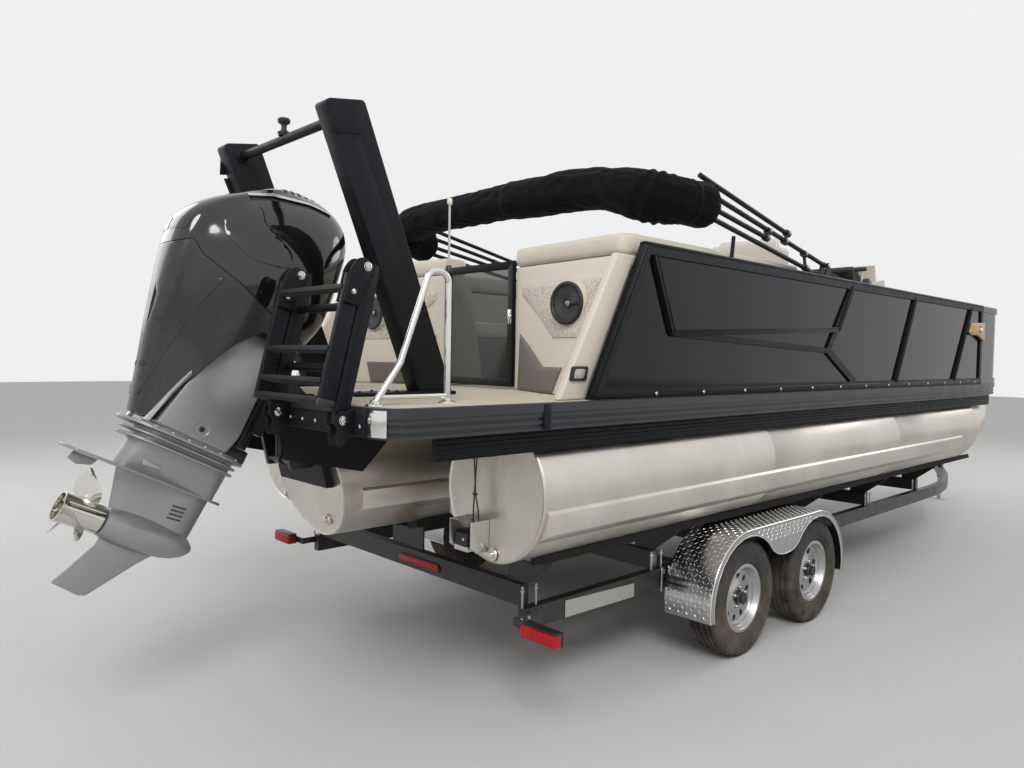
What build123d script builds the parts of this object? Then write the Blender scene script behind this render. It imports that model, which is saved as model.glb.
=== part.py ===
import os
from math import atan2, cos, degrees, pi, radians, sin, sqrt

from build123d import *

os.makedirs("parts", exist_ok=True)

# Pontoon boat on its tandem trailer, in millimetres.
# +X is starboard, +Y is the bow and +Z is up. The ground is z = 0 and x = 0 is the centre plane.
# The origin is on the ground at the middle of the length, so the log caps lie at y = stern.

# Driving dimensions of the hull and the deck
stern = -3535
log_radius = 317
log_spacing = 959
log_height = 1080
log_straight = 5900
nose_length = 980
nose_rise = 205
centre_log_aft = 389
centre_log_rake = 0.258
riser_top = 1405
beam_depth = 60
deck_thickness = 30
deck_top = 1495
half_beam = 1290
rail_thickness = 45
deck_aft = stern - 790
deck_bow = stern + 7130
corner_radius = 100
well_half_width = 430
well_front = stern - 250

# Driving dimensions of the fences and the furniture
fence_x = 1200
fence_thickness = 40
fence_top = 2240
rail_size = 55
gate_thickness = 30

# Driving dimensions of the outboard engine
tilt_angle = 27
tilt_y = stern - 450
tilt_z = 1450
steering_aft = 175
prop_shaft_drop = 828
prop_radius = 185

# Driving dimensions of the trailer
wheel_radius = 328
tyre_width = 205
wheel_x = 1178
rear_axle = stern + 1669
front_axle = stern + 2534
frame_x = 976
frame_top = 512
frame_height = 102
frame_wall = 51
cross_height = 102
tongue_end = stern + 8560
bunk_angle = 16

# Both sides of the boat: name and sign of x
sides = (("starboard", 1), ("port", -1))


def across(y):
    """Plane across the boat at a given y: sketch x is starboard and sketch y is up."""
    return Plane(origin=(0, y, 0), x_dir=(1, 0, 0), z_dir=(0, -1, 0))


def along(x):
    """Plane along the boat at a given x: sketch x points to the bow and sketch y is up."""
    return Plane(origin=(x, 0, 0), x_dir=(0, 1, 0), z_dir=(1, 0, 0))


# Logs: a tube with welded strakes and a riser, closed by a flat cap aft and a raised nosecone
strake_lip = log_radius + 22
nose_sections = ((0.55, 0.74, 0.38), (0.9, 0.4, 0.8), (1.0, 0.16, 1.0))


def log_shape(x, aft):
    """The outer shape of one log, with its axis at x and its cap at y = aft."""
    nose_start = stern + log_straight
    with BuildPart() as shape:
        with BuildSketch(across(aft)):
            with Locations((x, log_height)):
                Circle(log_radius)
        extrude(amount=aft - nose_start)
        with BuildSketch(across(nose_start)):
            with Locations((x, log_height)):
                Circle(log_radius)
        for reach, size, rise in nose_sections:
            with BuildSketch(across(nose_start + reach * nose_length)):
                with Locations((x, log_height + rise * nose_rise)):
                    Circle(size * log_radius)
        loft(ruled=True)
        with BuildSketch(across(aft + 15)):
            for turn in (1, -1):
                with BuildLine():
                    Polyline(
                        (x + turn * 0.9 * log_radius, log_height - 30),
                        (x + turn * strake_lip * 0.975, log_height - 74),
                        (x + turn * strake_lip * 0.975, log_height - 86),
                        (x + turn * 0.66 * log_radius, log_height - 0.7 * log_radius),
                        close=True,
                    )
                make_face()
        extrude(amount=aft + 15 - stern - 5410)
        with BuildSketch(across(aft + 60)):
            with Locations((x, log_height + log_radius - 8)):
                Rectangle(150, 2 * (riser_top - log_height - log_radius + 8))
        extrude(amount=aft + 60 - nose_start)
    return shape


# Depth sounder on the starboard cap: a folded sheet open aft and below, over a block with a foot
box_x = (782, 928)
box_depth = 108
box_z = (806, 950)
box_wall = 3
lead_holes = (880, 915)
for side, sign in sides:
    with BuildPart() as log:
        add(log_shape(sign * log_spacing, stern).part)
        if side == "starboard":
            box_mid = (box_x[0] + box_x[1]) / 2
            box_width = box_x[1] - box_x[0]
            with BuildSketch(across(stern - box_depth)):
                with Locations((box_mid, (box_z[0] + box_z[1]) / 2)):
                    Rectangle(box_width, box_z[1] - box_z[0])
                with Locations((box_mid, (box_z[0] + box_z[1]) / 2 - box_wall)):
                    Rectangle(box_width - 2 * box_wall, box_z[1] - box_z[0], mode=Mode.SUBTRACT)
            extrude(amount=-box_depth)
            with BuildSketch(Plane.XY.offset(box_z[1] - 2 * box_wall)):
                with Locations(((lead_holes[0] + lead_holes[1]) / 2, stern - 52)):
                    SlotOverall(66, 26)
            extrude(amount=3 * box_wall, mode=Mode.SUBTRACT)
            with BuildSketch(across(stern - 92)):
                with Locations((box_mid - 16, 862)):
                    RectangleRounded(86, 62, 8)
                with Locations((box_mid - 16, 819)):
                    Rectangle(96, 26)
            extrude(amount=-92)
    log.part.label = f"log_{side}"
    export_step(log.part, f"parts/log_{side}.step")

rake_cut = Plane(
    origin=(0, stern - centre_log_aft, log_height),
    x_dir=(1, 0, 0),
    z_dir=(0, 1, centre_log_rake),
)
with BuildPart() as log_centre:
    add(log_shape(0, stern - centre_log_aft - 90).part)
    split(bisect_by=rake_cut, keep=Keep.TOP)
log_centre.part.label = "log_centre"
export_step(log_centre.part, "parts/log_centre.step")


def deck_outline(inset):
    """Closed outline of the deck, drawn on one side and mirrored, shrunk by inset."""
    edge = half_beam - inset
    aft = deck_aft + inset
    bow = deck_bow - inset
    side_end = stern + 5570
    shoulder = (edge - 135, stern + 6850)
    with BuildSketch() as outline:
        with BuildLine():
            a = Line((0, aft), (edge - corner_radius + inset, aft))
            b = RadiusArc(a @ 1, (edge, aft + corner_radius - inset), -(corner_radius - inset))
            c = Line(b @ 1, (edge, side_end))
            d = TangentArc(c @ 1, shoulder, tangent=(0, 1))
            e = TangentArc(d @ 1, (edge - 420, bow - 35), tangent=d % 1)
            f = Line(e @ 1, (0, bow))
            mirror(about=Plane.YZ)
        make_face()
    return outline.sketch


# Cross beams under the deck, at equal spacing
beam_count = 17
beam_first = stern - 150
beam_pitch = 415
with BuildPart() as cross_beams:
    with BuildSketch(Plane.XY.offset(riser_top)):
        for k in range(beam_count):
            with Locations((0, beam_first + k * beam_pitch)):
                Rectangle(2 * half_beam, 60)
        add(deck_outline(rail_thickness + 8), mode=Mode.INTERSECT)
    extrude(amount=beam_depth)
cross_beams.part.label = "cross_beams"
export_step(cross_beams.part, "parts/cross_beams.step")


# Deck sheet with the motor well, framed by the rub rail and hung with the ribbed skirts
with BuildPart() as deck:
    with BuildSketch(Plane.XY.offset(deck_top - deck_thickness)):
        add(deck_outline(rail_thickness))
        with Locations((0, well_front - 500)):
            Rectangle(2 * well_half_width, 1000, mode=Mode.SUBTRACT)
    extrude(amount=deck_thickness)
deck.part.label = "deck"
export_step(deck.part, "parts/deck.step")

# Steps of the rub rail from below: bottom, top, inset of its face
rub_steps = (
    (1384, 1396, 6),
    (1396, 1410, 14),
    (1410, 1424, 6),
    (1424, 1438, 14),
    (1438, 1458, 6),
    (1458, 1495, 0),
)
with BuildPart() as rub_rail:
    for bottom, top, inset in rub_steps:
        with BuildSketch(Plane.XY.offset(bottom)):
            add(deck_outline(inset))
            add(deck_outline(rail_thickness), mode=Mode.SUBTRACT)
            with Locations((0, well_front - 500)):
                Rectangle(2 * well_half_width, 1000, mode=Mode.SUBTRACT)
        extrude(amount=top - bottom)
rub_rail.part.label = "rub_rail"
export_step(rub_rail.part, "parts/rub_rail.step")

skirt_bottom = 1290
with BuildPart() as skirts:
    with BuildSketch(Plane.XY.offset(skirt_bottom)):
        for side, sign in sides:
            with Locations((sign * 1230, stern + 2900)):
                Rectangle(24, 6900)
    extrude(amount=1384 - skirt_bottom)
skirts.part.label = "skirts"
export_step(skirts.part, "parts/skirts.step")

# Side plates of the motor well and the transom pod that carries the engine
plate_wall = 8
with BuildPart() as well_plates:
    for side, sign in sides:
        with BuildSketch(along(sign * (well_half_width + plate_wall / 2) - plate_wall / 2)):
            with BuildLine():
                Polyline(
                    (stern - 780, 1384),
                    (stern - 735, 1225),
                    (stern - 350, 1140),
                    (stern - 100, 1384),
                    close=True,
                )
            make_face()
        extrude(amount=plate_wall)
well_plates.part.label = "well_plates"
export_step(well_plates.part, "parts/well_plates.step")

transom_top = 1400
transom_foot = 1040
transom_wall = 38


def transom_face(z, depth):
    """Y of a plane parallel to the raked log end, at a depth aft of it."""
    return stern - centre_log_aft - centre_log_rake * (z - log_height) - depth


with BuildPart() as transom_pod:
    with BuildSketch(along(-230)):
        with BuildLine():
            Polyline(
                (transom_face(transom_foot, 0.5), transom_foot),
                (transom_face(transom_top, 0.5), transom_top),
                (transom_face(transom_top, transom_wall), transom_top),
                (transom_face(transom_foot, transom_wall), transom_foot),
                close=True,
            )
        make_face()
    extrude(amount=460)
transom_pod.part.label = "transom_pod"
export_step(transom_pod.part, "parts/transom_pod.step")

# Fences: a frame of flat rails around glossy panels, drawn in the plane of each side
fence_foot = deck_top
aft_foot = (stern + 322, fence_foot)
aft_head = (stern + 705, fence_top)
fence_end = stern + 6050
kink = (stern + 2710, 1757)
post_width = 50

# Posts: foot y, head y, both measured from the stern datum
fence_posts = ((3900, 4270), (5260, 5700))


def bar(start, end, width):
    """A straight flat bar between two points of the current sketch."""
    run = Vector(*end) - Vector(*start)
    middle = (Vector(*end) + Vector(*start)) / 2
    turn = degrees(atan2(run.Y, run.X))
    with Locations(Location((middle.X, middle.Y), turn)):
        Rectangle(run.length + 0.4 * width, width)


def fence_outline(front):
    """The whole side of a fence, with its raked aft end."""
    with BuildSketch() as outline:
        with BuildLine():
            Polyline(aft_foot, aft_head, (front, fence_top), (front, fence_foot), close=True)
        make_face()
    return outline.sketch


# Cut-outs of the two fences: side, gate opening from, gate opening to (equal where there is none)
gate_from = stern + 3230
gate_to = stern + 3980
fence_frames = {}
for side, sign in sides:
    with BuildPart() as frame:
        with BuildSketch(along(sign * (fence_x + fence_thickness / 2) - fence_thickness / 2)):
            add(fence_outline(fence_end))
            offset(fence_outline(fence_end), amount=-rail_size, kind=Kind.INTERSECTION, mode=Mode.SUBTRACT)
            for foot, head in fence_posts:
                bar((stern + foot, fence_foot + 30), (stern + head, fence_top - 30), post_width)
            bar((stern + 3070, fence_top - 30), kink, post_width)
            bar(kink, (stern + 3180, fence_foot + 30), post_width)
            bar((stern + 940, 1815), kink, 34)
            bar((stern + 775, 2200), (stern + 940, 1815), 34)
            if side == "port":
                with Locations(((gate_from + gate_to) / 2, 1870)):
                    Rectangle(gate_to - gate_from, 900, mode=Mode.SUBTRACT)
                for post in (gate_from - 25, gate_to + 25):
                    bar((post, fence_foot + 12), (post, fence_top - 12), post_width)
        extrude(amount=fence_thickness)
    frame.part.label = f"fence_frame_{side}"
    export_step(frame.part, f"parts/fence_frame_{side}.step")
    fence_frames[side] = frame.part

panel_wall = 12
with BuildPart() as fence_panels:
    for side, sign in sides:
        with BuildSketch(along(sign * (fence_x + fence_thickness / 2) - panel_wall / 2)):
            offset(fence_outline(fence_end), amount=-20, kind=Kind.INTERSECTION)
            if side == "port":
                with Locations(((gate_from + gate_to) / 2, 1870)):
                    Rectangle(gate_to - gate_from + 60, 900, mode=Mode.SUBTRACT)
        extrude(amount=panel_wall)
        add(fence_frames[side], mode=Mode.SUBTRACT)
fence_panels.part.label = "fence_panels"
export_step(fence_panels.part, "parts/fence_panels.step")

# Bow fence: from each side fence round the corner to the bow gate
bow_gate_half = 330
bow_face = stern + 6900
for side, sign in sides:
    with BuildPart() as bow_fence:
        with BuildSketch(Plane.XY.offset(fence_foot)) as plan:
            with BuildLine():
                a = Line((fence_x + 40, fence_end + 4), (fence_x + 35, fence_end + 420))
                b = TangentArc(a @ 1, (fence_x - 250, bow_face + 30), tangent=a % 1)
                c = Line(b @ 1, (bow_gate_half + 12, bow_face + 40))
                d = Line(c @ 1, (bow_gate_half + 12, bow_face))
                e = Line(d @ 1, (fence_x - 260, bow_face - 8))
                f = Line((fence_x, fence_end + 4), (fence_x - 4, fence_end + 410))
                g = TangentArc(f @ 1, e @ 1, tangent=f % 1)
                h = Line(a @ 0, f @ 0)
            make_face()
        extrude(amount=rail_size)
        extrude(plan.sketch.moved(Location((0, 0, fence_top - rail_size - fence_foot))), amount=rail_size)
        inner = offset(plan.sketch, amount=-13, mode=Mode.PRIVATE)
        extrude(inner, amount=fence_top - fence_foot)
        if sign < 0:
            mirror(about=Plane.YZ, mode=Mode.REPLACE)
    bow_fence.part.label = f"bow_fence_{side}"
    export_step(bow_fence.part, f"parts/bow_fence_{side}.step")

# Gates: a welded frame with a thin panel, hung between posts with a gap
gate_gap = 8
gate_frame = 40
gate_panel = 8


def gate_leaf(plane, width, height, hinge, lug):
    """A gate leaf from its hinge edge at the plane's origin, with two barrels on its hinge axis."""
    with BuildPart() as leaf:
        with BuildSketch(plane.offset(-gate_thickness / 2)):
            with Locations((width / 2, height / 2)):
                Rectangle(width, height)
                Rectangle(width - 2 * gate_frame, height - 2 * gate_frame, mode=Mode.SUBTRACT)
        extrude(amount=gate_thickness)
        with BuildSketch(plane.offset(-gate_panel / 2)):
            with Locations((width / 2, height / 2)):
                Rectangle(width - 2 * gate_frame + 4, height - 2 * gate_frame + 4)
        extrude(amount=gate_panel)
        for low in (barrel_inset, height - barrel_inset - barrel_height):
            with BuildSketch(Plane.XY.offset(gate_foot + low)):
                with Locations(hinge):
                    Circle(barrel_size)
                bar(hinge, lug, barrel_size)
            extrude(amount=barrel_height)
    return leaf.part


barrel_size = 6.5
barrel_height = 70
barrel_inset = 90
gate_height = 715
gate_foot = deck_top + 15
stern_gate_y = stern + 727
stern_gate_half = 306
bow_gate_y = bow_face + 20
bow_gate_edge = bow_gate_half - 4
side_gate_y = gate_from + gate_gap
side_gate_width = gate_to - gate_from - 2 * gate_gap

# Gates: name, corner at the hinge, direction of the leaf, width, hinge axis and the lug's place on the leaf
side_gate_x = -fence_x - fence_thickness / 2
gates = (
    (
        "stern_gate",
        (-stern_gate_half, stern_gate_y),
        (1, 0, 0),
        2 * stern_gate_half,
        (-stern_gate_half + 4, stern_gate_y + 25),
        (-stern_gate_half + 14, stern_gate_y + 9),
    ),
    (
        "bow_gate",
        (-bow_gate_edge, bow_gate_y),
        (1, 0, 0),
        2 * bow_gate_edge,
        (-bow_gate_edge - 2, bow_gate_y - 25),
        (-bow_gate_edge + 10, bow_gate_y - 9),
    ),
    (
        "side_gate",
        (side_gate_x, side_gate_y),
        (0, 1, 0),
        side_gate_width,
        (side_gate_x + 30, side_gate_y + 6),
        (side_gate_x + 9, side_gate_y + 14),
    ),
)
for name, (x, y), leaf_dir, width, hinge, lug in gates:
    normal = Vector(*leaf_dir).cross(Vector(0, 0, 1))
    leaf_plane = Plane(origin=(x, y, gate_foot), x_dir=leaf_dir, z_dir=normal)
    leaf = gate_leaf(leaf_plane, width, gate_height, hinge, lug)
    leaf.label = name
    export_step(leaf, f"parts/{name}.step")

# Stern loungers: a back that leans forward outboard, on a seat along each side, with a proud arm,
# a headrest roll along the back and the side, and a speaker
lounge_inner = stern_gate_half + 10
lounge_outer = 1180
seat_height = 430
back_height = 690
roll_height = 112
roll_depth = 190
inner_aft = 727
outer_aft = 355
lean = 0.4
arm_aft = 150
arm_lean = 0.563
arm_thickness = 42
side_seat_to = 2400
speaker = (866, 593, 1955)
speaker_radius = 110
for side, sign in sides:
    outer_top = outer_aft + lean * back_height
    arm_top = arm_aft + arm_lean * back_height
    with BuildPart() as lounger:
        with BuildSketch(along(sign * lounge_inner)):
            with BuildLine():
                Polyline(
                    (stern + inner_aft, deck_top),
                    (stern + inner_aft, deck_top + back_height),
                    (stern + inner_aft + 200, deck_top + back_height),
                    (stern + inner_aft + 330, deck_top),
                    close=True,
                )
            make_face()
        with BuildSketch(along(sign * lounge_outer)):
            with BuildLine():
                Polyline(
                    (stern + outer_aft, deck_top),
                    (stern + outer_top, deck_top + back_height),
                    (stern + outer_top + 200, deck_top + back_height),
                    (stern + outer_aft + 420, deck_top),
                    close=True,
                )
            make_face()
        loft(ruled=True)
        with BuildSketch(along(sign * (lounge_outer + arm_thickness / 2) - arm_thickness / 2)):
            with BuildLine():
                Polyline(
                    (stern + arm_aft, deck_top),
                    (stern + arm_top, deck_top + back_height),
                    (stern + 672, deck_top + back_height),
                    (stern + 318, deck_top),
                    close=True,
                )
            make_face()
        extrude(amount=arm_thickness)
        # Headrest roll along the top of the back, then forward over the side
        for x, aft in ((lounge_inner, inner_aft), (lounge_outer - 1, outer_top)):
            with BuildSketch(along(sign * x)):
                with Locations((stern + aft - 12 + roll_depth / 2, deck_top + back_height + roll_height / 2 - 1)):
                    RectangleRounded(roll_depth, roll_height, 40)
        loft(ruled=True)
        with BuildSketch(across(stern + side_seat_to)):
            with Locations((sign * (lounge_outer - 68), deck_top + back_height + roll_height / 2 - 1)):
                RectangleRounded(110, roll_height, 40)
        extrude(amount=side_seat_to - outer_top - 60)
        with BuildSketch(Plane.XY.offset(deck_top)):
            with Locations((sign * (lounge_outer + 560) / 2, stern + side_seat_to - 950)):
                Rectangle(lounge_outer - 560, 1900)
        extrude(amount=seat_height)
        with BuildSketch(along(sign * (lounge_outer - 55) - 55)):
            with BuildLine():
                Polyline(
                    (stern + 560, deck_top + seat_height),
                    (stern + outer_top + 100, deck_top + back_height),
                    (stern + side_seat_to, deck_top + back_height),
                    (stern + side_seat_to, deck_top + seat_height),
                    close=True,
                )
            make_face()
        extrude(amount=110)
        with BuildSketch(across(stern + speaker[1])):
            with Locations((sign * speaker[0], speaker[2])):
                Circle(speaker_radius)
        extrude(amount=-80)
        with BuildSketch(across(stern + speaker[1])):
            with Locations((sign * speaker[0], speaker[2])):
                Circle(speaker_radius - 14)
                Circle(speaker_radius * 0.3, mode=Mode.SUBTRACT)
        extrude(amount=-12, mode=Mode.SUBTRACT)
    lounger.part.label = f"stern_lounger_{side}"
    export_step(lounger.part, f"parts/stern_lounger_{side}.step")

# Bow lounges: a seat along each side with a back against the fence
bow_lounge_from = stern + 4420
bow_lounge_to = stern + 6330
for side, sign in sides:
    with BuildPart() as lounge:
        with BuildSketch(across(bow_lounge_to)):
            with BuildLine():
                Polyline(
                    (sign * 600, deck_top),
                    (sign * 575, deck_top + seat_height),
                    (sign * 1050, deck_top + seat_height - 15),
                    (sign * 1075, deck_top + 790),
                    (sign * 1160, deck_top + 790),
                    (sign * 1160, deck_top),
                    close=True,
                )
            make_face()
        extrude(amount=bow_lounge_to - bow_lounge_from)
        with BuildSketch(across(bow_lounge_to)):
            with BuildLine():
                Polyline(
                    (sign * 575, deck_top + seat_height - 16),
                    (sign * 585, deck_top + 760),
                    (sign * 1160, deck_top + 760),
                    (sign * 1160, deck_top + seat_height - 16),
                    close=True,
                )
            make_face()
        extrude(amount=120)
    lounge.part.label = f"bow_lounge_{side}"
    export_step(lounge.part, f"parts/bow_lounge_{side}.step")

# Helm: a console with a sloping dash and a low screen, a wheel, and a seat on a pedestal
helm_x = 740
console_y = stern + 3900
with BuildPart() as helm_console:
    with BuildSketch(along(helm_x - 340)):
        with BuildLine():
            Polyline(
                (console_y - 250, deck_top),
                (console_y - 290, deck_top + 560),
                (console_y - 120, deck_top + 800),
                (console_y + 120, deck_top + 840),
                (console_y + 330, deck_top + 430),
                (console_y + 330, deck_top),
                close=True,
            )
        make_face()
    extrude(amount=680)
    with BuildSketch(along(helm_x - 300)):
        with BuildLine():
            Polyline(
                (console_y + 60, deck_top + 825),
                (console_y + 25, deck_top + 950),
                (console_y + 33, deck_top + 950),
                (console_y + 70, deck_top + 825),
                close=True,
            )
        make_face()
    extrude(amount=600)
helm_console.part.label = "helm_console"
export_step(helm_console.part, "parts/helm_console.step")

dash_angle = 55
wheel_hub = Plane(
    origin=(helm_x, console_y - 222, deck_top + 700),
    x_dir=(1, 0, 0),
    z_dir=(0, -sin(radians(dash_angle)), cos(radians(dash_angle))),
)
helm_wheel_radius = 175
with BuildPart() as helm_wheel:
    with BuildSketch(wheel_hub.offset(8)):
        Circle(32)
    extrude(amount=62)
    with BuildSketch(wheel_hub.offset(58)):
        Circle(40)
        for turn in (90, 210, 330):
            with Locations(Location((0, 0), turn)):
                with Locations((helm_wheel_radius / 2, 0)):
                    Rectangle(helm_wheel_radius, 34)
    extrude(amount=8)
    with Locations(wheel_hub.offset(62)):
        Torus(helm_wheel_radius, 14)
helm_wheel.part.label = "helm_wheel"
export_step(helm_wheel.part, "parts/helm_wheel.step")

seat_y = stern + 2850
seat_x = 700
with BuildPart() as seat_pedestal:
    with BuildSketch(Plane.XY.offset(deck_top)):
        with Locations((seat_x, seat_y)):
            Circle(150)
    extrude(amount=14)
    with BuildSketch(Plane.XY.offset(deck_top)):
        with Locations((seat_x, seat_y)):
            Circle(55)
    extrude(amount=300)
seat_pedestal.part.label = "seat_pedestal"
export_step(seat_pedestal.part, "parts/seat_pedestal.step")

with BuildPart() as helm_seat:
    with BuildSketch(Plane.XY.offset(deck_top + 306)):
        with Locations((seat_x, seat_y)):
            RectangleRounded(360, 300, 40)
    extrude(amount=40)
    with BuildSketch(Plane.XY.offset(deck_top + 346)):
        with Locations((seat_x, seat_y + 20)):
            RectangleRounded(540, 520, 90)
    extrude(amount=130)
    with BuildSketch(along(seat_x - 270)):
        with BuildLine():
            Polyline(
                (seat_y - 250, deck_top + 400),
                (seat_y - 310, deck_top + 1030),
                (seat_y - 215, deck_top + 1035),
                (seat_y - 120, deck_top + 476),
                (seat_y - 120, deck_top + 400),
                close=True,
            )
        make_face()
    extrude(amount=540)
    for sign in (1, -1):
        with BuildSketch(along(seat_x + sign * 245 - 25)):
            with Locations((seat_y + 15, deck_top + 605)):
                RectangleRounded(400, 50, 20)
        extrude(amount=50)
helm_seat.part.label = "helm_seat"
export_step(helm_seat.part, "parts/helm_seat.step")


def tube(points, bends, radius):
    """A round tube along straight runs joined by arcs."""
    with BuildLine() as route:
        if len(points) > 2:
            FilletPolyline(*points, radius=bends)
        else:
            Line(*points)
    path = route.wires()[0]
    with BuildSketch(Plane(origin=path @ 0, z_dir=path % 0)) as section:
        Circle(radius)
    sweep(sections=section.sketch, path=path)


# Leads of the depth sounder: from under the deck, crossed at a tie, to the hole of the box
lead_radius = 3.5
lead_y = stern - 52
tie_z = 1067
with BuildPart() as sounder_leads:
    for start_x, hole_x, tie_x in ((878, lead_holes[1], 893), (902, lead_holes[0], 885)):
        tube(
            (
                (start_x, lead_y, deck_top - deck_thickness - 0.5),
                (start_x, lead_y, 1270),
                (tie_x, lead_y, tie_z),
                (hole_x, lead_y, 985),
                (hole_x, lead_y, 893.5),
            ),
            60,
            lead_radius,
        )
    with BuildSketch(Plane.XY.offset(tie_z - 4)):
        with Locations((889, lead_y)):
            Rectangle(24, 10)
    extrude(amount=8)
sounder_leads.part.label = "sounder_leads"
export_step(sounder_leads.part, "parts/sounder_leads.step")

# Tow arch: two raked legs on foot plates, a cross tube and a tow knob
leg_inner = 454
leg_outer = 565
arch_bar_y = stern - 530
arch_bar_z = 2705
with BuildPart() as tow_arch:
    for side, sign in sides:
        with BuildSketch(along(sign * (leg_inner + leg_outer) / 2 - (leg_outer - leg_inner) / 2)):
            with BuildLine():
                Polyline(
                    (stern - 120, deck_top),
                    (stern + 77, deck_top),
                    (stern - 432, 2779),
                    (stern - 625, 2745),
                    close=True,
                )
            make_face()
        extrude(amount=leg_outer - leg_inner)
        with BuildSketch(Plane.XY.offset(deck_top)):
            with Locations((sign * (leg_inner + leg_outer) / 2, stern - 190)):
                Rectangle(134, 560)
        extrude(amount=18)
    with BuildSketch(along(-leg_inner - 10)):
        with Locations((arch_bar_y, arch_bar_z)):
            Circle(22)
    extrude(amount=2 * leg_inner + 20)
    with BuildSketch(across(arch_bar_y)):
        with BuildLine():
            Polyline(
                (0, arch_bar_z),
                (30, arch_bar_z),
                (30, arch_bar_z + 34),
                (13, arch_bar_z + 44),
                (13, arch_bar_z + 72),
                (30, arch_bar_z + 82),
                (30, arch_bar_z + 100),
                (0, arch_bar_z + 104),
                close=True,
            )
        make_face()
    revolve(axis=Axis((0, arch_bar_y, 0), (0, 0, 1)))
tow_arch.part.label = "tow_arch"
export_step(tow_arch.part, "parts/tow_arch.step")

# Grab hoop on the swim deck
hoop_x = 1085
with BuildPart() as grab_hoop:
    tube(
        (
            (hoop_x, stern - 715, deck_top + 10),
            (hoop_x, stern - 604, 1656),
            (hoop_x, stern - 470, 2012),
            (hoop_x, stern - 377, 2012),
            (hoop_x, stern - 377, deck_top + 6),
        ),
        44,
        13,
    )
    tube(((hoop_x, stern - 690, 1525), (hoop_x, stern - 377, 1525)), 0, 9)
    with BuildSketch(Plane.XY.offset(deck_top)):
        for y in (stern - 718, stern - 377):
            with Locations((hoop_x, y)):
                Circle(34)
    extrude(amount=8)
grab_hoop.part.label = "grab_hoop"
export_step(grab_hoop.part, "parts/grab_hoop.step")

# Boarding ladder: bracket on the deck edge, an inner section and a folded outer section
ladder_rails = (545, 1040)
ladder_pivot = (stern - 840, 1445)
ladder_knuckle = (stern - 707, 1995)
ladder_rail_x = 28
ladder_rail_y = 62
ladder_bolt = 9
ladder_gap = 68
bracket_from = 500
bracket_to = 1147
knuckle_offset = 34
run = Vector(*ladder_knuckle) - Vector(*ladder_pivot)
ladder_length = run.length
ladder_lean = Vector(run.X / run.length, run.Y / run.length)


def ladder_point(s, n):
    """Point s up the inner section from its pivot and n aft of its centre line."""
    return (
        ladder_pivot[0] + s * ladder_lean.X - n * ladder_lean.Y,
        ladder_pivot[1] + s * ladder_lean.Y + n * ladder_lean.X,
    )


fold_axis = ladder_point(ladder_length, knuckle_offset)

with BuildPart() as ladder_bracket:
    for x in ladder_rails:
        for cheek in (x - 27, x + 27):
            with BuildSketch(along(cheek - 5)):
                with BuildLine():
                    Polyline(
                        (deck_aft - 2, 1386),
                        (deck_aft - 2, 1488),
                        (ladder_pivot[0] - 26, 1478),
                        (ladder_pivot[0] - 30, 1430),
                        (ladder_pivot[0] - 8, 1386),
                        close=True,
                    )
                make_face()
                with Locations(ladder_pivot):
                    Circle(ladder_bolt + 0.5, mode=Mode.SUBTRACT)
            extrude(amount=10)
    with BuildSketch(across(deck_aft)):
        with Locations(((bracket_from + bracket_to) / 2, 1425)):
            Rectangle(bracket_to - bracket_from, 74)
    extrude(amount=8)
ladder_bracket.part.label = "ladder_bracket"
export_step(ladder_bracket.part, "parts/ladder_bracket.step")

with BuildPart() as ladder_inner:
    for x in ladder_rails:
        with BuildSketch(along(x - ladder_rail_x / 2)):
            with BuildLine():
                Polyline(
                    ladder_point(-18, -24),
                    ladder_point(40, -31),
                    ladder_point(ladder_length - 20, -31),
                    ladder_point(ladder_length + 22, -22),
                    ladder_point(ladder_length + 22, 22),
                    ladder_point(ladder_length - 20, 31),
                    ladder_point(40, 31),
                    ladder_point(-18, 24),
                    close=True,
                )
            make_face()
        extrude(amount=ladder_rail_x)
        with BuildSketch(along(x - 33)):
            with Locations(ladder_pivot):
                Circle(ladder_bolt)
        extrude(amount=66)
        with BuildSketch(along(x - ladder_rail_x / 2)):
            with Locations(fold_axis):
                Circle(22)
            bar(ladder_point(ladder_length - 30, 12), fold_axis, 40)
        extrude(amount=ladder_rail_x)
        with BuildSketch(along(x - 33)):
            with Locations(fold_axis):
                Circle(ladder_bolt)
        extrude(amount=66)
    for s in (190, 430):
        tube(
            (
                (ladder_rails[0], *ladder_point(s, 0)),
                (ladder_rails[1], *ladder_point(s, 0)),
            ),
            0,
            16,
        )
ladder_inner.part.label = "ladder_inner"
export_step(ladder_inner.part, "parts/ladder_inner.step")

ladder_end = 40

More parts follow.
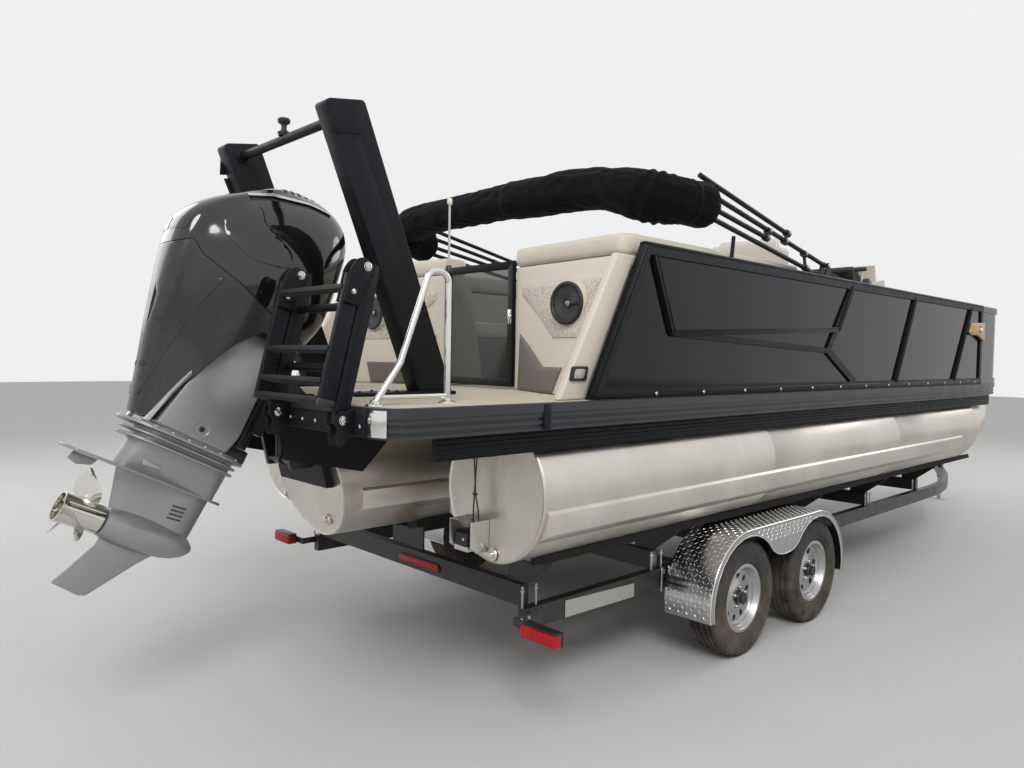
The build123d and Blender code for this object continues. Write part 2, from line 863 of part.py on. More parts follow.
# Treads of the outer section: place up the ladder and depth
ladder_treads = ((55, 34), (124, 62), (242, 34), (473, 34))
with BuildPart() as ladder_outer:
    for x in ladder_rails:
        with BuildSketch(along(x - ladder_rail_x / 2)):
            with BuildLine():
                Polyline(
                    ladder_point(ladder_end, ladder_gap - 31),
                    ladder_point(ladder_length - 62, ladder_gap - 31),
                    ladder_point(ladder_length - 40, ladder_gap + 31),
                    ladder_point(ladder_end, ladder_gap + 31),
                    close=True,
                )
            make_face()
        extrude(amount=ladder_rail_x)
        for cheek in (x - 24, x + 24):
            with BuildSketch(along(cheek - 4)):
                with BuildLine():
                    a = Line(
                        ladder_point(ladder_length - 150, ladder_gap + 31),
                        ladder_point(ladder_length - 30, ladder_gap + 31),
                    )
                    b = ThreePointArc(
                        a @ 1,
                        ladder_point(ladder_length + 26, knuckle_offset + 30),
                        ladder_point(ladder_length + 10, knuckle_offset - 26),
                    )
                    c = Line(b @ 1, ladder_point(ladder_length - 24, knuckle_offset - 22))
                    d = Line(c @ 1, ladder_point(ladder_length - 62, ladder_gap - 40))
                    e = Line(d @ 1, ladder_point(ladder_length - 150, ladder_gap - 31))
                    f = Line(e @ 1, a @ 0)
                make_face()
                with Locations(fold_axis):
                    Circle(ladder_bolt + 0.5, mode=Mode.SUBTRACT)
            extrude(amount=8)
        for inset in (x - 20, x + 14):
            with BuildSketch(along(inset)):
                with Locations(ladder_point(ladder_length - 105, ladder_gap)):
                    Circle(24)
            extrude(amount=6)
    for s, depth in ladder_treads:
        with BuildSketch(along(ladder_rails[0] + 6)):
            with Locations(Location(ladder_point(s, ladder_gap + 34 - depth / 2), 90 - 13)):
                RectangleRounded(24, depth, 8)
        extrude(amount=ladder_rails[1] - ladder_rails[0] - 12)
ladder_outer.part.label = "ladder_outer"
export_step(ladder_outer.part, "parts/ladder_outer.step")

# Bimini: rail brackets with the pivots, the folded bows of each side, and the boot across them
bimini_x = 1200
bimini_pivot = (stern + 2703, 2316)
bow_radius = 14
with BuildPart() as bimini_brackets:
    for side, sign in sides:
        for cheek in (-25, 17):
            with BuildSketch(along(sign * bimini_x + cheek)):
                with BuildLine():
                    Polyline(
                        (bimini_pivot[0] - 48, fence_top),
                        (bimini_pivot[0] + 48, fence_top),
                        (bimini_pivot[0] + 18, bimini_pivot[1] + 16),
                        (bimini_pivot[0] - 18, bimini_pivot[1] + 16),
                        close=True,
                    )
                make_face()
                with Locations(bimini_pivot):
                    Circle(8.5, mode=Mode.SUBTRACT)
            extrude(amount=8)
        with BuildSketch(Plane.XY.offset(fence_top)):
            with Locations((sign * bimini_x, stern + 1535)):
                Rectangle(50, 60)
            with Locations((sign * bimini_x, bimini_pivot[0])):
                Rectangle(50, 110)
        extrude(amount=8)
        tube(((sign * bimini_x, stern + 1535, fence_top + 4), (sign * bimini_x, stern + 1552, 2372)), 0, 11)
bimini_brackets.part.label = "bimini_brackets"
export_step(bimini_brackets.part, "parts/bimini_brackets.step")

# Folded tubes of one side: y and z of the boot end, y and z of the pivot end
boot_end = stern + 1395
bow_tubes = (
    ((boot_end - 20, 2554), bimini_pivot),
    ((boot_end - 20, 2615), (stern + 2168, 2462)),
    ((boot_end - 20, 2491), (stern + 1912, 2408)),
    ((boot_end - 20, 2434), (stern + 2440, 2272)),
)
bow_links = (((stern + 2168, 2462), (stern + 2140, 2412)), ((stern + 1912, 2408), (stern + 1935, 2448)))
with BuildPart() as bimini_bows:
    for side, sign in sides:
        for aft_end, fore_end in bow_tubes:
            tube(((sign * bimini_x, *aft_end), (sign * bimini_x, *fore_end)), 0, bow_radius)
        for link_top, link_foot in bow_links:
            tube(((sign * bimini_x, *link_top), (sign * bimini_x, *link_foot)), 0, 11)
        tube(((sign * bimini_x, stern + 2420, 2278), (sign * bimini_x, stern + 2400, 2362)), 0, 10)
        with BuildSketch(along(sign * bimini_x - 27)):
            with Locations(bimini_pivot):
                Circle(8)
        extrude(amount=54)
    split(bisect_by=Plane(origin=(0, boot_end, 0), z_dir=(0, 1, 0)), keep=Keep.TOP)
bimini_bows.part.label = "bimini_bows"
export_step(bimini_bows.part, "parts/bimini_bows.step")

boot_radius = 112
with BuildPart() as bimini_boot:
    with BuildLine() as boot_route:
        FilletPolyline(
            (bimini_x, boot_end, 2524),
            (bimini_x, stern + 1230, 2524),
            (bimini_x - 45, stern + 1030, 2512),
            (850, stern + 985, 2650),
            (-850, stern + 985, 2650),
            (-bimini_x + 45, stern + 1030, 2512),
            (-bimini_x, stern + 1230, 2524),
            (-bimini_x, boot_end, 2524),
            radius=(400, 130, 300, 300, 130, 400),
        )
    boot_path = boot_route.wires()[0]
    with BuildSketch(Plane(origin=boot_path @ 0, x_dir=(1, 0, 0), z_dir=boot_path % 0)):
        Circle(boot_radius)
    sweep(path=boot_path)
bimini_boot.part.label = "bimini_boot"
export_step(bimini_boot.part, "parts/bimini_boot.step")

# Outboard engine, drawn upright in its own planes and held at its tilt angle
tilt_sin = sin(radians(tilt_angle))
tilt_cos = cos(radians(tilt_angle))


def engine_side(x):
    """Plane of the engine at a given x: sketch x is forward, sketch y is up, from the tilt tube."""
    return Plane(origin=(x, tilt_y, tilt_z), x_dir=(0, tilt_cos, -tilt_sin), z_dir=(1, 0, 0))


def engine_level(height):
    """Level plane of the engine at a height over the tilt tube: x is starboard, y is forward."""
    return Plane(
        origin=(0, tilt_y + tilt_sin * height, tilt_z + tilt_cos * height),
        x_dir=(1, 0, 0),
        z_dir=(0, tilt_sin, tilt_cos),
    )


def engine_across(reach):
    """Upright plane across the engine at a reach forward of the tilt tube: y is up."""
    return Plane(
        origin=(0, tilt_y + tilt_cos * reach, tilt_z - tilt_sin * reach),
        x_dir=(1, 0, 0),
        z_dir=(0, -tilt_cos, tilt_sin),
    )


clamp_inner = 102
clamp_wall = 24
clamp_foot = 1130
tilt_tube_radius = 19
ram_foot = (transom_face(1165, transom_wall) - 90, 1165)
with BuildPart() as clamp_bracket:
    for side, sign in sides:
        with BuildSketch(along(sign * (clamp_inner + clamp_wall / 2) - clamp_wall / 2)):
            with BuildLine():
                Polyline(
                    (transom_face(clamp_foot, transom_wall + 0.5), clamp_foot),
                    (transom_face(transom_top, transom_wall + 0.5), transom_top + 0.5),
                    (tilt_y + 34, transom_top + 0.5),
                    (tilt_y + 34, tilt_z + 20),
                    (tilt_y + 14, tilt_z + 38),
                    (tilt_y - 30, tilt_z + 34),
                    (transom_face(transom_top, transom_wall + 30), transom_top),
                    (transom_face(1270, transom_wall + 104), 1270),
                    (transom_face(clamp_foot, transom_wall + 108), clamp_foot),
                    close=True,
                )
            make_face()
            with Locations((tilt_y, tilt_z)):
                Circle(tilt_tube_radius + 0.5, mode=Mode.SUBTRACT)
        extrude(amount=clamp_wall)
    with BuildSketch(along(-clamp_inner - 1)):
        with Locations(ram_foot):
            Circle(13)
    extrude(amount=2 * clamp_inner + 2)
clamp_bracket.part.label = "clamp_bracket"
export_step(clamp_bracket.part, "parts/clamp_bracket.step")

eye_aft = 104
with BuildPart() as swivel_bracket:
    with BuildSketch(engine_level(-330)):
        with Locations((0, -steering_aft)):
            Circle(38)
    extrude(amount=425)
    for side, sign in sides:
        with BuildSketch(engine_side(sign * 74 - 12)):
            with BuildLine():
                Polyline(
                    (-steering_aft - 5, -250),
                    (-steering_aft - 5, 90),
                    (-20, 34),
                    (20, 26),
                    (22, -18),
                    (-78, -22),
                    (-135, -250),
                    close=True,
                )
            make_face()
        extrude(amount=24)
    with BuildSketch(engine_side(-clamp_inner - clamp_wall - 8)):
        Circle(tilt_tube_radius)
    extrude(amount=2 * (clamp_inner + clamp_wall + 8))
    with BuildSketch(engine_side(-64)):
        with Locations((-eye_aft, 0)):
            Circle(6.5)
    extrude(amount=128)
    with BuildSketch(engine_level(-240)):
        with Locations((0, -steering_aft + 12)):
            Rectangle(166, 24)
    extrude(amount=330)
swivel_bracket.part.label = "swivel_bracket"
export_step(swivel_bracket.part, "parts/swivel_bracket.step")

# Power tilt: the barrel turns on the pin of the clamp bracket and the rod slides up to its eye
barrel_foot = Vector(0, *ram_foot)
rod_eye = Vector(0, tilt_y - eye_aft * tilt_cos, tilt_z + eye_aft * tilt_sin)
ram = rod_eye - barrel_foot
ram_up = ram.normalized()
ram_plane = Plane(origin=barrel_foot, x_dir=(1, 0, 0), z_dir=ram_up)
barrel_length = 180
barrel_radius = 22
with BuildPart() as tilt_cylinder:
    with BuildSketch(ram_plane.offset(18)):
        Circle(barrel_radius)
    extrude(amount=barrel_length - 18)
    with BuildSketch(along(-26)):
        with Locations(ram_foot):
            Circle(22.5)
    extrude(amount=52)
    with BuildSketch(along(-30)):
        with Locations(ram_foot):
            Circle(13.5)
    extrude(amount=60, mode=Mode.SUBTRACT)
    with BuildSketch(ram_plane.offset(40)):
        Circle(11)
    extrude(amount=barrel_length, mode=Mode.SUBTRACT)
tilt_cylinder.part.label = "tilt_cylinder"
export_step(tilt_cylinder.part, "parts/tilt_cylinder.step")

with BuildPart() as tilt_rod:
    with BuildSketch(ram_plane.offset(115)):
        Circle(10.5)
    extrude(amount=ram.length - 115 - 19)
    with BuildSketch(along(-18)):
        with Locations((rod_eye.Y, rod_eye.Z)):
            Circle(21.5)
            Circle(16, mode=Mode.SUBTRACT)
    extrude(amount=36)
tilt_rod.part.label = "tilt_rod"
export_step(tilt_rod.part, "parts/tilt_rod.step")

plate_level = -598
shaft_level = -prop_shaft_drop
torpedo_radius = 78
with BuildPart() as engine_midsection:
    with BuildSketch(engine_side(-110)):
        with BuildLine():
            Polyline(
                (-600, -385),
                (-560, -180),
                (-462, 60),
                (-396, 152),
                (-340, 166),
                (-245, 166),
                (-245, -385),
                close=True,
            )
        make_face()
    extrude(amount=220)
    with BuildSketch(engine_level(101)):
        with Locations((0, -steering_aft - 60)):
            Rectangle(150, 190)
    extrude(amount=60)
    with BuildSketch(engine_level(-398)):
        with Locations((0, -steering_aft - 60)):
            Rectangle(150, 190)
    extrude(amount=62)
    # Exhaust housing, from the splash ring down to the plate
    with BuildSketch(engine_level(-385)):
        with Locations((0, -400)):
            SlotOverall(460, 230, rotation=90)
    with BuildSketch(engine_level(plate_level)):
        with Locations((0, -415)):
            SlotOverall(470, 110, rotation=90)
    loft(ruled=True)
    with BuildSketch(engine_level(-412)):
        with Locations((0, -425)):
            SlotOverall(590, 330, rotation=90)
    extrude(amount=14)
    with BuildSketch(engine_level(-470)):
        with Locations((0, -425)):
            SlotOverall(545, 280, rotation=90)
    extrude(amount=12)
    with BuildSketch(engine_level(plate_level - 6)):
        with BuildLine():
            a = ThreePointArc((-55, -240), (0, -131), (55, -240))
            b = Line(a @ 1, (120, -560))
            c = Line(b @ 1, (105, -820))
            d = ThreePointArc(c @ 1, (0, -864), (-105, -820))
            e = Line(d @ 1, (-120, -560))
            f = Line(e @ 1, a @ 0)
        make_face()
    extrude(amount=12)
    # Gearcase leg, torpedo and skeg
    with BuildSketch(engine_level(plate_level)):
        with BuildLine():
            a = ThreePointArc((-42, -300), (0, -190), (42, -300))
            b = Line(a @ 1, (30, -540))
            c = Line(b @ 1, (0, -625))
            d = Line(c @ 1, (-30, -540))
            e = Line(d @ 1, a @ 0)
        make_face()
    with BuildSketch(engine_level(shaft_level)):
        with BuildLine():
            a = ThreePointArc((-40, -300), (0, -205), (40, -300))
            b = Line(a @ 1, (30, -500))
            c = Line(b @ 1, (0, -556))
            d = Line(c @ 1, (-30, -500))
            e = Line(d @ 1, a @ 0)
        make_face()
    loft(ruled=True)
    with BuildSketch(engine_side(0)):
        with BuildLine():
            a = Line((-160, shaft_level), (-570, shaft_level))
            b = Line(a @ 1, (-570, shaft_level + 58))
            c = Spline(
                b @ 1,
                (-430, shaft_level + torpedo_radius),
                (-290, shaft_level + 71),
                (-200, shaft_level + 44),
                (-164, shaft_level + 14),
            )
            d = Line(c @ 1, a @ 0)
        make_face()
    revolve(axis=Axis(engine_side(0).from_local_coords(Vector(0, shaft_level, 0)), (0, tilt_cos, -tilt_sin)))
    with BuildSketch(engine_side(-7)):
        with BuildLine():
            Polyline(
                (-300, shaft_level - 60),
                (-360, shaft_level - 125),
                (-490, shaft_level - 298),
                (-637, shaft_level - 285),
                (-551, shaft_level - 95),
                (-550, shaft_level - 50),
                close=True,
            )
        make_face()
    extrude(amount=14)
engine_midsection.part.label = "engine_midsection"
export_step(engine_midsection.part, "parts/engine_midsection.step")

# Cowl: level sections of the housing: height, aft end, front end, half width
cowl_levels = (
    (-372, -690, -330, 118),
    (-180, -745, -270, 138),
    (0, -800, -210, 166),
    (175, -846, -150, 226),
    (340, -886, -112, 274),
    (480, -897, -122, 282),
    (600, -834, -134, 264),
    (720, -716, -152, 226),
    (820, -604, -200, 168),
    (874, -500, -280, 104),
    (895, -440, -350, 34),
)

# Half outline of a section: share of its length from the aft end, share of its half width
cowl_plan = ((0.035, 0.42), (0.13, 0.55), (0.26, 0.71), (0.45, 0.92), (0.64, 1), (0.82, 0.95), (0.95, 0.7))
with BuildPart() as engine_cowl:
    for height, aft, front, half_width in cowl_levels:
        right = [(share * half_width, aft + reach * (front - aft)) for reach, share in cowl_plan]
        left = [(-x, y) for x, y in reversed(right)]
        with BuildSketch(engine_level(height)):
            with BuildLine():
                Spline((0, aft), *right, (0, front), *left, periodic=True)
            make_face()
    loft()
    with BuildSketch(engine_side(-400)):
        with BuildLine():
            Polyline(
                (-612, -400),
                (-612, -372),
                (-568, -180),
                (-470, 62),
                (-402, 160),
                (-332, 175),
                (0, 175),
                (0, -400),
                close=True,
            )
        make_face()
    extrude(amount=800, mode=Mode.SUBTRACT)
engine_cowl.part.label = "engine_cowl"
export_step(engine_cowl.part, "parts/engine_cowl.step")

# Propeller: a hub with an exhaust passage, three webs and three blades of one constant pitch
prop_aft = -756
prop_front = -576
hub_radius = 60
prop_pitch = 430
blade_rake = 0.16

# Sections of a blade: radius, chord, thickness, skew along the chord
blade_sections = ((50, 96, 12, 0), (92, 142, 9, 4), (140, 152, 6, 14), (174, 108, 4, 30), (prop_radius, 40, 3, 44))
prop_center = engine_side(0).from_local_coords(Vector((prop_aft + prop_front) / 2, shaft_level, 0))
shaft = Vector(0, tilt_cos, -tilt_sin)
with BuildPart() as propeller:
    with BuildSketch(Plane(origin=prop_center, x_dir=(1, 0, 0), z_dir=-shaft)):
        Circle(hub_radius)
        Circle(hub_radius - 14, mode=Mode.SUBTRACT)
        with PolarLocations(32, 3, start_angle=90):
            Rectangle(36, 8)
        Circle(22)
    extrude(amount=(prop_front - prop_aft) / 2 - 3, both=True)
    for turn in (0, 120, 240):
        arm = Vector(sin(radians(turn)), tilt_sin * cos(radians(turn)), tilt_cos * cos(radians(turn)))
        side_way = shaft.cross(arm)
        for radius, chord, thickness, skew in blade_sections:
            twist = atan2(prop_pitch, 2 * pi * radius)
            chord_way = shaft * sin(twist) + side_way * cos(twist)
            root = prop_center + arm * radius - shaft * blade_rake * (radius - hub_radius)
            with BuildSketch(Plane(origin=root, x_dir=chord_way, z_dir=arm)):
                with Locations((-skew, 0)):
                    with BuildLine():
                        ThreePointArc((-chord / 2, 0), (0, thickness / 2), (chord / 2, 0))
                        ThreePointArc((chord / 2, 0), (0, -thickness / 2), (-chord / 2, 0))
                    make_face()
        loft()
propeller.part.label = "propeller"
export_step(propeller.part, "parts/propeller.step")

# Trailer frame: two rails that bend in to the coupler, cross members on top and bunks for the logs
rail_x = frame_x - frame_wall / 2
rail_bend = stern + 6250
with BuildPart() as trailer_rails:
    for side, sign in sides:
        with BuildSketch(Plane.XY.offset(frame_top - frame_height)):
            with BuildLine() as rail_route:
                FilletPolyline(
                    (sign * rail_x, stern + 195),
                    (sign * rail_x, rail_bend),
                    (sign * 52, tongue_end - 60),
                    radius=3500,
                )
            trace(line_width=frame_wall)
        extrude(amount=frame_height)
trailer_rails.part.label = "trailer_rails"
export_step(trailer_rails.part, "parts/trailer_rails.step")

cross_top = frame_top + cross_height
cross_places = (232, 1230, 2980, 4150, 5300)
bunk_width = 89
bunk_thick = 38
bunk_gap = 0.6
bunk_turns = (-bunk_angle, bunk_angle)
log_axes = (-log_spacing, 0, log_spacing)
with BuildPart() as cross_members:
    with BuildSketch(Plane.XY.offset(frame_top)):
        for place in cross_places:
            with Locations((0, stern + place)):
                Rectangle(1860 if place < 300 else 1900, frame_wall)
    extrude(amount=cross_height)
    for place in cross_places:
        for x in log_axes:
            reach = log_radius + bunk_gap + bunk_thick + 0.6
            turn = radians(bunk_angle)
            half = bunk_width / 2
            mid_x, mid_z = reach * sin(turn), log_height - reach * cos(turn)
            inner = (mid_x - half * cos(turn), mid_z - half * sin(turn))
            outer = (mid_x + half * cos(turn), mid_z + half * sin(turn))
            with BuildSketch(across(stern + place - 6)):
                with BuildLine():
                    Polyline(
                        (max(x - outer[0], -940), cross_top - 1),
                        (x - outer[0], outer[1] - 12),
                        (x - outer[0], outer[1]),
                        (x - inner[0], inner[1]),
                        (x + inner[0], inner[1]),
                        (x + outer[0], outer[1]),
                        (x + outer[0], outer[1] - 12),
                        (min(x + outer[0], 940), cross_top - 1),
                        close=True,
                    )
                make_face()
            extrude(amount=-12)
cross_members.part.label = "cross_members"
export_step(cross_members.part, "parts/cross_members.step")

bunk_from = stern + 190
bunk_to = stern + 6290
with BuildPart() as bunks:
    with BuildSketch(across(bunk_from)):
        for x in log_axes:
            with Locations((x, log_height)):
                for turn in bunk_turns:
                    with Locations(Location((0, 0), turn)):
                        with Locations((0, -log_radius - bunk_gap - bunk_thick / 2)):
                            Rectangle(bunk_width, bunk_thick)
    extrude(amount=bunk_from - bunk_to)
bunks.part.label = "bunks"
export_step(bunks.part, "parts/bunks.step")

# Axles: a square tube under the rails with a trailing arm and a spindle at each end
axle_size = 76
axle_z = frame_top - frame_height - axle_size / 2
arm_reach = 130
spindle_radius = 22
with BuildPart() as axles:
    for wheel_y in (rear_axle, front_axle):
        with BuildSketch(along(-frame_x + 10)):
            with Locations((wheel_y + arm_reach, axle_z)):
                RectangleRounded(axle_size, axle_size, 10)
        extrude(amount=2 * (frame_x - 10))
        for side, sign in sides:
            with BuildSketch(along(sign * (frame_x + 6) - 17)):
                with BuildLine():
                    Polyline(
                        (wheel_y + arm_reach + 34, axle_z + 34),
                        (wheel_y + arm_reach + 34, axle_z - 34),
                        (wheel_y - 22, wheel_radius - 34),
                        (wheel_y - 34, wheel_radius + 10),
                        (wheel_y - 10, wheel_radius + 36),
                        close=True,
                    )
                make_face()
            extrude(amount=34)
            with BuildSketch(along(sign * (frame_x + 90) - 90)):
                with Locations((wheel_y, wheel_radius)):
                    Circle(spindle_radius)
            extrude(amount=180)
axles.part.label = "axles"
export_step(axles.part, "parts/axles.step")

# Wheels: names, axle, side and the holes of the disc: count, radius of a hole
rim_width = 150
flange = 8
disc_x = 22
wheels = (
    ("rear_starboard", rear_axle, 1, 12, 11),
    ("rear_port", rear_axle, -1, 12, 11),
    ("front_starboard", front_axle, 1, 6, 19),
    ("front_port", front_axle, -1, 6, 19),
)
half_rim = rim_width / 2
half_tyre = tyre_width / 2
for name, wheel_y, sign, hole_count, hole_radius in wheels:
    centre_x = sign * wheel_x
    wheel_axis = Axis((0, wheel_y, wheel_radius), (1, 0, 0))
    wheel_plan = Plane(origin=(centre_x, wheel_y, wheel_radius), x_dir=(sign, 0, 0), z_dir=(0, -sign, 0))
    with BuildPart() as tyre:
        with BuildSketch(wheel_plan):
            with BuildLine():
                a = Line((-half_rim + 1, 180), (half_rim - 1, 180))
                b = Line(a @ 1, (half_rim - 1, 200))
                c = Line(b @ 1, (half_rim + 12, 201))
                d = ThreePointArc(c @ 1, (half_tyre, 252), (half_tyre - 14, 306))
                e = Line(d @ 1, (half_tyre - 34, wheel_radius))
                f = Line(e @ 1, (0, wheel_radius))
                mirror(about=Plane.YZ)
            make_face()
        revolve(axis=wheel_axis)
    tyre.part.label = f"tyre_{name}"
    export_step(tyre.part, f"parts/tyre_{name}.step")
    with BuildPart() as rim:
        with BuildSketch(wheel_plan):
            with BuildLine():
                Polyline(
                    (-half_rim - flange, 170),
                    (-half_rim - flange, 196),
                    (-half_rim, 196),
                    (-half_rim, 179),
                    (half_rim, 179),
                    (half_rim, 196),
                    (half_rim + flange, 196),
                    (half_rim + flange, 176),
                    (half_rim - 6, 170),
                    (disc_x + 30, 163),
                    (disc_x + 8, 150),
                    (disc_x + 6, 96),
                    (disc_x + 22, 66),
                    (disc_x + 22, 40),
                    (disc_x + 62, 36),
                    (disc_x + 66, 0),
                    (disc_x + 14, 0),
                    (disc_x + 14, spindle_radius + 2),
                    (-70, spindle_radius + 2),
                    (-70, 58),
                    (disc_x - 14, 62),
                    (disc_x - 4, 150),
                    (disc_x + 10, 170),
                    close=True,
                )
            make_face()
        revolve(axis=wheel_axis)
        with BuildSketch(along(centre_x - 100)):
            with Locations((wheel_y, wheel_radius)):
                with PolarLocations(122, hole_count):
                    Circle(hole_radius)
        extrude(amount=200, mode=Mode.SUBTRACT)
    rim.part.label = f"rim_{name}"
    export_step(rim.part, f"parts/rim_{name}.step")

# Fenders: a folded sheet over both wheels, an outer valance and two arms to the rail
fender_radius = 395
fender_wall = 4
fender_inner = 992
fender_outer = 1292
fender_foot = 268
drop_angle = 9


def fender_line(radius):
    """Side outline of a fender at a radius about both wheel centres, closed along its foot."""
    reach = sqrt(radius**2 - (wheel_radius - fender_foot) ** 2)
    with BuildSketch() as outline:
        with BuildLine():
            turn = radians(45)
            a = Line((front_axle + reach, fender_foot), (rear_axle - reach, fender_foot))
            b = ThreePointArc(
                a @ 1,
                (rear_axle - radius * cos(turn), wheel_radius + radius * sin(turn)),
                (rear_axle, wheel_radius + radius),
            )
            c = Line(b @ 1, (front_axle, wheel_radius + radius))
            d = ThreePointArc(
                c @ 1,
                (front_axle + radius * cos(turn), wheel_radius + radius * sin(turn)),
                a @ 0,
            )
        make_face()
    return outline.sketch


for side, sign in sides:
    with BuildPart() as fender:
        with BuildSketch(along(sign * (fender_inner + fender_outer) / 2 - (fender_outer - fender_inner) / 2)):
            add(fender_line(fender_radius))
            add(fender_line(fender_radius - fender_wall), mode=Mode.SUBTRACT)
            with Locations((front_axle - 400, fender_foot - 50)):
                Rectangle(1400, 100.2, mode=Mode.SUBTRACT)
        extrude(amount=fender_outer - fender_inner)
        with BuildSketch(along(sign * (fender_outer - fender_wall / 2) - fender_wall / 2)):
            add(fender_line(fender_radius - 1))
            for wheel_y in (rear_axle, front_axle):
                with Locations((wheel_y, wheel_radius)):
                    Circle(wheel_radius + 34, mode=Mode.SUBTRACT)
            with Locations(((rear_axle + front_axle) / 2, fender_foot + 40)):
                Rectangle(front_axle - rear_axle, 420, mode=Mode.SUBTRACT)
        extrude(amount=fender_wall)
        for arm_y in (rear_axle - 392, front_axle + 392):
            with BuildSketch(along(sign * (frame_x + 62) - 61)):
                with Locations((arm_y, 455)):
                    Rectangle(38, 40)
            extrude(amount=122)
    fender.part.label = f"fender_{side}"
    export_step(fender.part, f"parts/fender_{side}.step")

# Coupler over the ball, on a tube that joins the two rails
coupler_z = 470
with BuildPart() as coupler:
    with BuildSketch(Plane.XY.offset(frame_top + 1)):
        with Locations((0, tongue_end - 190)):
            Rectangle(150, 300)
    extrude(amount=8)
    with BuildSketch(along(-34)):
        with BuildLine():
            a = Line((tongue_end - 320, frame_top + 9), (tongue_end - 320, frame_top + 60))
            b = Line(a @ 1, (tongue_end - 60, frame_top + 60))
            c = ThreePointArc(b @ 1, (tongue_end + 10, frame_top + 40), (tongue_end + 34, coupler_z + 10))
            d = Line(c @ 1, (tongue_end - 44, coupler_z + 10))
            e = Line(d @ 1, (tongue_end - 44, frame_top + 9))
            f = Line(e @ 1, a @ 0)
        make_face()
    extrude(amount=68)
    with Locations((0, tongue_end - 5, coupler_z + 14)):
        Sphere(26, mode=Mode.SUBTRACT)
    with BuildSketch(Plane.XY.offset(coupler_z)):
        with Locations((0, tongue_end - 5)):
            Circle(26)
    extrude(amount=14, mode=Mode.SUBTRACT)
coupler.part.label = "coupler"
export_step(coupler.part, "parts/coupler.step")

# Jack: an outer tube on a bracket beside the tongue, with a leg that slides in it
jack_y = stern + 8150
jack_x = 268
jack_outer = 30
jack_inner = 22
jack_mouth = 275
jack_head = 900
with BuildPart() as jack_tube:
    with BuildSketch(Plane.XY.offset(jack_mouth)):
        with Locations((jack_x, jack_y)):
            Circle(jack_outer)
            Circle(jack_inner + 1.5, mode=Mode.SUBTRACT)
    extrude(amount=jack_head - jack_mouth)
    with BuildSketch(Plane.XY.offset(jack_head)):
        with Locations((jack_x, jack_y)):
            Circle(jack_outer + 4)
    extrude(amount=36)
    with BuildSketch(along(jack_x)):
        with Locations((jack_y, 918)):
            Circle(8)
    extrude(amount=110)
    with BuildSketch(along(jack_x + 104)):
        with Locations((jack_y + 70, 918)):
            Rectangle(170, 18)
    extrude(amount=8)
    with BuildSketch(Plane.XY.offset(frame_top - 90)):
        with BuildLine():
            Polyline(
                (jack_x - 26, jack_y - 12),
                (jack_x - 26, jack_y + 12),
                (jack_x - 42, jack_y + 34),
                (jack_x - 30, jack_y - 30),
                close=True,
            )
        make_face()
    extrude(amount=80)
jack_tube.part.label = "jack_tube"
export_step(jack_tube.part, "parts/jack_tube.step")

with BuildPart() as jack_leg:
    with BuildSketch(Plane.XY):
        with Locations((jack_x, jack_y)):
            Circle(75)
    extrude(amount=9)
    with BuildSketch(Plane.XY):
        with Locations((jack_x, jack_y)):
            Circle(jack_inner)
    extrude(amount=610)
jack_leg.part.label = "jack_leg"
export_step(jack_leg.part, "parts/jack_leg.step")

# Winch stand ahead of the bow, on its own cross member
stand_y = stern + 7300
with BuildPart() as winch_stand:
    with BuildSketch(Plane.XY.offset(frame_top)):
        with Locations((0, stand_y)):
            Rectangle(1100, 76)
    extrude(amount=60)
    with BuildSketch(along(-38)):
        with BuildLine():
            Polyline(
                (stand_y + 38, frame_top + 55),
                (stand_y - 38, frame_top + 55),
                (stand_y - 38, 1180),
                (stand_y - 330, 1250),
                (stand_y - 330, 1300),
                (stand_y + 20, 1290),
                (stand_y + 38, 1260),
                close=True,
            )
        make_face()
    extrude(amount=76)
    with BuildSketch(along(-70)):
        with Locations((stand_y - 345, 1275)):
            Circle(38)
    extrude(amount=140)
    with BuildSketch(along(-60)):
        with Locations((stand_y + 75, 1130)):
            RectangleRounded(110, 120, 25)
    extrude(amount=120)
    with BuildSketch(along(-9)):
        with BuildLine():
            Polyline(
                (stand_y + 20, frame_top + 55),
                (stand_y + 20, 900),
                (stand_y + 420, frame_top + 62),
                (stand_y + 420, frame_top + 55),
                close=True,
            )
        make_face()
    extrude(amount=18)
winch_stand.part.label = "winch_stand"
export_step(winch_stand.part, "parts/winch_stand.step")

# Trailer lamps: x from, x to, y from, y to (from the stern datum), z from, z to
lamps = (
    (1080, 1292, 55, 115, 445, 510),
    (-1250, -1062, 55, 115, 445, 510),
    (-40, 320, 196, 206, 535, 580),
    (frame_x, 1092, 115, 235, 455, 495),
    (-1080, -frame_x, 115, 235, 455, 495),
)
with BuildPart() as trailer_lamps:
    for x_from, x_to, y_from, y_to, z_from, z_to in lamps:
        with BuildSketch(Plane.XY.offset(z_from)):
            with Locations(((x_from + x_to) / 2, stern + (y_from + y_to) / 2)):
                Rectangle(x_to - x_from, y_to - y_from)
        extrude(amount=z_to - z_from)
trailer_lamps.part.label = "trailer_lamps"
export_step(trailer_lamps.part, "parts/trailer_lamps.step")
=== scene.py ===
"""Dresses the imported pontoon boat, its outboard engine and its trailer with finishes and fine parts."""
from math import atan2, cos, pi, radians, sin, sqrt

import bmesh
import bpy
from mathutils import Matrix, Vector, noise


